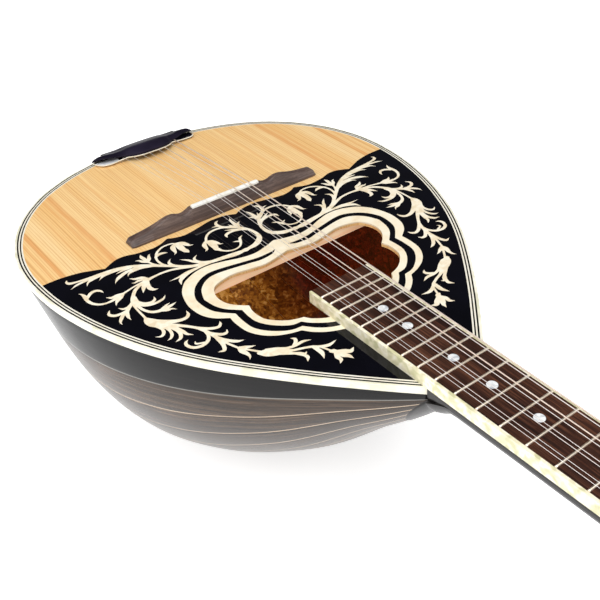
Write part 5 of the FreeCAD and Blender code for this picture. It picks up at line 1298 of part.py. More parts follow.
def pocket(body, name, sketch, reverse=False):
    """Cut through everything: both ways, or only against the sketch's own direction."""
    before = body.Shape.Volume
    cut = body.newObject("PartDesign::Pocket", name)
    cut.Profile = sketch
    cut.Type = 1
    if reverse:
        cut.Reversed = True
    else:
        cut.Midplane = True
    doc.recompute()
    if not body.Shape.Volume < before - 1e-6:
        raise RuntimeError("pocket cuts nothing: " + name)


def boolean_cut(base, tool_name, tool_shapes, name):
    tool = doc.addObject("Part::Feature", tool_name)
    tool.Shape = Part.makeCompound(tool_shapes)
    doc.recompute()
    cut = doc.addObject("Part::Cut", name)
    cut.Base = base
    cut.Tool = tool
    doc.recompute()
    return cut


# ------------------------------------------------------------------ bowl form
# Half width of the bowl at the rim: (y, half width).
RIM = [
    (-129.3, 19.984), (-128.6, 25.782), (-127.6, 32.347), (-126, 40.495), (-124, 48.821),
    (-121, 59.567), (-118, 68.136), (-114, 77.562), (-110, 85.539), (-105, 94.291),
    (-100, 101.503), (-90, 113.142), (-75, 126.306), (-60, 135.864), (-40, 144.573),
    (-20, 149.508), (0, 151.082), (20, 150.092), (40, 147.159), (60, 142.202),
    (80, 135.458), (100, 126.827), (120, 116.167), (140, 103.276), (160, 88.152),
    (180, 71.524), (195, 58.341), (205, 49.08), (212, 42.581), (218, 36.899),
    (223, 32.095), (228, 27.242), (231, 24.31), (233.5, 21.863), (236, 19.416),
]
# Depth of the bowl below the rim: (y, depth).
DEPTHS = [
    (-130.0, 0.0), (-127.6, 38.0), (-124.0, 48.5), (-118.0, 61.0), (-110.0, 72.5),
    (-100.0, 85.0), (-75.0, 117.4), (-40.0, 151.9), (0.0, 170.6), (25.0, 172.8),
    (50.0, 168.6), (100.0, 145.3), (150.0, 108.6), (200.0, 54.8), (233.6, 17.0),
    (236.0, 13.7),
]
# How far the flanks are drawn in from an ellipse: (y, share of the half width).
FLANK_PULL = [
    (-130.0, 0.0), (-118.0, 0.05), (-95.0, 0.12), (-60.0, 0.157), (20.0, 0.036),
    (120.0, -0.007), (236.0, -0.007),
]
# Stations along y through which the ribs are swept.
STATIONS = [
    -127.5, -125.5, -123.0, -119.5, -114.0, -107.0, -98.0, -87.0, -74.0, -58.0, -40.0,
    -20.0, 0.0, 22.0, 45.0, 68.0, 90.0, 112.0, 133.0, 153.0, 171.0, 187.0, 201.0, 213.0,
    223.0, 229.5, 233.5,
]
# Squared depths are interpolated, so the tail end closes roundly.
DEPTH_SQUARES = [(y, d * d) for y, d in DEPTHS]
RIM_DROP = dim("rim_drop")
RIB_FIRST, RIB_PITCH = dim("first_rib"), dim("rib_pitch")
RIB_TOTAL = int(dim("rib_total"))
LINE_HALF = dim("line_width") / 2
RIB_EDGE = LINE_HALF + dim("line_gap")
LINING_GAP = 0.08        # rib to lining
LINING_EDGE = 0.12       # lining strip to the joint's middle
SIDE_TOP = dim("binding_height") + 0.1


def depth(y):
    return math.sqrt(max(pchip(DEPTH_SQUARES, y), 0.0))


def bowl(phi, y):
    """Point (x, z) of the outer face; phi runs 0..180 degrees from +X rim to -X rim."""
    a = math.radians(phi)
    c, s = math.cos(a), math.sin(a)
    pull = pchip(FLANK_PULL, y)
    x = pchip(RIM, y) * (abs(c) - 4 * pull * s * (1 - s) * math.sqrt(abs(c)))
    return (x if c >= 0 else -x), -(RIM_DROP + depth(y) * s)


def bowl_frame(phi, y):
    """Point, direction along growing phi and outward normal, all as (x, z)."""
    step = 0.05
    point = bowl(phi, y)
    if 89.0 < phi < 91.0:
        along = (-1.0, 0.0)
    else:
        p0, p1 = bowl(phi - step, y), bowl(phi + step, y)
        length = math.hypot(p1[0] - p0[0], p1[1] - p0[1])
        along = ((p1[0] - p0[0]) / length, (p1[1] - p0[1]) / length)
    normal = (along[1], -along[0])
    if normal[0] * point[0] + normal[1] * (point[1] + RIM_DROP) < 0:
        normal = (-normal[0], -normal[1])
    return point, along, normal


def rib_thick(y):
    return dim("rib_thick") * min(1.0, 0.55 + 0.45 * depth(y) / 60.0)


def bowl_point(phi, y, along, inward):
    p, t, n = bowl_frame(phi, y)
    return V(p[0] + t[0] * along - n[0] * inward, y, p[1] + t[1] * along - n[1] * inward)


def outer_line(phi, along):
    return lambda y: bowl_point(phi, y, along, 0)


def inner_line(phi, along, extra=0.0):
    return lambda y: bowl_point(phi, y, along, rib_thick(y) + extra)


def long_bar(corners, stations):
    """Solid swept along Y: corners is a list of 4 functions y -> point."""
    low, high = stations[0], stations[-1]
    parameters = [(y - low) / (high - low) for y in stations]
    edges = []
    for corner in corners:
        curve = Part.BSplineCurve()
        curve.interpolate(Points=[corner(y) for y in stations], Parameters=parameters)
        edges.append(curve.toShape())
    faces = [Part.makeRuledSurface(edges[i], edges[(i + 1) % 4]).Faces[0] for i in range(4)]
    for y in (low, high):
        faces.append(Part.Face(polygon([corner(y) for corner in corners])))
    shell = Part.Shell(faces)
    shell.sewShape()
    solid = Part.Solid(shell)
    if solid.Volume < 0:
        solid = Part.Solid(shell.reversed())
    if solid.Volume < 0:
        solid.reverse()
    return solid


def bowl_bar(phi0, along0, phi1, along1):
    """Bar of full rib thickness between two lines on the bowl."""
    return long_bar([outer_line(phi0, along0), outer_line(phi1, along1),
                     inner_line(phi1, along1), inner_line(phi0, along0)], STATIONS)


def lining_strip(phi0, phi1):
    near, far = LINING_GAP, LINING_GAP + dim("lining_thick")
    return long_bar([inner_line(phi0, LINING_EDGE, near), inner_line(phi1, -LINING_EDGE, near),
                     inner_line(phi1, -LINING_EDGE, far), inner_line(phi0, LINING_EDGE, far)],
                    [y for y in STATIONS if -115 <= y <= 202])


# Ribs, the thin lines between them and the lining inside, from the +X rim to the -X rim.
joints = [RIB_FIRST + RIB_PITCH * k for k in range(RIB_TOTAL + 1)]
pairs = list(zip(joints, joints[1:]))
feature("bowl_ribs", Part.makeCompound([bowl_bar(a, RIB_EDGE, b, -RIB_EDGE) for a, b in pairs]))
feature("rib_lines", Part.makeCompound([bowl_bar(a, -LINE_HALF, a, LINE_HALF) for a in joints]))
feature("bowl_lining", Part.makeCompound([lining_strip(a, b) for a, b in pairs]))


def side_bar(sign):
    """Strip between the binding and the first rib joint, on the side given by sign."""
    def top(inward):
        def corner(y):
            x = bowl_point(0.0, y, 0.0, 0).x - (rib_thick(y) if inward else 0)
            return V(sign * x, y, -SIDE_TOP)
        return corner

    def low(inward):
        def corner(y):
            q = bowl_point(RIB_FIRST, y, -RIB_EDGE, rib_thick(y) if inward else 0)
            return V(sign * q.x, q.y, q.z)
        return corner

    return long_bar([top(False), low(False), low(True), top(True)], STATIONS)


feature("side_cap", Part.makeCompound([side_bar(1), side_bar(-1)]))


# ------------------------------------------------------------------ tail cap and blocks
def bowl_section(y, inward, drop, scale_x=1.0, scale_z=1.0, at=None):
    """Closed section of the bowl, cut off flat at the given drop below the top."""
    share = min(1.0, max(0.0, (drop - RIM_DROP) / max(depth(y), 1.0)))
    start = math.degrees(math.asin(share))
    points = [bowl_point(start + (180 - 2 * start) * i / 24.0, y, 0, inward)
              for i in range(25)]
    below = [q for q in points if q.z < -drop - 0.4]
    points = [V(below[0].x, y, -drop)] + below + [V(below[-1].x, y, -drop)]
    y_place = y if at is None else at
    return polygon([V(q.x * scale_x, y_place, -drop + (q.z + drop) * scale_z)
                    for q in points])


PIN_Z = -dim("pin_drop")
TAIL_SCREWS = [(-14.0, -12.5), (0.0, -12.5), (14.0, -12.5)]        # (x, z)
SECTION_Y = -127.5
CAP_BACK, CAP_FACE = dim("cap_back"), dim("cap_face")
# The tail cap closes the rib ends with a flat face for the strap button.
cap = Part.makeLoft([
    bowl_section(SECTION_Y, 0, SIDE_TOP, 1, 1, CAP_BACK),
    bowl_section(SECTION_Y, 0, SIDE_TOP, 0.86, 0.95, (CAP_BACK + CAP_FACE) / 2 - 0.4),
    bowl_section(SECTION_Y, 0, SIDE_TOP, 0.66, 0.86, CAP_FACE)], True, True)
tail_holes = [rod_y(1.62, 21, x, -134, z) for x, z in TAIL_SCREWS]
tail_holes.append(rod_y(2.12, 24, 0, -134, PIN_Z))
cap = cap.cut(Part.makeCompound(tail_holes))
feature("tail_cap", cap)

BLOCK_SPLIT = 12.0       # drop where a block's bowl-shaped part meets its plan-shaped top
BLOCK_GAP = 0.9          # ribs to block


def block(stations, outline):
    """Block filling the bowl between two stations, up to just under the soundboard."""
    low = Part.makeLoft([bowl_section(y, rib_thick(y) + BLOCK_GAP, BLOCK_SPLIT)
                         for y in stations], True, True)
    limits = box(-200, 200, stations[0], stations[-1], -13, -3)
    return low.fuse(plate([outline], -BLOCK_SPLIT, -3.05).common(limits))


# The tail block takes the screws, the neck block takes the neck.
tail_block = block((-127.45, -124.0, -118.0, -116.0), TAIL_BLOCK)
tail_block = tail_block.cut(Part.makeCompound(tail_holes)).removeSplitter()
feature("tail_block", tail_block)
neck_block = block((203.0, 213.0, 223.0, 230.0, 233.3), NECK_BLOCK)
feature("neck_block", neck_block.removeSplitter())

# ------------------------------------------------------------------ soundboard and inlays
TOP_UNDER = -dim("top_thick")
INLAY_FLOOR = -dim("inlay_depth")
UNDER_TOP = TOP_UNDER - 0.03

# Two stacked strips along the rim; each outline runs round outside, then back inside.
lining_inner = body_run(FIELD_LIMIT, -4.0)
upper_lining = plate([TOP_EDGE + lining_inner], -SIDE_TOP, UNDER_TOP)
lower_lining = plate([body_run(mirror(FIELD_LIMIT), -1.5) + lining_inner],
                     -dim("ring_drop"), -SIDE_TOP - 0.01)
feature("rim_lining", Part.makeCompound([upper_lining, lower_lining]))

# The area inside the purfling is split between spruce (tail) and pickguard (head).
field = offset(mirror(FIELD_LIMIT), -INLAY_GAP)
spruce = ([p for p in field if p[1] < 7]
          + offset(mirror(PICKGUARD_EDGE), -FIELD_GAP, closed=False))
guard = (PICKGUARD_EDGE + [p for p in field if p[1] > 11 and p[0] > 0]
         + [p for p in field if p[1] > 11 and p[0] < 0])

lower = plate([TOP_EDGE, mirror(RING_INNER)], TOP_UNDER, INLAY_FLOOR)
upper = plate([spruce], INLAY_FLOOR, 0.0)
feature("soundboard", lower.fuse(upper).removeSplitter())
feature("rim_purfling", plate([TOP_EDGE + FIELD_LIMIT], INLAY_FLOOR, 0.0))
binding = BINDING_EDGE + body_run(mirror(TOP_EDGE), BINDING_GAP)
feature("rim_binding", plate([binding], -dim("binding_height"), 0.0))
# Pickguard round the vines and the rings, with a second piece filling the ring band.
pickguard = plate([offset(VINE_BASS, INLAY_GAP), offset(VINE_TREBLE, INLAY_GAP),
                   offset(RING_BAND, -INLAY_GAP), offset(RING_OUTER, INLAY_GAP), guard],
                  INLAY_FLOOR, 0.0)
feature("pickguard", Part.makeCompound(pickguard.Solids))
feature("soundhole_rings", plate([RING_BAND, RING_INNER, RING_OUTER], INLAY_FLOOR, 0.0))
feature("vine_inlay", plate([VINE_BASS, VINE_TREBLE], INLAY_FLOOR, 0.0))

# Transverse braces under the top, ends scalloped: (y, height, half length).
BRACES = [(70.0, 8.6, 123.0), (172.0, 9.0, 58.5), (-52.0, 12.0, 126.0)]
BRACE_WIDE, BRACE_END, BRACE_SCALLOP = 6.0, 4.0, 18.0
braces = []
for y, high, half in BRACES:
    profile = [(-half, 0.0), (half, 0.0), (half, -BRACE_END), (half - BRACE_SCALLOP, -high),
               (-half + BRACE_SCALLOP, -high), (-half, -BRACE_END)]
    wire = polygon([V(x, y - BRACE_WIDE / 2, z + UNDER_TOP) for x, z in profile])
    braces.append(Part.Face(wire).extrude(V(0, BRACE_WIDE, 0)))
feature("soundboard_braces", Part.makeCompound(braces))

# ------------------------------------------------------------------ fretboard
BOARD_TOP = dim("board_top")
EDGE = dim("edge_binding")
BOARD_START, BOARD_STOP = dim("board_end"), dim("nut_front") - 0.02
SLOT_WIDE, SLOT_DEEP = 0.62, 1.6
CROWN_HALF, CROWN_HIGH = 1.15, 1.05
DOT_RADIUS, DOT_THICK = 3.2, 1.18
DOT_FRETS = (3, 5, 7, 10, 12, 15, 17, 19, 22, 24)


def fret_y(n):
    return dim("scale_length") / 2.0 ** (n / 12.0)


def board_half(y):
    start = dim("board_end") + 10.0
    share = (y - start) / (dim("nut_front") - start)
    return dim("board_half_end") + (dim("board_half_nut") - dim("board_half_end")) * share


def fret(y, half):
    tang = box(-half, half, y - SLOT_WIDE / 2 + 0.02, y + SLOT_WIDE / 2 - 0.02,
               BOARD_TOP - SLOT_DEEP + 0.05, BOARD_TOP + 0.1)
    arc = [V(-half, y + CROWN_HALF * c, BOARD_TOP + 0.01 + CROWN_HIGH * s)
           for c, s in half_circle(8)]
    crown = Part.Face(polygon(arc)).extrude(V(2 * half, 0, 0))
    return crown.fuse(tang).removeSplitter()


blank = new_body("fretboard")
start_half = board_half(BOARD_START) - EDGE - 0.01
stop_half = board_half(BOARD_STOP) - EDGE - 0.01
outline = [(start_half, BOARD_START), (stop_half, BOARD_STOP),
           (-stop_half, BOARD_STOP), (-start_half, BOARD_START)]
pad(blank, "board", sketch_poly(blank, "board_outline", "XY_Plane", outline), "Dims.board_top")
cuts, frets, dots = [], [], []
for n in range(1, int(dim("fret_total")) + 1):
    y = fret_y(n)
    half = board_half(y) - EDGE - 0.05
    cuts.append(box(-half - 0.5, half + 0.5, y - SLOT_WIDE / 2, y + SLOT_WIDE / 2,
                    BOARD_TOP - SLOT_DEEP, BOARD_TOP + 1))
    frets.append(fret(y, half))
for n in DOT_FRETS:
    y = 0.5 * (fret_y(n) + fret_y(n - 1))
    cuts.append(rod_z(DOT_RADIUS + 0.02, 3, 0, y, BOARD_TOP - DOT_THICK - 0.02))
    dots.append(rod_z(DOT_RADIUS, DOT_THICK, 0, y, BOARD_TOP - DOT_THICK))
board = boolean_cut(blank, "fret_slots", cuts, "fretboard_cut")
blank.Label = "fretboard_blank"
keep(board, "fretboard")

# Binding strip down each long side, rounded at the soundhole end.
strip = [(board_half(BOARD_START) - EDGE / 2 - EDGE / 2 * c, BOARD_START + EDGE / 2 - EDGE / 2 * s)
         for c, s in half_circle(8)]
strip += [(board_half(BOARD_STOP), BOARD_STOP), (board_half(BOARD_STOP) - EDGE, BOARD_STOP)]
feature("fretboard_binding", Part.makeCompound(
    [plate([side], 0.01, BOARD_TOP) for side in (strip, mirror(strip))]))
feature("frets", Part.makeCompound(frets))
feature("fret_dots", Part.makeCompound(dots))

# ------------------------------------------------------------------ neck and head
# Head outline (x, distance from the head's root).
HEAD_OUTLINE = both_sides([
    (18.9, 0.0), (21.0, 5.0), (27.0, 11.0), (31.0, 18.0), (32.5, 60.0), (34.0, 122.0),
    (36.5, 132.0), (36.0, 139.0), (31.0, 145.0), (24.0, 146.5), (18.0, 150.0),
    (13.0, 157.0), (6.5, 161.5), (0.0, 163.0)])
POST_X = dim("post_offset")
ROW = [dim("post_first") + dim("post_pitch") * n for n in range(4)]
POSTS = [(sign * POST_X, u) for sign in (1, -1) for u in ROW]
HEAD_THICK, VENEER = dim("head_thick"), dim("veneer_thick")
PLATE_SCREWS = [17.0, 43.0, 67.0, 91.0, 115.0]
COVER_SCREWS = [(0.0, 8.0), (0.0, 30.0)]
# Sections: (y, half width, depth, z of the flat top, roundness exponent).
NECK_TOP = -0.01
NECK = [
    (BODY_END + 0.03, 22.6, 24.0, NECK_TOP, 1.0), (239.0, 22.6, 21.2, NECK_TOP, 1.0),
    (246.0, 22.6, 17.2, NECK_TOP, 1.0), (254.0, 22.5, 15.4, NECK_TOP, 1.0),
    (300.0, 22.1, 14.8, NECK_TOP, 1.0), (420.0, 21.0, 14.2, NECK_TOP, 1.0),
    (560.0, 19.8, 13.6, NECK_TOP, 1.0), (640.0, 19.15, 13.4, NECK_TOP, 1.0),
    (664.0, 18.9, 14.5, NECK_TOP, 0.95),
]
THROAT = [
    (664.0, 18.9, 14.5, NECK_TOP, 0.95), (673.0, 18.9, 15.3, NECK_TOP, 0.8),
    (683.0, 19.5, 12.6, -2.2, 0.6),
]
NECK_SIDE = 1.5          # upright part of the section below the flat top


def neck_section(y, half, low, top, power):
    points = [V(half, y, top)]
    for c, s in half_circle(18):
        points.append(V(half * (abs(c) ** power) * (1 if c >= 0 else -1), y,
                        top - NECK_SIDE - (low - NECK_SIDE) * (s ** power)))
    return polygon(points + [V(-half, y, top)])


shaft = Part.makeLoft([neck_section(*row) for row in NECK], True, True)
head = plate([HEAD_OUTLINE], -HEAD_THICK, 0.0)
head.Placement = HEAD_LOCAL
# The throat blends the round neck into the flat head under the nut.
throat = Part.makeLoft([neck_section(*row) for row in THROAT], True, True)
neck = shaft.fuse([throat, head])
truss_half = dim("truss_width") / 2 + 0.03
neck = neck.cut(box(-truss_half, truss_half, dim("truss_from") - 0.1, dim("truss_to") + 0.1,
                    -dim("truss_depth") - 0.6, 1))
bores = []
for x, u in POSTS:
    bores += [rod_z(4.22, 9, x, u, -6.02), rod_z(3.35, 30, x, u, -20)]
for sign in (1, -1):
    for u in PLATE_SCREWS:
        bores.append(rod_z(1.07, 7.5, sign * POST_X, u, -HEAD_THICK - 0.5))
for x, u in COVER_SCREWS:
    bores.append(rod_z(0.92, 8, x, u, -5))
tool = Part.makeCompound(bores)
tool.Placement = HEAD_LOCAL
feature("neck", neck.cut(tool).removeSplitter())

rod = new_body("truss_rod")
section = sketch_rect(rod, "rod_section", "XZ_Plane", -3.0, 3.0, -8.4, -0.4,
                      ["-Dims.truss_width / 2", "Dims.truss_width / 2",
                       "-Dims.truss_depth - 0.4", "-0.4 mm"])
pad(rod, "rod_length", section, "Dims.truss_to - Dims.truss_from")
# The head-side end of the rod goes to truss_to, whichever way the pad grew.
keep(rod, "truss_rod", body_place(dim("truss_to") - rod.Shape.BoundBox.YMax))

veneer = new_body("headstock_veneer")
pad(veneer, "veneer_sheet", sketch_poly(veneer, "veneer_outline", "XY_Plane", HEAD_OUTLINE),
    "Dims.veneer_thick")
pocket(veneer, "veneer_bores", sketch_holes(
    veneer, "veneer_holes",
    [(x, u, 4.22) for x, u in POSTS] + [(x, u, 0.92) for x, u in COVER_SCREWS]))
pocket(veneer, "rod_access_slot",
       sketch_rect(veneer, "rod_access", "XY_Plane", -3.5, 3.5, 11.0, 25.0))
keep(veneer, "headstock_veneer", HEAD.multiply(placed(z=0.01)))

# Bell-shaped cover over the truss-rod slot.
BELL = both_sides([(3.5, 4.5), (5.5, 6.5), (5.8, 9.5), (7.5, 13.0), (9.0, 18.0), (8.6, 23.0),
                   (6.5, 28.0), (3.8, 32.0), (0.0, 34.5)])
ROD_COVER_THICK = 1.6
rod_cover = new_body("truss_rod_cover")
pad(rod_cover, "cover_sheet", sketch_poly(rod_cover, "cover_outline", "XY_Plane", BELL),
    "%g mm" % ROD_COVER_THICK)
pocket(rod_cover, "cover_bores",
       sketch_holes(rod_cover, "cover_holes", [(x, u, 1.0) for x, u in COVER_SCREWS]))
keep(rod_cover, "truss_rod_cover", HEAD.multiply(placed(z=VENEER + 0.02)))

# ------------------------------------------------------------------ strings
# Per string from the bass side; x at the tailpiece, at the saddle and at the nut.
TAIL_X = [-24.0, -17.5, -10.5, -4.0, 4.0, 10.5, 17.5, 24.0]
SADDLE_X = [-20.4, -17.0, -7.9, -4.5, 4.6, 7.3, 16.7, 19.6]
NUT_X = [-14.9, -12.3, -5.7, -3.3, 3.3, 5.7, 12.3, 14.7]
STRING_RADIUS = [0.50, 0.26, 0.42, 0.22, 0.18, 0.18, 0.14, 0.14]
WOUND = (0, 2)
POST_OF = [4, 5, 6, 7, 3, 2, 1, 0]
NUT_STRING_Z = 9.25
BREAK_Y = -1.7           # where the strings bend down, on the tail side of the saddle
TAIL_HOOK_Y, TAIL_HOOK_Z = -121.0, 2.9
POST_STRING_UP = 6.6     # above the veneer


def string_path(i):
    radius = STRING_RADIUS[i]
    post_x, post_u = POSTS[POST_OF[i]]
    side = 1 if post_x > 0 else -1
    tilt = math.radians(dim("head_tilt"))
    c, s = math.cos(tilt), math.sin(tilt)
    up = VENEER + POST_STRING_UP
    at_post = V(post_x - side * (dim("post_radius") + radius + 0.06),
                dim("head_start") + post_u * c + up * s, -post_u * s + up * c)
    return [V(TAIL_X[i], TAIL_HOOK_Y, TAIL_HOOK_Z),
            V(SADDLE_X[i], BREAK_Y, dim("saddle_top") + 0.04 + radius),
            V(NUT_X[i], dim("nut_front"), NUT_STRING_Z),
            V(NUT_X[i], dim("nut_front") + dim("nut_length"), NUT_STRING_Z - 0.03),
            at_post]


def taut_string(points, radius):
    """One closed twelve-sided bar along the path, mitred where the path turns."""
    wires = []
    for i, p in enumerate(points):
        direction = V(0, 0, 0)
        if i > 0:
            direction = direction + (p - points[i - 1]).normalize()
        if i < len(points) - 1:
            direction = direction + (points[i + 1] - p).normalize()
        direction.normalize()
        across = direction.cross(V(0, 0, 1)).normalize()
        upward = across.cross(direction).normalize()
        angles = [2 * math.pi * k / 12 for k in range(12)]
        wires.append(polygon([p + across * (radius * math.cos(a))
                              + upward * (radius * math.sin(a)) for a in angles]))
    return Part.makeLoft(wires, True, True)


strings = [taut_string(string_path(i), STRING_RADIUS[i]) for i in range(8)]
feature("plain_strings", Part.makeCompound([strings[i] for i in range(8) if i not in WOUND]))
feature("wound_strings", Part.makeCompound([strings[i] for i in WOUND]))

# ------------------------------------------------------------------ nut
nut_blank = new_body("nut")
foot = sketch_rect(nut_blank, "nut_foot", "XY_Plane", -18.9, 18.9, 0.0, 5.0,
                   ["-Dims.board_half_nut", "Dims.board_half_nut", "0 mm", "Dims.nut_length"])
pad(nut_blank, "nut_block", foot, "Dims.nut_height")
nut_slots = []
for x, radius in zip(NUT_X, STRING_RADIUS):
    half = radius + 0.05
    nut_slots.append(rod_y(half, 9, x, -2, NUT_STRING_Z))
    nut_slots.append(box(x - half, x + half, -2, 7, NUT_STRING_Z, NUT_STRING_Z + 3))
nut = boolean_cut(nut_blank, "nut_slots", nut_slots, "nut_cut")
nut_blank.Label = "nut_blank"
keep(nut, "nut", body_place(dim("nut_front")))

# ------------------------------------------------------------------ bridge and saddle
# Front view of the bridge (x, z above its foot).
BRIDGE_VIEW = [
    (79.0, 0.0), (79.6, 2.4), (77.5, 4.3), (72.0, 5.0), (64.0, 6.2), (57.0, 7.9),
    (52.0, 9.6), (48.0, 10.5), (45.0, 10.6), (42.0, 9.9), (39.0, 8.6), (36.5, 8.1),
    (34.0, 8.4), (31.5, 9.4), (29.4, 10.5)]
bridge = new_body("bridge")
view = [(x, z + dim("bridge_lift")) for x, z in both_sides(BRIDGE_VIEW)]
pad(bridge, "bridge_bar", sketch_poly(bridge, "bridge_front_view", "XZ_Plane", view),
    "Dims.bridge_front - Dims.bridge_back")
# The bar is built in its own frame, then moved along y by this much.
bridge_y = dim("bridge_front") - bridge.Shape.BoundBox.YMax
front = dim("bridge_front") - bridge_y
back = dim("bridge_back") - bridge_y
pocket(bridge, "bridge_front_lean", sketch_poly(
    bridge, "bridge_lean", "YZ_Plane",
    [(front + 1, 1.5), (front, 1.5), (front - 3.9, 12.0), (front + 1, 12.0)]))
pocket(bridge, "bridge_back_lean", sketch_poly(
    bridge, "bridge_back_lean_view", "YZ_Plane",
    [(back - 1, 2.0), (back, 2.0), (back + 3.4, 12.0), (back - 1, 12.0)]))
SADDLE_BACK, SADDLE_FRONT = dim("saddle_back"), dim("saddle_front")
SADDLE_TOP, SADDLE_FOOT = dim("saddle_top"), dim("saddle_foot")
slot_half = dim("saddle_half") + 0.01
slot = sketch_rect(bridge, "saddle_slot_view", "XY_Plane", -slot_half, slot_half,
                   SADDLE_BACK - 0.01 - bridge_y, SADDLE_FRONT + 0.01 - bridge_y,
                   lift=SADDLE_FOOT)
pocket(bridge, "saddle_slot", slot, reverse=True)
keep(bridge, "bridge", body_place(bridge_y))

saddle = new_body("saddle")
section = sketch_poly(saddle, "saddle_section", "YZ_Plane", [
    (SADDLE_BACK, SADDLE_FOOT + 0.02), (SADDLE_FRONT, SADDLE_FOOT + 0.02),
    (SADDLE_FRONT, SADDLE_TOP - 1.0), (SADDLE_FRONT - 0.6, SADDLE_TOP - 0.3),
    (SADDLE_FRONT - 1.5, SADDLE_TOP), (SADDLE_BACK + 1.5, SADDLE_TOP),
    (SADDLE_BACK + 0.6, SADDLE_TOP - 0.3), (SADDLE_BACK, SADDLE_TOP - 1.0)])
pad(saddle, "saddle_length", section, "2 * Dims.saddle_half", midplane=True)
keep(saddle, "saddle")

# ------------------------------------------------------------------ tailpiece
# Flat string plate on the top, bent over the rim, one leg down the tail.
tailpiece = box(-34, 34, -132.1, -113.0, 0.05, 1.05)
tailpiece = tailpiece.fuse(box(-22, 22, -132.1, -131.1, -18.0, 1.05))
tailpiece = tailpiece.fuse([rod_z(1.1, 2.7, x, -122.6, 0.9) for x in TAIL_X])
tailpiece = tailpiece.cut(Part.makeCompound([rod_y(1.75, 4, x, -134, z)
                                             for x, z in TAIL_SCREWS]))
feature("tailpiece_plate", tailpiece.removeSplitter())
SCREW_SEAT = -132.12
screws = []
for x, z in TAIL_SCREWS:
    cap_ball = Part.makeSphere(3.1, V(x, SCREW_SEAT + 1.4, z))
    cap_ball = cap_ball.common(box(x - 4, x + 4, -136, SCREW_SEAT, z - 4, z + 4))
    screws.append(rod_y(1.6, 16.0, x, SCREW_SEAT, z).fuse(cap_ball).removeSplitter())
feature("tailpiece_screws", Part.makeCompound(screws))

# Moulded cover: a thin arched shell over the plate that dips over the rim.
# Outer and inner lines of its lengthwise section (y, z), from the head side to the tail.
COVER_OUTER = [
    (-103.0, 5.3), (-103.0, 6.4), (-104.5, 7.7), (-108.0, 8.9), (-112.0, 9.4),
    (-116.0, 9.2), (-120.0, 7.6), (-125.0, 5.4), (-129.0, 3.8), (-132.2, 2.6),
    (-134.3, -0.3), (-135.3, -5.0), (-135.6, -8.0)]
COVER_INNER = [
    (-104.2, 5.3), (-104.2, 6.0), (-105.3, 6.8), (-108.5, 7.7), (-112.0, 8.2),
    (-115.7, 8.0), (-119.5, 6.4), (-124.5, 4.2), (-128.5, 2.6), (-131.6, 1.5),
    (-132.9, 0.6), (-133.6, -1.2), (-134.1, -5.0), (-134.4, -8.0)]
# Plan of the cover (x, y): a broad middle lobe over the strings and two wings.
COVER_PLAN = both_sides([
    (0.0, -102.0), (9.0, -103.6), (14.0, -105.5), (20.0, -109.5), (27.0, -111.0),
    (35.0, -111.0), (41.0, -112.5), (45.0, -117.5), (45.8, -122.0), (43.5, -128.0),
    (38.0, -134.0), (33.0, -140.0)])
cover_half = dim("cover_half")
wire = polygon([V(-cover_half, y, z) for y, z in COVER_OUTER + COVER_INNER[::-1]])
cover = Part.Face(wire).extrude(V(2 * cover_half, 0, 0))
feature("tailpiece_cover", cover.common(plate([COVER_PLAN], -30, 30)).removeSplitter())

# ------------------------------------------------------------------ strap button
NECK_END = dim("pin_neck")
BUTTON_END = NECK_END + dim("pin_head")
NECK_RADIUS, PIN_RADIUS = dim("pin_neck_radius"), dim("pin_radius")
PIN_BORE = 2.1
# Turned profile (radius, y), from the foot on the tail cap outward.
PIN_PROFILE = [
    (PIN_BORE, 0.0), (5.2, 0.0), (4.6, -1.2), (NECK_RADIUS, -2.6), (NECK_RADIUS, -4.8),
    (4.8, -NECK_END), (PIN_RADIUS, -NECK_END), (PIN_RADIUS, -BUTTON_END),
    (PIN_BORE, -BUTTON_END)]
button = new_body("strap_button")
profile = new_sketch(button, "button_profile")
for a, b in zip(PIN_PROFILE, PIN_PROFILE[1:] + PIN_PROFILE[:1]):
    profile.addGeometry(Part.LineSegment(V(a[0], a[1], 0), V(b[0], b[1], 0)), False)
turned = button.newObject("PartDesign::Revolution", "button_turned")
turned.Profile = profile
turned.ReferenceAxis = (profile, ["V_Axis"])
turned.Angle = 360.0
doc.recompute()
keep(button, "strap_button", body_place(dim("pin_base"), PIN_Z))

pin_end = dim("pin_base") - BUTTON_END
dome = Part.makeSphere(5.0, V(0, pin_end - 0.02 + 3.6, PIN_Z))
dome = dome.common(box(-6, 6, -150, pin_end - 0.02, PIN_Z - 6, PIN_Z + 6))
pin_screw = rod_y(2.08, 27.0, 0, pin_end, PIN_Z).fuse(rod_y(2.08, 0.1, 0, pin_end - 0.05, PIN_Z))
feature("strap_button_screw", pin_screw.fuse(dome).removeSplitter())

# ------------------------------------------------------------------ tuning machines
PLATE_THICK = dim("plate_thick")
PLATE_TOP = -HEAD_THICK - 0.02
PLATE_LOW = PLATE_TOP - PLATE_THICK
GEAR_RADIUS, GEAR_THICK = dim("gear_radius"), dim("gear_thick")
GEAR_TOP = PLATE_LOW - dim("gear_drop")
GEAR_MID = GEAR_TOP - GEAR_THICK / 2.0
GEAR_LOW = GEAR_TOP - GEAR_THICK
WORM_AWAY, LEAD = dim("worm_centre"), dim("worm_lead")
CORE_RADIUS, THREAD_RADIUS = dim("worm_core"), dim("worm_outer")
WORM_LONG = dim("worm_length")
RUN_GAP = dim("run_gap")
SHAFT_RADIUS, LUG_X = dim("shaft_radius"), dim("lug_offset")
LUG_HALF, LUG_WIDE_HALF = 0.6, 2.6
POST_RADIUS = dim("post_radius")


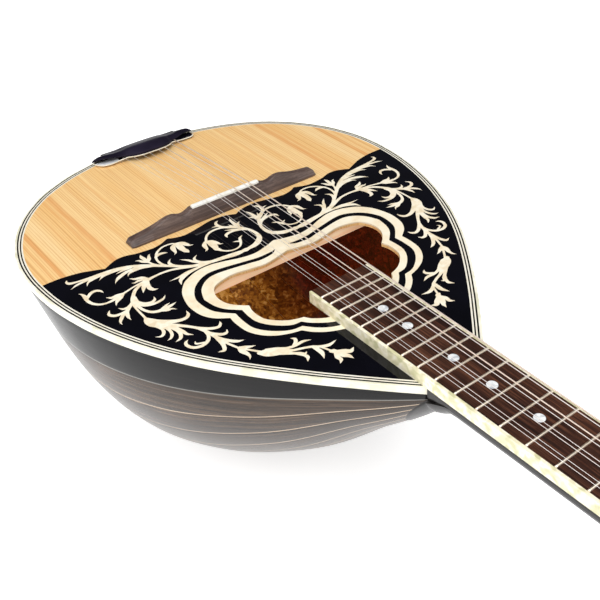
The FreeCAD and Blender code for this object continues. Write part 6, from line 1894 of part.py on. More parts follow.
def tuner_plate(x0):
    sheet_part = Part.makeBox(16.0, 108.0, PLATE_THICK, V(x0 - 8.0, 11.5, PLATE_LOW))
    lugs = []
    for u in ROW:
        for x in (x0 - LUG_X, x0 + LUG_X):
            lugs.append(Part.makeBox(
                2 * LUG_HALF, 2 * LUG_WIDE_HALF,
                (PLATE_LOW + 0.2) - (GEAR_MID - LUG_WIDE_HALF),
                V(x - LUG_HALF, u + WORM_AWAY - LUG_WIDE_HALF, GEAR_MID - LUG_WIDE_HALF)))
    holes = []
    for u in ROW:
        holes.append(rod_z(POST_RADIUS + RUN_GAP, 6, x0, u, PLATE_TOP - 4))
        holes.append(rod_x(SHAFT_RADIUS + RUN_GAP, 20, x0 - 10, u + WORM_AWAY, GEAR_MID))
    for u in PLATE_SCREWS:
        holes.append(rod_z(1.2, 6, x0, u, PLATE_TOP - 4))
    return sheet_part.fuse(lugs).cut(Part.makeCompound(holes)).removeSplitter()


feature("tuner_plates", Part.makeCompound([tuner_plate(POST_X), tuner_plate(-POST_X)]), HEAD)

# Small round-head wood screws: ten hold the tuner plates, two hold the truss-rod cover.
small = []
for sign in (1, -1):
    x = sign * POST_X
    for u in PLATE_SCREWS:
        ball = Part.makeSphere(2.1, V(x, u, PLATE_LOW + 0.5))
        ball = ball.common(box(x - 3, x + 3, u - 3, u + 3, PLATE_LOW - 5, PLATE_LOW - 0.02))
        small.append(rod_z(1.05, 8.0, x, u, PLATE_LOW - 0.3).fuse(ball).removeSplitter())
seat = VENEER + 0.02 + ROD_COVER_THICK
for x, u in COVER_SCREWS:
    ball = Part.makeSphere(1.9, V(x, u, seat - 0.6))
    ball = ball.common(box(x - 3, x + 3, u - 3, u + 3, seat + 0.02, seat + 5))
    small.append(rod_z(0.9, 6.2, x, u, seat - 6.0).fuse(ball).removeSplitter())
feature("small_screws", Part.makeCompound(small), HEAD)

bushings = []
for x, u in POSTS:
    bushing = rod_z(4.2, 7.5, x, u, -6.0).fuse(rod_z(5.2, 1.0, x, u, VENEER + 0.03))
    bushing = bushing.fuse(rod_z(4.2, 2.0, x, u, 0.5))
    bushing = bushing.cut(rod_z(POST_RADIUS + RUN_GAP, 20, x, u, -10))
    bushings.append(bushing.removeSplitter())
feature("post_bushings", Part.makeCompound(bushings), HEAD)


def worm_shape():
    """Right-handed worm about the X axis, centred on x = 0."""
    helix = Part.makeHelix(LEAD, WORM_LONG, CORE_RADIUS)
    root = CORE_RADIUS - 0.12
    tooth = polygon([V(root, 0, -0.52), V(THREAD_RADIUS, 0, -0.26),
                     V(THREAD_RADIUS, 0, 0.26), V(root, 0, 0.52)])
    sweep = Part.BRepOffsetAPI.MakePipeShell(Part.Wire(helix.Edges))
    sweep.setFrenetMode(True)
    sweep.add(tooth, False, False)
    sweep.build()
    sweep.makeSolid()
    thread = sweep.shape()
    thread.translate(V(0, 0, -WORM_LONG / 2.0))
    core = rod_z(CORE_RADIUS, WORM_LONG + 1.4, 0, 0, -WORM_LONG / 2.0 - 0.7)
    reach = LUG_X - LUG_HALF - 0.25
    worm = core.fuse(thread).common(rod_z(5.0, 2 * reach, 0, 0, -reach)).removeSplitter()
    # Helix Z goes to X, helix X to Y and helix Y to Z.
    worm.Placement = FreeCAD.Placement(FreeCAD.Matrix(0, 0, 1, 0,
                                                      1, 0, 0, 0,
                                                      0, 1, 0, 0,
                                                      0, 0, 0, 1))
    # At x = 0 the thread must face -Y, into the gear.
    mid_angle = ((WORM_LONG / 2.0) / LEAD * 360.0) % 360.0
    worm.rotate(V(0, 0, 0), V(1, 0, 0), 180.0 - mid_angle)
    return worm


def gear_shape():
    floor = dim("gear_floor")
    teeth = dim("gear_teeth")
    gear = rod_z(GEAR_RADIUS, GEAR_THICK, 0, 0, GEAR_LOW)
    pitch_radius = 0.5 * (CORE_RADIUS + THREAD_RADIUS)
    lead_angle = math.degrees(math.atan(LEAD / (2 * math.pi * pitch_radius)))
    half_in, half_out = 1.34 / 2, 1.78 / 2
    gaps = []
    for k in range(int(teeth)):
        wedge = polygon([V(-half_in, floor, -4), V(half_in, floor, -4),
                         V(half_out, GEAR_RADIUS + 0.6, -4),
                         V(-half_out, GEAR_RADIUS + 0.6, -4)])
        gap = Part.Face(wedge).extrude(V(0, 0, 8))
        gap.rotate(V(0, 0, 0), V(0, 1, 0), -lead_angle)
        gap.translate(V(0, 0, GEAR_MID))
        gap.rotate(V(0, 0, 0), V(0, 0, 1), -360.0 * k / teeth)
        gaps.append(gap)
    return gear.cut(Part.makeCompound(gaps)).cut(rod_z(2.0, 10, 0, 0, GEAR_MID - 5))


def gear_screw_shape():
    """Slotted screw that holds the gear on the post."""
    screw = rod_z(1.2, 6.0, 0, 0, GEAR_LOW - 0.1).fuse(rod_z(2.9, 1.1, 0, 0, GEAR_LOW - 1.12))
    return screw.cut(box(-4, 4, -0.35, 0.35, GEAR_LOW - 1.3, GEAR_LOW - 0.62)).removeSplitter()


def post_shape():
    waist_z = VENEER + 7.0
    foot_z = GEAR_TOP + 0.02
    post = rod_z(POST_RADIUS, (VENEER + dim("post_up")) - foot_z, 0, 0, foot_z)
    post = post.fuse(rod_z(1.98, GEAR_THICK + 0.1, 0, 0, GEAR_LOW))
    post = post.cut(rod_z(1.22, 8.0, 0, 0, GEAR_LOW - 0.2))
    post = post.cut(Part.makeTorus(POST_RADIUS + 1.7, 2.2, V(0, 0, waist_z)))
    return post.cut(rod_x(0.75, 12, -6, 0, waist_z)).removeSplitter()


def shaft_and_button(sign, worm):
    """Worm shaft with its collar, and the button, reaching out to the side given by sign."""
    start, length, thick = dim("button_start"), dim("button_length"), dim("button_thick")
    wide_half = dim("button_wide") / 2
    stub = LUG_X + 2.2
    spindle = rod_x(SHAFT_RADIUS, stub + start + 6.0, -stub, 0, 0)
    spindle = spindle.fuse(rod_x(2.6, 1.4, start - 1.5, 0, 0))
    if sign < 0:
        spindle.rotate(V(0, 0, 0), V(0, 0, 1), 180.0)
    spindle = worm.copy().fuse(spindle).removeSplitter()
    # Oval plan with a flat root.
    side = [(0.0, 3.2), (2.5, 5.2), (6.5, wide_half), (10.5, wide_half - 0.5), (13.6, 4.3),
            (length, 2.0)]
    oval = side + [(x, -y) for x, y in reversed(side)]
    knob = Part.Face(polygon([V(start + x, y, -thick / 2) for x, y in oval]))
    knob = knob.extrude(V(0, 0, thick))
    rim = [e for e in knob.Edges
           if abs(e.BoundBox.ZMax - e.BoundBox.ZMin) < 1e-6 and e.BoundBox.XMin > start + 0.5]
    knob = knob.makeFillet(1.9, rim)
    knob = knob.cut(rod_x(SHAFT_RADIUS + 0.01, 7.0, start - 1, 0, 0))
    if sign < 0:
        knob.rotate(V(0, 0, 0), V(0, 0, 1), 180.0)
    return spindle, knob


worm = worm_shape()
gear = gear_shape()
gear_screw = gear_screw_shape()
post = post_shape()
shafts = {sign: shaft_and_button(sign, worm) for sign in (1, -1)}
for n, (x, u) in enumerate(POSTS, start=1):
    sign = 1 if x > 0 else -1
    at_post = HEAD.multiply(placed(x, u, 0))
    feature("tuner_post_%d" % n, post.copy(), at_post)
    feature("tuner_gear_%d" % n, Part.makeCompound([gear.copy(), gear_screw.copy()]), at_post)
    at_worm = HEAD.multiply(placed(x, u + WORM_AWAY, GEAR_MID))
    feature("tuner_shaft_%d" % n,
            Part.makeCompound([piece.copy() for piece in shafts[sign]]), at_worm)

# ------------------------------------------------------------------ checks and export
doc.recompute()
for obj in doc.Objects:
    bad = [state for state in obj.State if state in ("Invalid", "Error")]
    if bad:
        raise RuntimeError("object %s is %s" % (obj.Label, bad))
names = [obj.Label for obj in parts]
if len(set(names)) != len(names) or len(names) > 60:
    raise RuntimeError("names: %d" % len(names))
faults = [obj.Label for obj in parts
          if obj.Shape.isNull() or not obj.Shape.isValid() or not obj.Shape.Solids]
if faults:
    raise RuntimeError("bad shapes: %s" % faults)
os.makedirs("parts", exist_ok=True)
for obj in parts:
    obj.Shape.exportStep("parts/%s.step" % obj.Label)
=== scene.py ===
# Bouzouki: meshes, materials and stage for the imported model.
# Lengths are millimetres in the design frame of the instrument: x to the treble side, y from tail
# to head, z out of the soundboard, y = 0 at the saddle line.  The head has its own tilted frame.
# to_row() carries design points to the row frame, which is in metres.
import math
import random

import bmesh
import bpy
import numpy as np
from mathutils import Matrix, Vector

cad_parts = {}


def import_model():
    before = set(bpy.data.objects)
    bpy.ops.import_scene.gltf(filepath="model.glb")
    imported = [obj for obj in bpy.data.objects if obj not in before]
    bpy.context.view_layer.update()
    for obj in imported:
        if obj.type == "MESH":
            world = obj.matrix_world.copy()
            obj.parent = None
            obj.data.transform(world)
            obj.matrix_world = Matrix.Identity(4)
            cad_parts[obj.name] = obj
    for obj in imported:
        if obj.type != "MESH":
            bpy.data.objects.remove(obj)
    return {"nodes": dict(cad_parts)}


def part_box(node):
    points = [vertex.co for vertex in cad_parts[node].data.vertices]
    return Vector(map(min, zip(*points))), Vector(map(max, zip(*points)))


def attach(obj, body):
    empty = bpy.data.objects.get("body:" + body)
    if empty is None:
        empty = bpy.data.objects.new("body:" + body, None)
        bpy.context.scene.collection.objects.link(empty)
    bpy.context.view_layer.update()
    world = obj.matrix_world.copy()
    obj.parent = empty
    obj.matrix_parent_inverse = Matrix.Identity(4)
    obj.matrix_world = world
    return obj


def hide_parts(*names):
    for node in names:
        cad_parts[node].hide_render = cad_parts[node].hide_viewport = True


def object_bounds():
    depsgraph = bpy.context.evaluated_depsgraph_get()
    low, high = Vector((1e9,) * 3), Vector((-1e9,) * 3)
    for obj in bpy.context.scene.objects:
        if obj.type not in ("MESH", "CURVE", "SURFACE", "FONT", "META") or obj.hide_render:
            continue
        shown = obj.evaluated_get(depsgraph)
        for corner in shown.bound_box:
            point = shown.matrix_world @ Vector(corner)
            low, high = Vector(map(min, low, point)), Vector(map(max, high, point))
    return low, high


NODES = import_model()["nodes"]
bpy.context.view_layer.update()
random.seed(7)

# ------------------------------------------------------------------ frames
SCALE_LENGTH = 670.0  # saddle line to nut
ORIGIN_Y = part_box("nut")[0].y * 1000.0 - SCALE_LENGTH
ORIGIN_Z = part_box("soundboard")[1].z * 1000.0
HEAD_Y = 675.2  # where the face of the head begins
HEAD_TILT = math.radians(12.0)
NECK_Y = 233.5  # where the bowl and the rim end at the neck


def to_row(points):
    """Design millimetres to row metres."""
    return (points + np.array([0.0, ORIGIN_Y, ORIGIN_Z])) / 1000.0


def from_head(points):
    """Head frame (x, u along the head, w out of its face) to design millimetres."""
    points = np.asarray(points, float)
    x, along, out = points[..., 0], points[..., 1], points[..., 2]
    cos, sin = math.cos(HEAD_TILT), math.sin(HEAD_TILT)
    return np.stack([x, HEAD_Y + along * cos + out * sin, -along * sin + out * cos], -1)


# ------------------------------------------------------------------ node materials
MATERIALS = {}


def linear(rgb):
    """8-bit sRGB to linear RGBA."""
    out = []
    for value in rgb:
        value = value / 255.0
        out.append(value / 12.92 if value <= 0.04045 else ((value + 0.055) / 1.055) ** 2.4)
    return tuple(out) + (1.0,)


class Shader:
    """A Principled material, filed in MATERIALS, and the nodes that feed it."""

    SOCKETS = {"color": "Base Color", "rough": "Roughness", "metal": "Metallic",
               "spec": "Specular IOR Level", "coat": "Coat Weight",
               "coat_rough": "Coat Roughness", "sheen": "Sheen Weight", "normal": "Normal",
               "emit": "Emission Strength", "emit_color": "Emission Color"}

    def __init__(self, name):
        material = MATERIALS[name] = bpy.data.materials.new(name)
        material.use_nodes = True
        self.tree = material.node_tree
        self.tree.nodes.clear()
        output = self.tree.nodes.new("ShaderNodeOutputMaterial")
        self.bsdf = self.tree.nodes.new("ShaderNodeBsdfPrincipled")
        self.tree.links.new(self.bsdf.outputs[0], output.inputs[0])

    def put(self, socket, value):
        if isinstance(value, bpy.types.NodeSocket):
            self.tree.links.new(value, socket)
        else:
            socket.default_value = value

    def set(self, **values):
        for key, value in values.items():
            self.put(self.bsdf.inputs[self.SOCKETS[key]], value)

    def node(self, kind, inputs, **props):
        node = self.tree.nodes.new(kind)
        for key, value in props.items():
            setattr(node, key, value)
        for key, value in inputs.items():
            self.put(node.inputs[key], value)
        return node

    def scale(self, vec, factors):
        return self.node("ShaderNodeVectorMath", {0: vec, 1: factors},
                         operation="MULTIPLY").outputs[0]

    def shift(self, vec, offset):
        return self.node("ShaderNodeVectorMath", {0: vec, 1: offset}, operation="ADD").outputs[0]

    def coords(self):
        """Object coordinates in design millimetres."""
        metres = self.node("ShaderNodeTexCoord", {}).outputs["Object"]
        return self.shift(self.scale(metres, (1000.0, 1000.0, 1000.0)),
                          (0.0, -ORIGIN_Y, -ORIGIN_Z))

    def attribute(self, name, output):
        return self.node("ShaderNodeAttribute", {}, attribute_name=name).outputs[output]

    def noise(self, vec, scale=1.0, detail=2.0, rough=0.55):
        return self.node("ShaderNodeTexNoise", {"Vector": vec, "Scale": scale, "Detail": detail,
                                                "Roughness": rough}).outputs["Fac"]

    def warp(self, vec, amount, scale, detail):
        """Push the coordinates about by up to amount."""
        color = self.node("ShaderNodeTexNoise",
                          {"Vector": vec, "Scale": scale, "Detail": detail}).outputs["Color"]
        return self.shift(vec, self.scale(color, (amount, amount, amount)))

    def cells(self, vec, scale, feature="F1"):
        """The three colour channels of a Voronoi pattern."""
        return self.split(self.node("ShaderNodeTexVoronoi", {"Vector": vec, "Scale": scale},
                                    feature=feature).outputs["Color"])

    def math(self, operation, first, second=0.0):
        return self.node("ShaderNodeMath", {0: first, 1: second, 2: 0.0},
                         operation=operation).outputs[0]

    def add(self, first, second):
        return self.math("ADD", first, second)

    def sub(self, first, second):
        return self.math("SUBTRACT", first, second)

    def mul(self, first, second):
        return self.math("MULTIPLY", first, second)

    def split(self, vec):
        return tuple(self.node("ShaderNodeSeparateXYZ", {0: vec}).outputs)

    def join(self, x, y, z):
        return self.node("ShaderNodeCombineXYZ", {0: x, 1: y, 2: z}).outputs[0]

    def ramp(self, value, stops):
        """Colour ramp; each stop is (position, sRGB colour or grey level)."""
        node = self.node("ShaderNodeValToRGB", {0: value})
        elements = node.color_ramp.elements
        while len(elements) < len(stops):
            elements.new(0.5)
        for element, (position, color) in zip(elements, stops):
            element.position = position
            if isinstance(color, tuple):
                element.color = linear(color)
            else:
                element.color = (color, color, color, 1.0)
        return node.outputs[0]

    def fade(self, value, start, end):
        """0 below start, 1 above end."""
        return self.ramp(value, [(start, 0.0), (end, 1.0)])

    def mix(self, factor, first, second):
        node = self.node("ShaderNodeMix", {0: factor}, data_type="RGBA")
        for socket, color in ((node.inputs[6], first), (node.inputs[7], second)):
            self.put(socket, linear(color) if isinstance(color, tuple) else color)
        return node.outputs[2]

    def bump(self, height, strength, distance):
        return self.node("ShaderNodeBump", {"Height": height, "Strength": strength,
                                            "Distance": distance}).outputs[0]


def wood(name, dark, mid, light, along="y", rough=0.32, spec=0.5, coat=0.0, coat_rough=0.08,
         fine=1.0, contrast=1.0, pores=True, stave=False, tone=False, painted_glow=0.0):
    """Open-grained wood: streaks along one axis, short dark pores and slow colour drift.

    stave takes the coordinates from the mesh attribute "grain", tone darkens by "tone".
    """
    def stretch(factor):
        return tuple(factor if axis == along else 1.0 for axis in "xyz")

    mat = Shader(name)
    vec = mat.attribute("grain", "Vector") if stave else mat.coords()
    streaks = mat.scale(vec, stretch(0.010))
    wobble = mat.noise(mat.scale(vec, (0.02, 0.02, 0.02)))
    streaks = mat.shift(streaks, mat.join(*[mat.mul(wobble, 2.2) for _ in range(3)]))
    broad = mat.noise(streaks, scale=0.55 * fine, detail=4.0, rough=0.62)
    narrow = mat.noise(streaks, scale=2.4 * fine, detail=3.0, rough=0.6)
    drift = mat.noise(mat.scale(vec, (0.03, 0.012, 0.03)))
    value = mat.add(mat.mul(broad, 0.62), mat.mul(narrow, 0.38))
    value = mat.add(value, mat.mul(mat.sub(drift, 0.5), 0.35))
    color = mat.ramp(value, [(0.5 - 0.19 / contrast, dark), (0.5, mid),
                             (0.5 + 0.17 / contrast, light)])
    if tone:
        color = mat.mix(mat.mul(mat.attribute("tone", "Fac"), 0.5), color, dark)
    height = narrow
    if pores:
        specks = mat.noise(mat.scale(vec, stretch(0.06)), scale=3.0 * fine, rough=0.5)
        specks = mat.fade(specks, start=0.60, end=0.68)
        color = mat.mix(mat.mul(specks, 0.55), color, tuple(int(part * 0.55) for part in dark))
        height = mat.sub(height, mat.mul(specks, 0.8))
    mat.set(color=color, rough=mat.add(mat.mul(broad, 0.12), rough - 0.06),
            normal=mat.bump(height, strength=0.18, distance=0.0001),
            spec=spec, coat=coat, coat_rough=coat_rough)
    # painted light: the wood glows with its own colour though it is no lamp
    if painted_glow:
        mat.set(emit_color=color, emit=painted_glow)


# Darker streaks in the soundboard: distance from the middle joint, width, strength.
HEART_STREAKS = [(96.0, 2.6, 0.62), (101.5, 1.1, 0.40), (131.0, 1.8, 0.66), (137.0, 0.9, 0.40),
                 (64.0, 0.9, 0.34), (78.0, 0.8, 0.22), (112.0, 0.8, 0.30), (40.0, 0.7, 0.22)]


def spruce(name):
    """Bookmatched spruce: both halves mirror each other about x = 0."""
    mat = Shader(name)
    x, y, _ = mat.split(mat.coords())

    def field(across, kx, ky, layer, **noise):
        """Noise stretched by kx across the grain and ky along it."""
        return mat.noise(mat.join(mat.mul(across, kx), mat.mul(y, ky), layer), **noise)

    wobble = field(x, kx=0.03, ky=0.006, layer=0.0)
    across = mat.add(mat.math("ABSOLUTE", x), mat.mul(mat.sub(wobble, 0.5), 3.0))
    # growth lines: the power spaces them unevenly between the middle joint and the rim
    rings = mat.mul(mat.math("POWER", mat.math("DIVIDE", across, 150.0), 0.82), 84.0)
    uneven = mat.noise(mat.join(mat.mul(across, 0.11), 0.0, 3.0))
    rings = mat.add(rings, mat.mul(uneven, 5.0))
    late = mat.ramp(mat.math("FRACT", rings),
                    [(0.0, 0.05), (0.62, 0.22), (0.86, 1.0), (0.93, 1.0), (1.0, 0.05)])
    strength = field(across, kx=0.21, ky=0.003, layer=5.0, detail=3.0)
    late = mat.mul(late, mat.ramp(strength, [(0.35, 0.35), (0.65, 1.0)]))
    color = mat.ramp(field(across, kx=0.052, ky=0.0022, layer=1.0, detail=3.0, rough=0.5),
                     [(0.30, (247, 200, 130)), (0.44, (251, 210, 144)),
                      (0.56, (254, 218, 156)), (0.70, (255, 224, 168))])
    fibre = field(x, kx=1.3, ky=0.035, layer=0.0, detail=3.0, rough=0.6)
    fibre = mat.fade(fibre, start=0.42, end=0.66)
    color = mat.mix(mat.mul(fibre, 0.28), color, (232, 176, 106))
    # medullary flecks: short pale dashes across the grain
    flecks = field(x, kx=0.20, ky=0.9, layer=9.0, rough=0.5)
    flecks = mat.fade(flecks, start=0.58, end=0.70)
    color = mat.mix(mat.mul(flecks, 0.20), color, (255, 228, 180))
    color = mat.mix(mat.mul(late, 0.72), color, (204, 134, 66))
    drift = mat.sub(mat.noise(mat.join(0.0, mat.mul(y, 0.012), 4.0)), 0.5)
    streak_x = mat.add(across, mat.mul(drift, 5.0))
    for centre, width, strength in HEART_STREAKS:
        away = mat.math("DIVIDE", mat.sub(streak_x, centre), width)
        mask = mat.math("POWER", 2.718, mat.mul(mat.mul(away, away), -1.0))
        broken = field(x, kx=0.8, ky=0.02, layer=centre)
        mask = mat.mul(mask, mat.ramp(broken, [(0.30, 0.55), (0.62, 1.0)]))
        color = mat.mix(mat.mul(mask, strength), color, (222, 140, 62))
    mat.set(color=color, rough=0.30, spec=0.45, coat=0.35, coat_rough=0.06,
            normal=mat.bump(mat.sub(0.0, late), strength=0.10, distance=0.00008))


def amber(name):
    """Lining of the bowl: glossy gold flakes that turn dark red towards the bass side."""
    mat = Shader(name)
    vec = mat.coords()
    x = mat.split(vec)[0]
    warped = mat.warp(vec, amount=3.0, scale=0.12, detail=2.0)
    large = mat.cells(mat.scale(warped, (1.0, 0.7, 1.0)), scale=0.26)[0]
    small = mat.cells(mat.scale(warped, (0.8, 0.9, 1.0)), scale=0.55)[1]
    cloud = mat.noise(warped, scale=0.05, detail=4.0, rough=0.6)
    value = mat.add(mat.mul(large, 0.40), mat.add(mat.mul(small, 0.34), mat.mul(cloud, 0.34)))
    gold = mat.ramp(value, [(0.20, (74, 40, 8)), (0.40, (122, 74, 16)), (0.56, (160, 104, 30)),
                            (0.74, (204, 146, 56)), (0.92, (238, 196, 110))])
    red = mat.ramp(value, [(0.20, (40, 5, 3)), (0.45, (56, 9, 5)), (0.65, (74, 16, 8)),
                           (0.90, (100, 32, 14))])
    # all red at x = -86, all gold at x = -34, with a cloudy border
    border = mat.add(x, mat.mul(mat.sub(cloud, 0.5), 40.0))
    side = mat.node("ShaderNodeMapRange", {0: border, 1: -86.0, 2: -34.0}).outputs[0]
    color = mat.mix(side, red, gold)
    # the emission is painted light: the lining glows with its own colour inside the shaded bowl
    mat.set(color=color, rough=0.22, spec=0.4, coat=0.4, coat_rough=0.08,
            emit_color=color, emit=0.34)


def gloss(name, base, tint, rough, spec):
    """Polished dark sheet with a hint of haze and fine polishing scratches."""
    mat = Shader(name)
    vec = mat.coords()
    haze = mat.noise(vec, scale=0.035, detail=3.0, rough=0.5)
    fine = mat.noise(mat.scale(vec, (1.0, 0.22, 1.0)), scale=2.2, detail=4.0, rough=0.7)
    mat.set(color=mat.mix(mat.fade(haze, start=0.35, end=0.70), base, tint),
            rough=mat.add(rough, mat.mul(fine, 0.06)), spec=spec, coat=0.0, coat_rough=0.03,
            normal=mat.bump(haze, strength=0.04, distance=0.0004))


def pearl(name, light, mid, dark, scale, rough, coat, mottle):
    """Pearl pattern sheet: soft cloudy cells with a faint change of tint."""
    mat = Shader(name)
    warped = mat.warp(mat.coords(), amount=7.0, scale=0.09, detail=3.0)
    cell = mat.cells(warped, scale, feature="SMOOTH_F1")[0]
    cloud = mat.noise(warped, scale=0.22, detail=4.0, rough=0.6)
    value = mat.add(mat.mul(cell, mottle), mat.mul(cloud, 1.0 - mottle))
    mat.set(color=mat.ramp(value, [(0.25, dark), (0.45, mid), (0.66, light), (0.80, mid)]),
            rough=mat.add(rough, mat.mul(cloud, 0.10)),
            coat=coat, coat_rough=0.05, spec=0.5, sheen=0.05)


def metal(name, base, tint, rough, brush, spots, metallic):
    """Plated or bright metal: brushed streaks, slight tarnish in patches."""
    mat = Shader(name)
    vec = mat.coords()
    streaks = mat.noise(mat.scale(vec, brush), scale=3.0, detail=4.0, rough=0.7)
    tarnish = mat.noise(vec, scale=0.28, detail=3.0, rough=0.6)
    tarnish = mat.mul(mat.fade(tarnish, start=0.45, end=0.72), spots)
    mat.set(color=mat.mix(tarnish, base, tint), metal=metallic,
            rough=mat.add(rough - 0.06, mat.mul(streaks, 0.16)),
            normal=mat.bump(streaks, strength=0.05, distance=0.00005))


spruce("spruce_top")
# braces and blocks glow as painted light, which lifts their shaded edges
wood("brace_spruce", (222, 176, 132), (240, 204, 168), (250, 222, 190), along="x", rough=0.6,
     pores=False, contrast=0.8, painted_glow=0.48)
amber("amber_lining")

# name, base, tint, roughness, specular level
for row in [("black_pickguard", (4, 4, 10), (8, 8, 18), 0.02, 0.34),
            ("black_line", (14, 13, 14), (24, 22, 22), 0.15, 0.42),
            ("black_head_veneer", (9, 9, 11), (16, 15, 18), 0.06, 0.42),
            ("black_cover", (20, 17, 29), (36, 31, 48), 0.34, 0.07)]:
    gloss(*row)

# name, light, mid, dark, cell scale, roughness, coat, share of cells against cloud
for row in [
    ("ring_cream", (255, 246, 224), (252, 238, 208), (243, 222, 186), 0.10, 0.16, 0.5, 0.4),
    ("vine_cream", (255, 247, 226), (250, 236, 208), (236, 218, 184), 0.30, 0.18, 0.4, 0.5),
    ("binding_pearl", (253, 250, 236), (246, 241, 220), (226, 223, 196), 0.13, 0.18, 0.4, 0.6),
    ("binding_pearl_board", (252, 246, 226), (240, 232, 198), (212, 208, 164),
     0.30, 0.18, 0.4, 0.72),
    ("white_line", (250, 246, 232), (246, 240, 222), (236, 228, 206), 0.2, 0.2, 0.4, 0.3),
    ("dot_pearl", (250, 252, 252), (226, 230, 232), (196, 200, 206), 0.45, 0.12, 0.8, 0.7),
    ("button_pearl", (248, 244, 232), (232, 226, 208), (206, 198, 176), 0.20, 0.14, 0.8, 0.6),
    ("bone_white", (255, 254, 250), (250, 248, 240), (240, 236, 224), 0.3, 0.28, 0.3, 0.3),
    # painted highlight: plain white standing in for lit nickel under the treble wing
    ("bright_ledge", (250, 250, 252), (236, 237, 240), (214, 216, 220), 0.2, 0.2, 0.3, 0.4),
]:
    pearl(*row)

EBONISED = ((10, 9, 10), (16, 15, 16), (26, 24, 24))
wood("rosewood_board", (24, 10, 7), (58, 30, 20), (104, 64, 44), rough=0.40, fine=2.0,
     contrast=1.4, spec=0.28)
wood("bridge_wood", (54, 40, 36), (86, 68, 62), (122, 102, 92), along="x", rough=0.42, fine=1.3)
wood("walnut_ribs", (34, 26, 20), (62, 49, 40), (98, 78, 62), rough=0.26, stave=True, tone=True,
     fine=0.8, spec=0.25, coat=0.08, coat_rough=0.12, contrast=1.35)
wood("ebonised_side", *EBONISED, rough=0.22, stave=True, fine=0.8, spec=0.22, coat=0.05,
     coat_rough=0.10)
wood("ebonised_cap", *EBONISED, along="x", rough=0.24, fine=0.8, spec=0.22, coat=0.05)
wood("maple_lines", (158, 134, 110), (186, 162, 136), (208, 188, 162), rough=0.34, stave=True,
     pores=False, coat=0.2)
wood("maple_line_rim", (96, 94, 90), (120, 118, 112), (140, 138, 130), rough=0.34, stave=True,
     pores=False, coat=0.2)
wood("dark_neck", (20, 19, 19), (31, 29, 28), (46, 43, 41), rough=0.30, fine=0.8, coat=0.08,
     coat_rough=0.15, spec=0.28)

# name, base, tarnish, roughness, stretch of the brushing, strength of tarnish, metallic
for row in [
    ("nickel_plate", (206, 202, 194), (170, 158, 138), 0.20, (1.0, 0.12, 1.0), 0.25, 1.0),
    ("fret_metal", (246, 234, 216), (222, 196, 160), 0.26, (0.15, 1.0, 1.0), 0.45, 1.0),
    ("bright_steel", (214, 214, 212), (170, 168, 164), 0.18, (1.0, 0.1, 1.0), 0.3, 1.0),
    ("string_steel", (250, 244, 240), (236, 224, 214), 0.34, (1.0, 0.05, 1.0), 0.35, 0.75),
    ("string_winding", (246, 230, 216), (226, 198, 172), 0.36, (1.0, 0.3, 1.0), 0.4, 0.75),
    ("brass_gear", (204, 166, 92), (150, 108, 52), 0.26, (1.0, 1.0, 1.0), 0.5, 1.0),
]:
    metal(*row)

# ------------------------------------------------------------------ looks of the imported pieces
NODE_MATERIALS = {
    "spruce_top": "soundboard",
    "brace_spruce": "soundboard_braces rim_lining neck_block tail_block",
    "amber_lining": "bowl_lining",
    "black_pickguard": "pickguard",
    "ring_cream": "soundhole_rings",
    "vine_cream": "vine_inlay",
    "binding_pearl": "rim_binding truss_rod_cover",
    "binding_pearl_board": "fretboard_binding",
    "white_line": "rim_purfling",
    "rosewood_board": "fretboard",
    "bridge_wood": "bridge",
    "bone_white": "saddle nut",
    "dot_pearl": "fret_dots",
    "fret_metal": "frets",
    "dark_neck": "neck",
    "ebonised_cap": "tail_cap side_cap bowl_ribs",
    "maple_lines": "rib_lines",
    "black_head_veneer": "headstock_veneer",
    "black_cover": "tailpiece_cover",
    "nickel_plate": "tailpiece_plate tailpiece_screws strap_button strap_button_screw "
                    "tuner_plates small_screws post_bushings",
    "bright_steel": "truss_rod",
    "string_steel": "plain_strings",
    "string_winding": "wound_strings",
}


def give(names, material):
    """Put a material in every slot of the named nodes."""
    for name in names.split():
        obj = NODES[name]
        if not obj.material_slots:
            obj.data.materials.append(MATERIALS[material])
        for slot in obj.material_slots:
            slot.material = MATERIALS[material]


def soften(names, width):
    """Ease the outer edges of flat-sided pieces."""
    for name in names.split():
        bevel = NODES[name].modifiers.new("eased_edge", "BEVEL")
        bevel.width = width / 1000.0
        bevel.segments = 3
        bevel.limit_method = "ANGLE"
        bevel.angle_limit = math.radians(50.0)
        bevel.use_clamp_overlap = True
        bevel.harden_normals = False


for material, names in NODE_MATERIALS.items():
    give(names, material)
for k in range(1, 9):
    give("tuner_post_%d" % k, "nickel_plate")
    give("tuner_gear_%d" % k, "brass_gear")
    give("tuner_shaft_%d" % k, "bright_steel")

soften("fretboard_binding nut", width=0.45)
soften("headstock_veneer truss_rod_cover", width=0.25)
soften("tuner_plates tailpiece_plate", width=0.15)


# ------------------------------------------------------------------ mesh helpers
class Shells:
    """Closed shells gathered into one mesh, with grain and tone per vertex where given."""

    def __init__(self, *shell):
        self.verts, self.faces, self.grain, self.tone = [], [], [], []
        if shell:
            self.add(*shell)

    def add(self, verts, faces, grain=None, tone=0.0):
        first = sum(map(len, self.verts))
        self.verts.append(verts)
        self.faces += [tuple(i + first for i in face) for face in faces]
        if grain is not None:
            self.grain.append(grain.reshape(-1, 3))
            self.tone.append(np.full(len(verts), tone))


def add_object(name, data):
    obj = bpy.data.objects.new(name, data)
    bpy.context.scene.collection.objects.link(obj)
    return obj


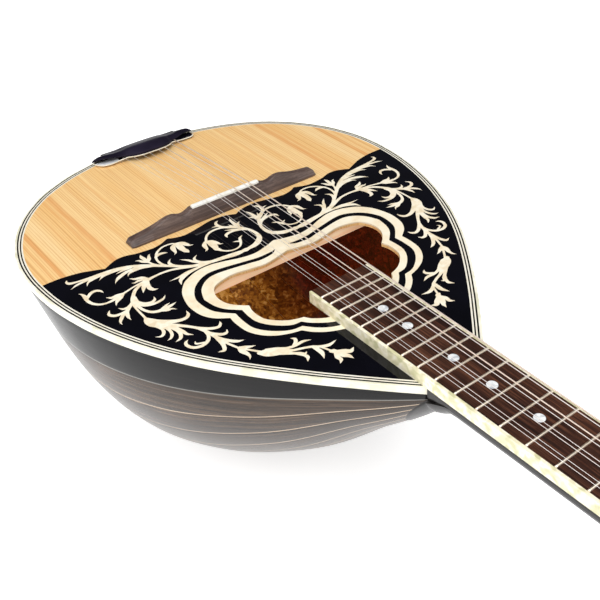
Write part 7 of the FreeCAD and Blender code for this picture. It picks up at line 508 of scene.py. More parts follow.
def piece(name, shells, material, replaces=None, body="instrument", angle=32.0,
          outward=True):
    """Object from shells in design millimetres; edges sharper than angle stay sharp."""
    mesh = bpy.data.meshes.new(name)
    mesh.from_pydata(to_row(np.concatenate(shells.verts)).tolist(), [], shells.faces)
    mesh.update()
    mesh.materials.append(MATERIALS[material])
    if shells.grain:
        grain = mesh.attributes.new("grain", "FLOAT_VECTOR", "POINT")
        grain.data.foreach_set("vector", np.concatenate(shells.grain).astype(np.float32).ravel())
        tone = mesh.attributes.new("tone", "FLOAT", "POINT")
        tone.data.foreach_set("value", np.concatenate(shells.tone).astype(np.float32))
    mesh.shade_smooth()
    mesh.set_sharp_from_angle(angle=math.radians(angle))
    obj = add_object(name, mesh)
    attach(obj, body)
    if replaces:
        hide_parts(replaces)
    if outward:
        work = bmesh.new()
        work.from_mesh(mesh)
        bmesh.ops.recalc_face_normals(work, faces=work.faces)
        work.to_mesh(mesh)
        work.free()


def loft(rings):
    """Vertices and faces of a capped solid through rings of equally many points."""
    rings = np.asarray(rings, float)
    count, sides = rings.shape[:2]
    faces = []
    for i in range(count - 1):
        near, far = i * sides, (i + 1) * sides
        for j in range(sides):
            k = (j + 1) % sides
            faces.append((near + j, near + k, far + k, far + j))
    faces.append(tuple(range(sides))[::-1])
    faces.append(tuple((count - 1) * sides + j for j in range(sides)))
    return rings.reshape(-1, 3), faces


def tube(path, radius, sides):
    """Round tube along a path without twist; radius is one value or one for each point."""
    path = np.asarray(path, float)
    radius = np.broadcast_to(np.asarray(radius, float), (len(path),))[:, None, None]
    tangent = np.gradient(path, axis=0)
    tangent /= np.linalg.norm(tangent, axis=1)[:, None]
    ref = np.array([0.0, 0.0, 1.0]) if abs(tangent[0][2]) < 0.9 else np.array([1.0, 0.0, 0.0])
    across = np.cross(tangent[0], ref)
    across /= np.linalg.norm(across)
    first, second = [], []
    for along in tangent:
        across = across - along * np.dot(across, along)
        across /= np.linalg.norm(across)
        first.append(across)
        second.append(np.cross(along, across))
    turn = (np.arange(sides) * 2 * math.pi / sides)[None, :, None]
    first, second = np.array(first)[:, None, :], np.array(second)[:, None, :]
    return loft(path[:, None, :] + radius * (np.cos(turn) * first + np.sin(turn) * second))


def smooth_path(points, steps):
    """Catmull-Rom through the points, with this many steps a span."""
    points = np.vstack([2 * points[0] - points[1], points, 2 * points[-1] - points[-2]])
    out = []
    for i in range(1, len(points) - 2):
        a, b, c, d = points[i - 1:i + 3]
        for t in np.arange(steps) / steps:
            out.append(0.5 * (2 * b + (c - a) * t + (2 * a - 5 * b + 4 * c - d) * t * t
                              + (3 * b - a - 3 * c + d) * t ** 3))
    out.append(points[-2])
    return np.array(out)


def curve(knots, values, x):
    """Monotone cubic through the knots, held at its ends."""
    knots, values = np.asarray(knots, float), np.asarray(values, float)
    step = np.diff(knots)
    rise = np.diff(values) / step
    slope = np.zeros(len(knots))
    slope[0], slope[-1] = rise[0], rise[-1]
    for i in range(1, len(knots) - 1):
        if rise[i - 1] * rise[i] > 0:
            before, after = 2 * step[i] + step[i - 1], step[i] + 2 * step[i - 1]
            slope[i] = (before + after) / (before / rise[i - 1] + after / rise[i])
    x = np.clip(np.asarray(x, float), knots[0], knots[-1])
    i = np.clip(np.searchsorted(knots, x, "right") - 1, 0, len(knots) - 2)
    u = (x - knots[i]) / step[i]
    return ((1 + 2 * u) * (1 - u) ** 2 * values[i] + u * (1 - u) ** 2 * step[i] * slope[i]
            + u * u * (3 - 2 * u) * values[i + 1] + u * u * (u - 1) * step[i] * slope[i + 1])


# ------------------------------------------------------------------ bowl surface
# Depth of the bowl below the rim at stations in y.
DEPTH_Y = [-130, -127.6, -124, -118, -110, -100, -75, -40, 0, 25, 50, 100, 150, 200, 233.6, 236]
DEPTH = [0, 38, 48.5, 61, 72.5, 85, 117.4, 151.9, 170.6, 172.8, 168.6, 145.3, 108.6, 54.8, 17,
         13.7]
# How far the cross-section is pulled in from an ellipse, at stations in y.
TUCK_Y = [-130, -118, -95, -60, 20, 120, 236]
TUCK = [0, .05, .12, .157, .036, -.007, -.007]
# Half width of the bowl at the rim: y, half width.
RIM = np.array([
    (-129.3, 19.98), (-128.6, 25.78), (-127.6, 32.35), (-126, 40.49), (-124, 48.82),
    (-121, 59.57), (-118, 68.14), (-114, 77.56), (-110, 85.54), (-105, 94.29), (-100, 101.5),
    (-90, 113.14), (-75, 126.31), (-60, 135.86), (-40, 144.57), (-20, 149.51), (0, 151.08),
    (20, 150.09), (40, 147.16), (60, 142.2), (80, 135.46), (100, 126.83), (120, 116.17),
    (140, 103.28), (160, 88.15), (180, 71.52), (195, 58.34), (205, 49.08), (212, 42.58),
    (218, 36.9), (223, 32.09), (228, 27.24), (231, 24.31), (233.5, 21.86), (236, 19.42)])
BOWL_TOP = 6.1  # the bowl starts this far below the soundboard face


def bowl_depth(y):
    return np.sqrt(np.maximum(curve(DEPTH_Y, np.square(DEPTH), y), 1e-9))


def bowl(y, phi):
    """Outer surface of the bowl at station y and angle phi (degrees from the +X rim)."""
    y, phi = np.broadcast_arrays(np.asarray(y, float), np.asarray(phi, float))
    cos, sin = np.cos(np.radians(phi)), np.sin(np.radians(phi))
    tuck = 4 * curve(TUCK_Y, TUCK, y) * sin * (1 - sin) * np.sqrt(np.abs(cos))
    x = curve(RIM[:, 0], RIM[:, 1], y) * (np.abs(cos) - tuck) * np.sign(cos)
    return np.stack([x, y, -(BOWL_TOP + bowl_depth(y) * sin)], -1)


# ------------------------------------------------------------------ staves of the bowl
STATIONS = np.concatenate([-127.5 + 40.0 * (np.linspace(0, 1, 26) ** 1.7),
                           np.linspace(-87.5, NECK_Y, 86)[1:]])
ARC = np.concatenate([[0], np.cumsum(np.linalg.norm(np.diff(bowl(STATIONS, 60.0), axis=0),
                                                    axis=1))])
DEGREE = np.linalg.norm(bowl(STATIONS, 96.0) - bowl(STATIONS, 84.0), axis=-1) / 12.0  # arc length
SIDE_PHI = 9.0  # each side band reaches this far down from the rim, in degrees
RIB_COUNT = 15
RIB_STEP = (180.0 - 2 * SIDE_PHI) / RIB_COUNT
RIB_TONES = [0.35, 0.1, 0.55, 0.2, 0.45, 0.05, 0.6, 0.3, 0.5, 0.15, 0.4, 0.0, 0.55, 0.25, 0.4]
HALF_LINE = 0.5 * np.minimum(0.80, 0.15 * RIB_STEP * DEGREE) / DEGREE  # degrees
GAP = HALF_LINE + 0.01  # from the middle of a line to the stave beside it


def stave(shells, start, end, columns, thick, seed, tone=0.0, drop=0.0, ease=0.0):
    """Closed stave between two angle curves, thickness inward.

    drop sinks the whole outer face, ease only its two edges; seed moves the grain.
    """
    count = len(STATIONS)
    part = np.linspace(0, 1, columns)
    if ease > 0:
        part = np.concatenate([[0.0, 0.035], np.linspace(0.12, 0.88, columns - 4), [0.965, 1.0]])
    phi = start[:, None] + (end - start)[:, None] * part[None, :]
    y = STATIONS[:, None] + np.zeros((1, columns))
    surface = bowl(y, phi)
    by_phi = bowl(y, phi + 0.5) - bowl(y, phi - 0.5)
    by_y = bowl(np.clip(y + 0.5, -128, 234), phi) - bowl(np.clip(y - 0.5, -128, 234), phi)
    normal = np.cross(by_phi, by_y)
    normal /= np.linalg.norm(normal, axis=-1)[..., None]
    centre = np.stack([np.zeros_like(phi), y, np.full_like(phi, -30.0)], -1)
    normal *= np.sign(np.sum(normal * (surface - centre), -1))[..., None]
    normal[..., 1] = 0.0
    normal /= np.linalg.norm(normal, axis=-1)[..., None]
    low = np.full((count, columns), drop)
    low[:, 0] += ease
    low[:, -1] += ease
    outer = surface - normal * low[..., None]
    depth = thick * np.minimum(1.0, 0.55 + 0.45 * bowl_depth(STATIONS) / 60.0)
    inner = outer - normal * (depth[:, None, None] - low[..., None])
    width = DEGREE[:, None] * (phi - start[:, None])
    grain = np.stack([width + seed * 61.0, ARC[:, None] + seed * 137.0 + np.zeros_like(width),
                      np.full_like(width, seed * 17.0)], -1)
    grain = np.concatenate([grain, grain[:, ::-1] + np.array([0, 0, 5.0])], 1)
    shells.add(*loft(np.concatenate([outer, inner[:, ::-1]], 1)), grain=grain, tone=tone)


def line_phi(k):
    """Angle of the k-th line between staves, at every station."""
    return np.full(len(STATIONS), SIDE_PHI + RIB_STEP * k)


def build_bowl():
    ribs, lines, rim_lines, sides = Shells(), Shells(), Shells(), Shells()
    for k in range(RIB_COUNT):
        stave(ribs, line_phi(k) + GAP, line_phi(k + 1) - GAP, columns=10, thick=2.8,
              seed=k + 1.0, tone=RIB_TONES[k], ease=0.07)
    for k in range(RIB_COUNT + 1):
        stave(rim_lines if k in (0, RIB_COUNT) else lines, line_phi(k) - HALF_LINE,
              line_phi(k) + HALF_LINE, columns=3, thick=2.6, seed=(k + 3) * 1.7, drop=0.05)
    top = np.degrees(np.arcsin(np.minimum(0.5 / bowl_depth(STATIONS), 0.5)))
    for start, end, seed in ((top, line_phi(0) - GAP, 2.3),
                             (line_phi(RIB_COUNT) + GAP, 180.0 - top, 5.1)):
        stave(sides, start, end, columns=8, thick=2.8, seed=seed, tone=0.1, ease=0.05)
    piece("bowl_staves", ribs, "walnut_ribs", "bowl_ribs", angle=50)
    piece("bowl_lines", lines, "maple_lines", "rib_lines", angle=50)
    piece("bowl_lines_rim", rim_lines, "maple_line_rim", "rib_lines", angle=50)
    piece("bowl_side_bands", sides, "ebonised_side", "side_cap", angle=50)


build_bowl()

# ------------------------------------------------------------------ rim: binding and purfling
# Treble half of the body outline (x, y), from the tail to the neck.
OUTLINE = np.array([
    (0, -125), (2.41, -124.93), (4.83, -124.86), (7.24, -124.78), (9.65, -124.66),
    (12.06, -124.51), (14.47, -124.32), (16.87, -124.1), (19.27, -123.84), (21.67, -123.57),
    (24.07, -123.27), (26.46, -122.96), (28.85, -122.6), (31.23, -122.21), (33.61, -121.78),
    (35.98, -121.32), (38.35, -120.84), (40.7, -120.31), (43.05, -119.76), (45.4, -119.19),
    (47.74, -118.6), (50.08, -118), (52.41, -117.37), (54.74, -116.72), (57.05, -116.03),
    (59.35, -115.29), (61.63, -114.51), (63.91, -113.71), (66.17, -112.86), (68.42, -111.98),
    (70.65, -111.06), (72.87, -110.1), (75.06, -109.1), (77.24, -108.05), (79.4, -106.98),
    (81.55, -105.88), (83.69, -104.76), (85.81, -103.6), (87.91, -102.41), (89.99, -101.19),
    (92.05, -99.92), (94.06, -98.59), (96.04, -97.2), (97.98, -95.77), (99.89, -94.29),
    (101.76, -92.77), (103.61, -91.22), (105.44, -89.64), (107.24, -88.03), (108.99, -86.37),
    (110.71, -84.67), (112.38, -82.93), (114.03, -81.17), (115.65, -79.38), (117.24, -77.56),
    (118.78, -75.7), (120.29, -73.81), (121.76, -71.9), (123.19, -69.95), (124.58, -67.98),
    (125.92, -65.97), (127.21, -63.93), (128.47, -61.87), (129.69, -59.79), (130.87, -57.68),
    (132, -55.55), (133.09, -53.39), (134.14, -51.22), (135.15, -49.02), (136.11, -46.81),
    (137.03, -44.57), (137.9, -42.32), (138.73, -40.06), (139.52, -37.77), (140.26, -35.48),
    (140.96, -33.17), (141.61, -30.84), (142.21, -28.5), (142.76, -26.15), (143.25, -23.79),
    (143.7, -21.41), (144.09, -19.03), (144.43, -16.64), (144.72, -14.24), (144.96, -11.84),
    (145.16, -9.44), (145.33, -7.03), (145.46, -4.62), (145.54, -2.2), (145.58, 0.21),
    (145.57, 2.63), (145.51, 5.04), (145.42, 7.45), (145.31, 9.86), (145.17, 12.28),
    (145.01, 14.68), (144.83, 17.09), (144.62, 19.5), (144.37, 21.9), (144.1, 24.3),
    (143.81, 26.7), (143.47, 29.09), (143.11, 31.47), (142.71, 33.86), (142.29, 36.23),
    (141.83, 38.6), (141.34, 40.97), (140.82, 43.33), (140.27, 45.68), (139.7, 48.02),
    (139.11, 50.36), (138.51, 52.7), (137.88, 55.03), (137.24, 57.36), (136.57, 59.68),
    (135.87, 61.99), (135.15, 64.3), (134.41, 66.59), (133.64, 68.88), (132.85, 71.17),
    (132.04, 73.44), (131.21, 75.71), (130.35, 77.96), (129.47, 80.21), (128.56, 82.45),
    (127.63, 84.68), (126.68, 86.9), (125.71, 89.11), (124.74, 91.32), (123.75, 93.52),
    (122.75, 95.72), (121.73, 97.91), (120.69, 100.08), (119.61, 102.25), (118.52, 104.4),
    (117.4, 106.54), (116.26, 108.67), (115.1, 110.79), (113.92, 112.89), (112.73, 114.99),
    (111.51, 117.07), (110.27, 119.15), (109.02, 121.21), (107.75, 123.27), (106.47, 125.31),
    (105.17, 127.35), (103.85, 129.37), (102.52, 131.38), (101.17, 133.38), (99.8, 135.37),
    (98.41, 137.35), (97.01, 139.32), (95.6, 141.28), (94.16, 143.22), (92.71, 145.15),
    (91.25, 147.07), (89.78, 148.99), (88.31, 150.9), (86.83, 152.8), (85.33, 154.7),
    (83.83, 156.59), (82.32, 158.48), (80.81, 160.36), (79.28, 162.23), (77.75, 164.1),
    (76.21, 165.95), (74.66, 167.81), (73.11, 169.66), (71.55, 171.5), (69.99, 173.34),
    (68.42, 175.18), (66.84, 177.01), (65.26, 178.83), (63.68, 180.66), (62.1, 182.48),
    (60.51, 184.3), (58.91, 186.11), (57.31, 187.92), (55.7, 189.72), (54.08, 191.51),
    (52.45, 193.29), (50.81, 195.06), (49.16, 196.83), (47.52, 198.59), (45.88, 200.36),
    (44.24, 202.14), (42.6, 203.91), (40.95, 205.68), (39.31, 207.45), (37.66, 209.21),
    (36, 210.96), (34.34, 212.72), (32.67, 214.46), (31, 216.21), (29.33, 217.95),
    (27.65, 219.68), (25.97, 221.42), (24.29, 223.15), (22.6, 224.88), (20.92, 226.6),
    (19.23, 228.33), (17.54, 230.06), (15.85, 231.78), (14.16, 233.51), (12.47, 235.23),
    (10.78, 236.95), (9.09, 238.68), (7.39, 240.4), (5.7, 242.12), (4.01, 243.84),
    (2.31, 245.56), (0.62, 247.28)])
RIM_OUT = 6.0  # outer face of the binding, outwards from the outline


def rim_path():
    """Points, tangents and outward normals round the body, from neck to tail to neck."""
    path = np.vstack([OUTLINE[::-1][:-1] * np.array([-1.0, 1.0]), OUTLINE])
    tangent = np.gradient(path, axis=0)
    tangent /= np.linalg.norm(tangent, axis=1)[:, None]
    normal = np.stack([tangent[:, 1], -tangent[:, 0]], 1)
    if normal[len(path) // 2][1] > 0:
        normal = -normal
    keep = path[:, 1] + np.maximum(0, normal[:, 1] * RIM_OUT) < NECK_Y - 1.2
    return path[keep], tangent[keep], normal[keep]


EDGE, TANGENT, NORMAL = rim_path()


def rim_sweep(profile):
    """Sweep a profile of (distance outwards, z) round the rim, its ends cut at NECK_Y."""
    rows = []
    for out, z in profile:
        path = EDGE + NORMAL * out
        first, last = [path[i] + TANGENT[i] * (NECK_Y - path[i][1]) / TANGENT[i][1]
                       for i in (0, -1)]
        path = np.vstack([first, path, last])
        rows.append(np.column_stack([path, np.full(len(path), z)]))
    return loft(np.stack(rows, 1))


def purfling(name, material, top, bands):
    """Flat lines round the soundboard between pairs of distances from the outline."""
    shells = Shells()
    for inner, outer in bands:
        shells.add(*rim_sweep([(inner, -1.0), (inner, top), (outer, top), (outer, -1.0)]))
    piece(name, shells, material, "rim_purfling")


def build_rim():
    binding = [(4.0, -4.6), (4.0, -0.02), (5.0, -0.02), (5.42, -0.10), (5.75, -0.38),
               (5.94, -0.80), (RIM_OUT, -1.3), (RIM_OUT, -4.25), (5.7, -4.6)]
    piece("edge_binding", Shells(*rim_sweep(binding)), "binding_pearl", "rim_binding",
          angle=60)
    verts, faces = rim_sweep([(2.9, -6.62), (2.9, -4.66), (5.5, -4.66), (5.5, -6.62)])
    strip = Shells()
    strip.add(verts, faces, grain=verts[:, ::-1] * np.array([1.0, 1.0, 0.2]), tone=0.1)
    piece("side_top_strip", strip, "ebonised_side", "side_cap", angle=60)
    purfling("purfling_white_lines", "white_line", top=0.0, bands=[(0.0, 1.04), (1.98, 2.92)])
    purfling("purfling_black_lines", "black_line", top=-0.01, bands=[(1.04, 1.98), (2.92, 3.98)])


build_rim()

# ------------------------------------------------------------------ frets
BOARD_END_Y = 141.0  # reference station near the tail end of the fretboard
BOARD_END_HALF, BOARD_NUT_HALF = 23.6, 18.9  # half widths there and at the nut
FRET_INSET = 2.05  # from the side of the board to the end of a fret
FRET_Z = 7.5


def build_frets():
    shells = Shells()
    for number in range(1, 28):
        y = SCALE_LENGTH / 2.0 ** (number / 12.0)
        half = (BOARD_END_HALF + (BOARD_NUT_HALF - BOARD_END_HALF) * (y - BOARD_END_Y)
                / (SCALE_LENGTH - BOARD_END_Y) - FRET_INSET)
        rings = []
        # x and relative height of the crown
        for x, size in [(-half, 0.30), (-half + 0.35, 0.72), (-half + 0.9, 1.0), (0.0, 1.0),
                        (half - 0.9, 1.0), (half - 0.35, 0.72), (half, 0.30)]:
            turns = [math.pi * i / 10 for i in range(11)]
            crown = [(x, y + 1.12 * math.cos(turn) * (0.62 + 0.10 * size),
                      FRET_Z + 1.04 * math.sin(turn) * size) for turn in turns]
            rings.append(crown + [(x, y - 0.7, FRET_Z - 0.08), (x, y + 0.7, FRET_Z - 0.08)])
        shells.add(*loft(rings))
        shells.add(*tube([(-half, y, 6.6), (half, y, 6.6)], radius=0.26, sides=4))
    piece("fret_wires", shells, "fret_metal", "frets", angle=40)


build_frets()

# ------------------------------------------------------------------ strings
# name, x at the saddle, at the nut and at the tail hook, radius, post, start angle of the coil
STRINGS = [
    ("string_1_low", -20.4, -14.9, -24.0, 0.50, 5, 0.0),
    ("string_2_low_octave", -17.0, -12.3, -17.5, 0.26, 6, 0.0),
    ("string_3", -7.9, -5.7, -10.5, 0.42, 7, 0.0),
    ("string_3_octave", -4.5, -3.3, -4.0, 0.22, 8, 0.0),
    ("string_5", 4.6, 3.3, 4.0, 0.18, 4, 0.26),
    ("string_6", 7.3, 5.7, 10.5, 0.18, 3, 0.26),
    ("string_7_high", 16.7, 12.3, 17.5, 0.14, 2, 0.26),
    ("string_8_high", 19.6, 14.7, 24.0, 0.14, 1, 0.0),
]
WOUND = ("string_1_low", "string_3")
# (x, u) of posts 1 to 8 in the head frame: four on the treble side, then four on the bass side
POSTS = [((1 if n < 4 else -1) * 20.0, 28.0 + 24.0 * (n % 4)) for n in range(8)]
POST_RADIUS = 3.0
COIL_W = 8.2  # height of the top turn on the post
WINDING_PITCH = 0.66


def string_path(corners, step):
    """Points along straight spans, about one step apart, with at least one for each span."""
    path = []
    for start, end in zip(corners[:-1], corners[1:]):
        count = max(1, int(np.linalg.norm(end - start) / step))
        path += [start + (end - start) * part for part in np.arange(count) / count]
    return np.array(path + [corners[-1]])


def build_string(index, name, saddle_x, nut_x, tail_x, radius, post, coil_start):
    post_x, post_u = POSTS[post - 1]
    side = 1 if post_x > 0 else -1
    wound = name in WOUND
    material, slot = ("string_winding", "bronze") if wound else ("string_steel", "steel")
    end = from_head((post_x - side * (POST_RADIUS + radius + 0.06), post_u, COIL_W))
    corners = np.array([
        (tail_x, -121.4, 2.9), (saddle_x, -1.9, 12.54 + radius - 0.06),
        (saddle_x, 2.5, 12.53 + radius),
        (saddle_x + (nut_x - saddle_x) * 0.006, 5.5, 12.50 + radius),
        (nut_x, 669.6, 9.25), (nut_x, 672.5, 9.26), (nut_x, 675.0, 9.2), end])
    path = string_path(corners, step=0.22 if wound else 30.0)
    radii = radius
    if wound:
        steps = np.linalg.norm(np.diff(path, axis=0), axis=1)
        travel = np.concatenate([[0], np.cumsum(steps)])
        radii = radius * (0.93 + 0.07 * np.cos(travel / WINDING_PITCH * 2 * math.pi))
    shells = Shells(*tube(path, radii, sides=8))
    # the looped end round its hook
    loop = []
    for k in range(32):
        turn = 2 * math.pi * k / 32 + math.pi / 2
        loop.append((tail_x + (1.15 + radius) * math.cos(turn),
                     -122.6 + (1.15 + radius) * math.sin(turn), 2.4 + 0.5))
    shells.add(*tube(loop, min(radius, 0.3), sides=6))
    # seven turns of wire twisted round the string above the loop
    twist = []
    for k in range(61):
        part = k / 60.0
        turn = part * 2 * math.pi * 7
        centre = corners[0] + (corners[1] - corners[0]) * (0.005 + 0.06 * part)
        twist.append(centre + np.array([math.cos(turn), 0.0, math.sin(turn)]) * (radius + 0.12))
    shells.add(*tube(twist, radius=0.13, sides=5))
    piece(name, shells, material, "wound_strings" if wound else "plain_strings",
          angle=60, outward=False)

    coil = []
    coil_radius = POST_RADIUS + radius + 0.05
    for k in range(int(3.4 * 26) + 1):  # 3.4 turns of 26 steps
        turn = k / 26.0 * 2 * math.pi + coil_start
        angle = math.pi - turn if side > 0 else turn
        coil.append((post_x + coil_radius * math.cos(angle),
                     post_u + coil_radius * math.sin(angle),
                     COIL_W - (2 * radius + 0.06) * turn / (2 * math.pi)))
    piece("coil_%d" % index, Shells(*tube(from_head(coil), radius, sides=8)), material,
          body="string_post_%d" % post, angle=60, outward=False)


for index, row in enumerate(STRINGS, 1):
    build_string(index, *row)

# ------------------------------------------------------------------ bridge
# Top line of a bridge wing: distance from the middle, height.
BRIDGE_TOP = np.array([
    (29.4, 10.5), (31.5, 9.4), (34.0, 8.4), (36.5, 8.1), (39.0, 8.6), (42.0, 9.9),
    (45.0, 10.6), (48.0, 10.5), (52.0, 9.6), (57.0, 7.9), (64.0, 6.2), (72.0, 5.0),
    (77.5, 4.3)])
BLOCK_HALF, BLOCK_HEIGHT = BRIDGE_TOP[0]
WING_END, WING_END_HEIGHT = BRIDGE_TOP[-1]


def bridge_section(x):
    """Outline in (y, z), head side first, of the bridge at x."""
    away = abs(x)
    if away < BLOCK_HALF:
        top = BLOCK_HEIGHT
    elif away > WING_END:
        top = WING_END_HEIGHT - 1.9 * ((away - WING_END) / 2.1) ** 1.6
    else:
        top = curve(BRIDGE_TOP[:, 0], BRIDGE_TOP[:, 1], away)
    # wings draw in towards their ends, the middle stands square
    tip = max(0.0, (away - 76.0) / 3.6)
    head_foot, tail_foot = 8.0 - 1.3 * tip ** 2, -4.0 + 1.6 * tip ** 2
    head = head_foot - 3.9 * max(0.0, top - 1.5) / 10.5
    tail = tail_foot + 3.4 * max(0.0, top - 2.0) / 10.0
    # the ridge of each wing narrows to a soft crest
    wing = min(1.0, max(0.0, (away - 29.5) / 6.0))
    middle = 0.5 * (head + tail)
    head -= 0.35 * wing * (head - middle)
    tail += 0.20 * wing * (middle - tail)
    ease = min(0.55 if wing == 0 else 0.9, 0.35 * (head - tail), 0.4 * top)
    # slot for the saddle
    if away <= 28.45:
        slot, slot_tail, slot_head = 2.47, 0.47, 4.53
    else:
        slot = 0.0
        slot_tail, slot_head = tail + (head - tail) * 0.4, tail + (head - tail) * 0.6
    return [(head_foot, 0.03), (head_foot, min(1.5, top * 0.3)),
            (head + 0.12 * ease, top - ease), (head - 0.35 * ease, top - 0.28 * ease),
            (head - ease, top), (slot_head, top), (slot_head, top - slot),
            (slot_tail, top - slot), (slot_tail, top), (tail + ease, top),
            (tail + 0.35 * ease, top - 0.28 * ease), (tail - 0.12 * ease, top - ease),
            (tail_foot, min(2.0, top * 0.35)), (tail_foot, 0.03)]


def build_bridge():
    half = np.concatenate([np.linspace(0, 28.4, 12), [28.52, 28.9],
                           np.linspace(BLOCK_HALF, WING_END, 70), [78.3, 78.9, 79.3, 79.6]])
    rings = [[(x, y, z) for y, z in bridge_section(x)]
             for x in np.concatenate([-half[::-1][:-1], half])]
    piece("bridge_carved", Shells(*loft(rings)), "bridge_wood", "bridge",
          body="floating_bridge", angle=38)


def build_saddle():
    """Saddle with a rounded crown and shallow string notches."""
    section = [(0.5, 8.05), (0.5, 11.3), (0.75, 11.9), (1.3, 12.33), (2.0, 12.48),
               (3.0, 12.48), (3.7, 12.33), (4.25, 11.9), (4.5, 11.3), (4.5, 8.05)]
    courses = [(row[1], row[4]) for row in STRINGS]
    stations = {-28.5, -28.3, -27.8, 27.8, 28.3, 28.5, *np.linspace(-27, 27, 28)}
    for centre, radius in courses:
        for offset in (-radius - .15, -radius * .6, 0, radius * .6, radius + .15):
            stations.add(centre + offset)
    rings = []
    for x in sorted(stations):
        ease = 0.0 if abs(x) < 27.9 else (0.35 if abs(x) < 28.4 else 0.8)
        notched = any(abs(x - centre) <= radius * 0.7 for centre, radius in courses)
        dip = 0.10 if notched else 0.0
        rings.append([(x, y + (ease * 0.3 if y < 2.5 else -ease * 0.3),
                       z - (ease if z > 11 else 0.0) - (dip if z > 12.2 else 0.0))
                      for y, z in section])
    piece("saddle_bone", Shells(*loft(rings)), "bone_white", "saddle",
          body="floating_bridge", angle=40)


build_bridge()
build_saddle()

# ------------------------------------------------------------------ tailpiece cover
# Lines that run across the cover, given at these distances from its middle.  The front edge is
# the one towards the bridge.  Each line: share of the bass-side shift, y values, z values.
COVER_X = [0, 7, 12, 16, 21, 27, 34, 40, 44, 46]
COVER_LINES = [
    # front edge
    (1.0, [-102.2, -102.3, -103.1, -105.0, -109.4, -111.2, -112.6, -114.6, -118.0, -121.0],
     [5.5, 5.5, 5.4, 5.0, 4.3, 4.6, 5.5, 5.7, 4.2, 2.8]),
    # front rise
    (1.0, [-102.9, -103.0, -103.9, -105.8, -110.1, -112.0, -113.4, -115.4, -118.8, -121.4],
     [7.7, 7.7, 7.4, 6.8, 5.5, 5.6, 6.5, 6.7, 5.1, 3.2]),
    # crown
    (0.9, [-111.5, -111.5, -112.0, -113.0, -115.2, -116.4, -117.6, -118.8, -120.6, -121.8],
     [9.4, 9.3, 9.0, 8.4, 7.0, 6.5, 7.0, 6.8, 5.0, 3.1]),
    # back slope
    (0.75, [-121.5, -121.5, -121.5, -121.6, -122.0, -122.2, -122.2, -122.0, -122.2, -122.2],
     [6.5, 6.5, 6.4, 6.0, 5.0, 4.7, 5.1, 4.9, 3.8, 2.7]),
    # over the rim
    (0.7, [-130.6, -130.5, -130.3, -130.1, -129.7, -128.9, -127.3, -125.2, -123.6, -122.6],
     [2.3, 2.3, 2.3, 2.3, 2.2, 2.2, 2.3, 2.4, 2.4, 2.2]),
    # hanging edge
    (0.7, [-135.3, -135.2, -135.0, -134.8, -134.3, -133.2, -130.8, -127.4, -124.4, -122.9],
     [-8.0, -7.8, -7.4, -6.9, -6.0, -4.9, -3.0, -0.4, 1.4, 1.9]),
]
# The bright line under the front edge.
TRIM_X = COVER_X + [46.4]
TRIM_Y = [-102.2, -102.3, -103.1, -105.0, -109.4, -110.5, -110.5, -111.8, -115.6, -120.2, -123.0]
TRIM_Z = [5.0, 5.0, 4.9, 4.4, 3.2, 2.2, 1.7, 1.6, 1.6, 1.7, 1.8]


def bass_shift(x, span):
    """How far the end of the bass wing is moved towards the head."""
    return 4.5 * ((-x - 36.0) / span) ** 1.5 if x < -36.0 else 0.0


def wing_x(x):
    """The wing on the bass side is slightly shorter."""
    return x if x > -20.0 else -20.0 + (x + 20.0) * 0.93


def build_cover():
    rings = []
    for x in np.concatenate([[-46, -45.6, -45, -44], np.linspace(-43, 43, 87),
                             [44, 45, 45.6, 46]]):
        shift = bass_shift(x, span=10.0)
        outer = smooth_path(np.array([(curve(COVER_X, ys, abs(x)) + share * shift,
                                       curve(COVER_X, zs, abs(x)))
                                      for share, ys, zs in COVER_LINES]), steps=6)
        tangent = np.gradient(outer, axis=0)
        tangent /= np.linalg.norm(tangent, axis=1)[:, None]
        normal = np.stack([tangent[:, 1], -tangent[:, 0]], 1)
        if normal[len(outer) // 2][1] > 0:
            normal = -normal
        thick = 1.15 if abs(x) < 43 else max(0.35, 1.15 - 0.27 * (abs(x) - 43))
        inner = outer + normal * thick
        rings.append([(wing_x(x), y, z) for y, z in np.vstack([outer, inner[::-1]])])
    piece("tail_cover_moulded", Shells(*loft(rings)), "black_cover", "tailpiece_cover",
          angle=48)


def build_cover_trim():
    section = [(-0.6, -0.36), (0.10, -0.36), (0.22, -0.24), (0.22, 0.24), (0.10, 0.36),
               (-0.6, 0.36)]
    rings = []
    for x in np.concatenate([[-46.2], np.linspace(-46, 46, 93), [46.2]]):
        y = curve(TRIM_X, TRIM_Y, abs(x)) + 0.25 + bass_shift(x, span=10.4)
        z = curve(TRIM_X, TRIM_Z, abs(x))
        rings.append([(wing_x(x), y + dy, z + dz) for dy, dz in section])
    piece("tail_cover_edge_line", Shells(*loft(rings)), "white_line", "tailpiece_cover",
          angle=40)


def build_ledge(side, name, material):
    """Ledge under one wing of the cover; side is 1 for treble and -1 for bass."""
    rings = []
    for x in np.linspace(27.0, 44.6, 23):
        front = curve(TRIM_X, TRIM_Y, x) - 0.35 + bass_shift(side * x, span=10.4)
        back = min(-119.5, front - 1.2)
        top = curve(TRIM_X, TRIM_Z, x) + 0.12
        section = [(front, top - 0.8), (front, top - 0.1), (front - 0.12, top),
                   (back, top - 0.15), (back, top - 0.8)]
        rings.append([(wing_x(side * x), y, z) for y, z in section])
    piece(name, Shells(*loft(rings)), material, "tailpiece_cover", angle=40)


build_cover()
build_cover_trim()

# ------------------------------------------------------------------ tuners
WORM_W = -17.62  # height of the worm axis in the head frame
WORM_OFFSET = 8.6  # from the post to the worm axis, along the head
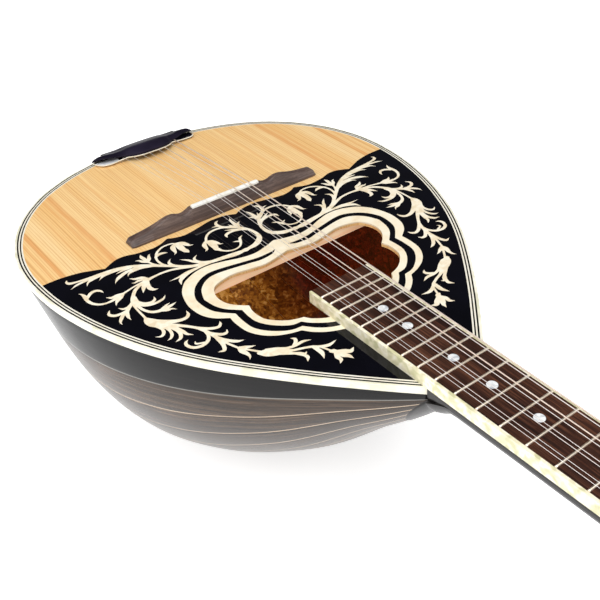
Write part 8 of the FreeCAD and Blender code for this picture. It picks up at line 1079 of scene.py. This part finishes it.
# Plain parts of the shaft: distance outwards from the post line, radius.
SHAFT_INNER = [(-6.30, 1.25), (-6.05, 1.48), (-4.05, 1.48), (-3.85, 1.9)]
SHAFT_OUTER = [(3.85, 1.9), (4.05, 1.48), (14.95, 1.48), (15.0, 2.3), (15.15, 2.58),
               (16.2, 2.58), (16.38, 2.3), (16.42, 1.48), (17.4, 1.48)]
WORM_HALF = 3.8  # half length of the threaded part
WORM_PITCH = 2.45
BUTTON_START = 16.5
# Button: distance from its inner end, half width along the head, half thickness.
BUTTON = np.array([
    (0.0, 2.3, 2.0), (0.25, 2.9, 2.6), (0.8, 3.6, 2.95), (2.5, 5.1, 3.2), (4.5, 6.05, 3.4),
    (6.5, 6.45, 3.48), (8.5, 6.4, 3.48), (10.5, 6.0, 3.4), (12.2, 5.25, 3.2),
    (13.6, 4.2, 2.8), (14.4, 3.1, 2.2), (14.85, 1.7, 1.3), (15.0, 0.5, 0.4)])


def thread_radius(out, turn):
    phase = (out / WORM_PITCH - turn / (2 * math.pi)) % 1.0
    tooth = min(1.0, max(0.0, (abs(phase - 0.5) * 2 - 0.30) / 0.38))
    return 1.92 + 1.22 * tooth * min(1.0, (WORM_HALF - abs(out)) / 0.5)


def build_tuner(number, post_x, post_u):
    side = 1 if post_x > 0 else -1
    axis_u = post_u + WORM_OFFSET
    body, replaced = "tuning_key_%d" % number, "tuner_shaft_%d" % number
    turns = [2 * math.pi * j / 24 for j in range(24)]
    thread = [(-WORM_HALF + 2 * WORM_HALF * k / 60.0, None) for k in range(61)]
    rings = []
    for out, plain in SHAFT_INNER + thread + SHAFT_OUTER:
        ring = []
        for turn in turns:
            radius = thread_radius(out, turn) if plain is None else plain
            ring.append((post_x + side * out, axis_u + radius * math.cos(turn),
                         WORM_W + radius * math.sin(turn)))
        rings.append(ring)
    piece("tuner_worm_%d" % number, Shells(*loft(from_head(rings))), "bright_steel", replaced,
          body=body, angle=35)

    rings = []
    for out in np.concatenate([[0.0, 0.12, 0.3], np.linspace(0.6, 14.4, 24),
                               [14.65, 14.85, 14.96, 15.0]]):
        width, thick = (curve(BUTTON[:, 0], BUTTON[:, k], out) for k in (1, 2))
        ring = []
        for j in range(32):
            cos, sin = math.cos(2 * math.pi * j / 32), math.sin(2 * math.pi * j / 32)
            ring.append((post_x + side * (BUTTON_START + out),
                         axis_u + width * np.sign(cos) * abs(cos) ** 0.9,
                         WORM_W + thick * np.sign(sin) * abs(sin) ** 0.75))
        rings.append(ring)
    piece("tuner_button_%d" % number, Shells(*loft(from_head(rings))), "button_pearl", replaced,
          body=body, angle=60)


for number, (post_x, post_u) in enumerate(POSTS, 1):
    build_tuner(number, post_x, post_u)

# Both ledges are one nickel part: the treble one is white as a painted highlight
build_ledge(1, "tail_ledge_treble", "bright_ledge")
# the bass one is black as painted shade under its wing
build_ledge(-1, "tail_ledge_bass", "black_cover")

# ------------------------------------------------------------------ heel
# Section of the neck foot at stations in y: half width, lowest depth.
NECK_STATIONS = [NECK_Y, 239.0, 246.0, 254.0, 262.0, 300.0]
NECK_HALF = [22.6, 22.6, 22.6, 22.5, 22.45, 22.1]
NECK_DEPTH = [24.0, 21.2, 17.2, 15.4, 15.25, 14.8]
HEEL_PHI = 8.0  # the cap starts and ends this far below the rim, in degrees
HEEL_END_Y = 252.5
HEEL_THICK = 1.2


def ramp_up(y, start, length):
    """Smooth step from 0 to 1."""
    part = min(1.0, max(0.0, (y - start) / length))
    return part * part * (3 - 2 * part)


def heel_point(y, phi, foot):
    """Outer surface (x, z) and outward direction, blending bowl into neck."""
    cos, sin = math.cos(math.radians(phi)), math.sin(math.radians(phi))
    neck_x = curve(NECK_STATIONS, NECK_HALF, y) * cos
    neck_z = -1.5 - (curve(NECK_STATIONS, NECK_DEPTH, y) - 1.5) * sin
    x, _, z = bowl(min(y, NECK_Y), phi)
    blend = ramp_up(y, start=NECK_Y, length=15.0)
    x, z = x * (1 - blend) + neck_x * blend, z * (1 - blend) + neck_z * blend
    # near the joint the cap covers whichever of the two is larger
    cover = ramp_up(y, start=223.5, length=10.0)
    x += cover * (math.copysign(max(abs(x), abs(neck_x)), cos) - x)
    z += cover * (min(z, neck_z) - z)
    lift = -0.25 + 0.85 * ramp_up(y, start=foot, length=3.0)
    lift -= 0.95 * min(1.0, max(0.0, (y - 243.5) / 9.0)) ** 1.2
    lift += 0.45 * math.exp(-((y - 235.5) / 3.5) ** 2)
    return x + cos * lift, z - sin * lift, cos, -sin


def build_heel():
    """The foot of the neck drawn over the rib ends in a point."""
    rings = []
    for phi in np.linspace(HEEL_PHI, 180.0 - HEEL_PHI, 83):
        below = max(0.0, min(phi, 180.0 - phi) - HEEL_PHI)
        foot = 235.2 - 29.0 * (below / (90.0 - HEEL_PHI)) ** 0.8
        outer, inner = [], []
        for y in foot + (HEEL_END_Y - foot) * np.linspace(0.0, 1.0, 34) ** 1.15:
            x, z, out_x, out_z = heel_point(y, phi, foot)
            outer.append((x, y, z))
            inner.append((x - out_x * HEEL_THICK, y, z - out_z * HEEL_THICK))
        rings.append(outer + inner[::-1])
    piece("heel_cap", Shells(*loft(rings)), "dark_neck", angle=50)


build_heel()


# ------------------------------------------------------------------ stage, light, camera (metres)
def build_floor():
    mat = Shader("floor_paper")
    paper = mat.ramp(mat.noise(mat.coords(), scale=0.004),
                     [(0.3, (250, 250, 250)), (0.7, (253, 253, 253))])
    mat.set(color=paper, rough=0.9, spec=0.1, emit_color=paper, emit=0.58)
    half, gap = 12.0, 0.0006
    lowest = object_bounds()[0][2]
    mesh = bpy.data.meshes.new("floor")
    mesh.from_pydata([(-half, -half, 0), (half, -half, 0), (half, half, 0), (-half, half, 0)],
                     [], [(0, 1, 2, 3)])
    mesh.materials.append(MATERIALS["floor_paper"])
    floor = add_object("floor", mesh)
    floor.location = (0.0, 0.4, lowest - gap)


def build_world():
    """White room; polished faces see one dark quarter in it, so that black sheet stays black."""
    world = bpy.data.worlds.new("studio")
    bpy.context.scene.world = world
    world.use_nodes = True
    nodes, link = world.node_tree.nodes, world.node_tree.links.new
    nodes.clear()
    output = nodes.new("ShaderNodeOutputWorld")
    room = nodes.new("ShaderNodeBackground")
    room.inputs["Color"].default_value = (1.0, 1.0, 1.0, 1.0)
    room.inputs["Strength"].default_value = 0.60
    mirrored = nodes.new("ShaderNodeBackground")
    mirrored.inputs["Color"].default_value = (1.0, 1.0, 1.0, 1.0)
    toward = nodes.new("ShaderNodeVectorMath")
    toward.operation = "DOT_PRODUCT"
    link(nodes.new("ShaderNodeTexCoord").outputs["Generated"], toward.inputs[0])
    toward.inputs[1].default_value = (-0.469, -0.646, 0.602)  # middle of the dark quarter
    darken = nodes.new("ShaderNodeMapRange")
    # from 0.60 to 0.86 of the cosine the strength falls from 1.0 to 0.06
    for i, value in enumerate((0.60, 0.86, 1.0, 0.06), 1):
        darken.inputs[i].default_value = value
    link(toward.outputs["Value"], darken.inputs[0])
    link(darken.outputs[0], mirrored.inputs["Strength"])
    choose = nodes.new("ShaderNodeMixShader")
    link(nodes.new("ShaderNodeLightPath").outputs["Is Glossy Ray"], choose.inputs[0])
    link(room.outputs[0], choose.inputs[1])
    link(mirrored.outputs[0], choose.inputs[2])
    link(choose.outputs[0], output.inputs[0])


def area_light(name, place, size, power):
    """Square white lamp aimed at the body."""
    light = bpy.data.lights.new(name, "AREA")
    light.shape = "RECTANGLE"
    light.size = light.size_y = size
    light.energy = power
    lamp = add_object(name, light)
    lamp.location = place
    aim = Vector((0.0, 0.15, 0.0)) - Vector(place)
    lamp.rotation_euler = aim.to_track_quat("-Z", "Y").to_euler()


def build_camera():
    camera = bpy.data.cameras.new("camera")
    camera.sensor_width = 36.0
    camera.lens = 50.72
    camera.clip_start = 0.01
    right = Vector((-0.79373354, 0.60739458, -0.03254062))
    down = Vector((0.38689619, 0.46286228, -0.79753987))
    forward = Vector((-0.46935957, -0.64562399, -0.60238797))
    matrix = Matrix((right, -down, -forward)).transposed().to_4x4()
    origin = Vector((0.0, ORIGIN_Y / 1000.0, ORIGIN_Z / 1000.0))
    matrix.translation = origin + Vector((0.272909, 0.464376, 0.315503))
    obj = add_object("camera", camera)
    obj.matrix_world = matrix
    bpy.context.scene.camera = obj


build_floor()
build_world()
area_light("key_top", place=(0.5, 0.9, 1.7), size=1.6, power=23.0)
area_light("side_left", place=(1.7, -0.2, 1.0), size=1.2, power=8.0)
build_camera()
view = bpy.context.scene.view_settings
view.view_transform = "Standard"
view.look = "None"
view.exposure = 0.0
view.gamma = 1.0
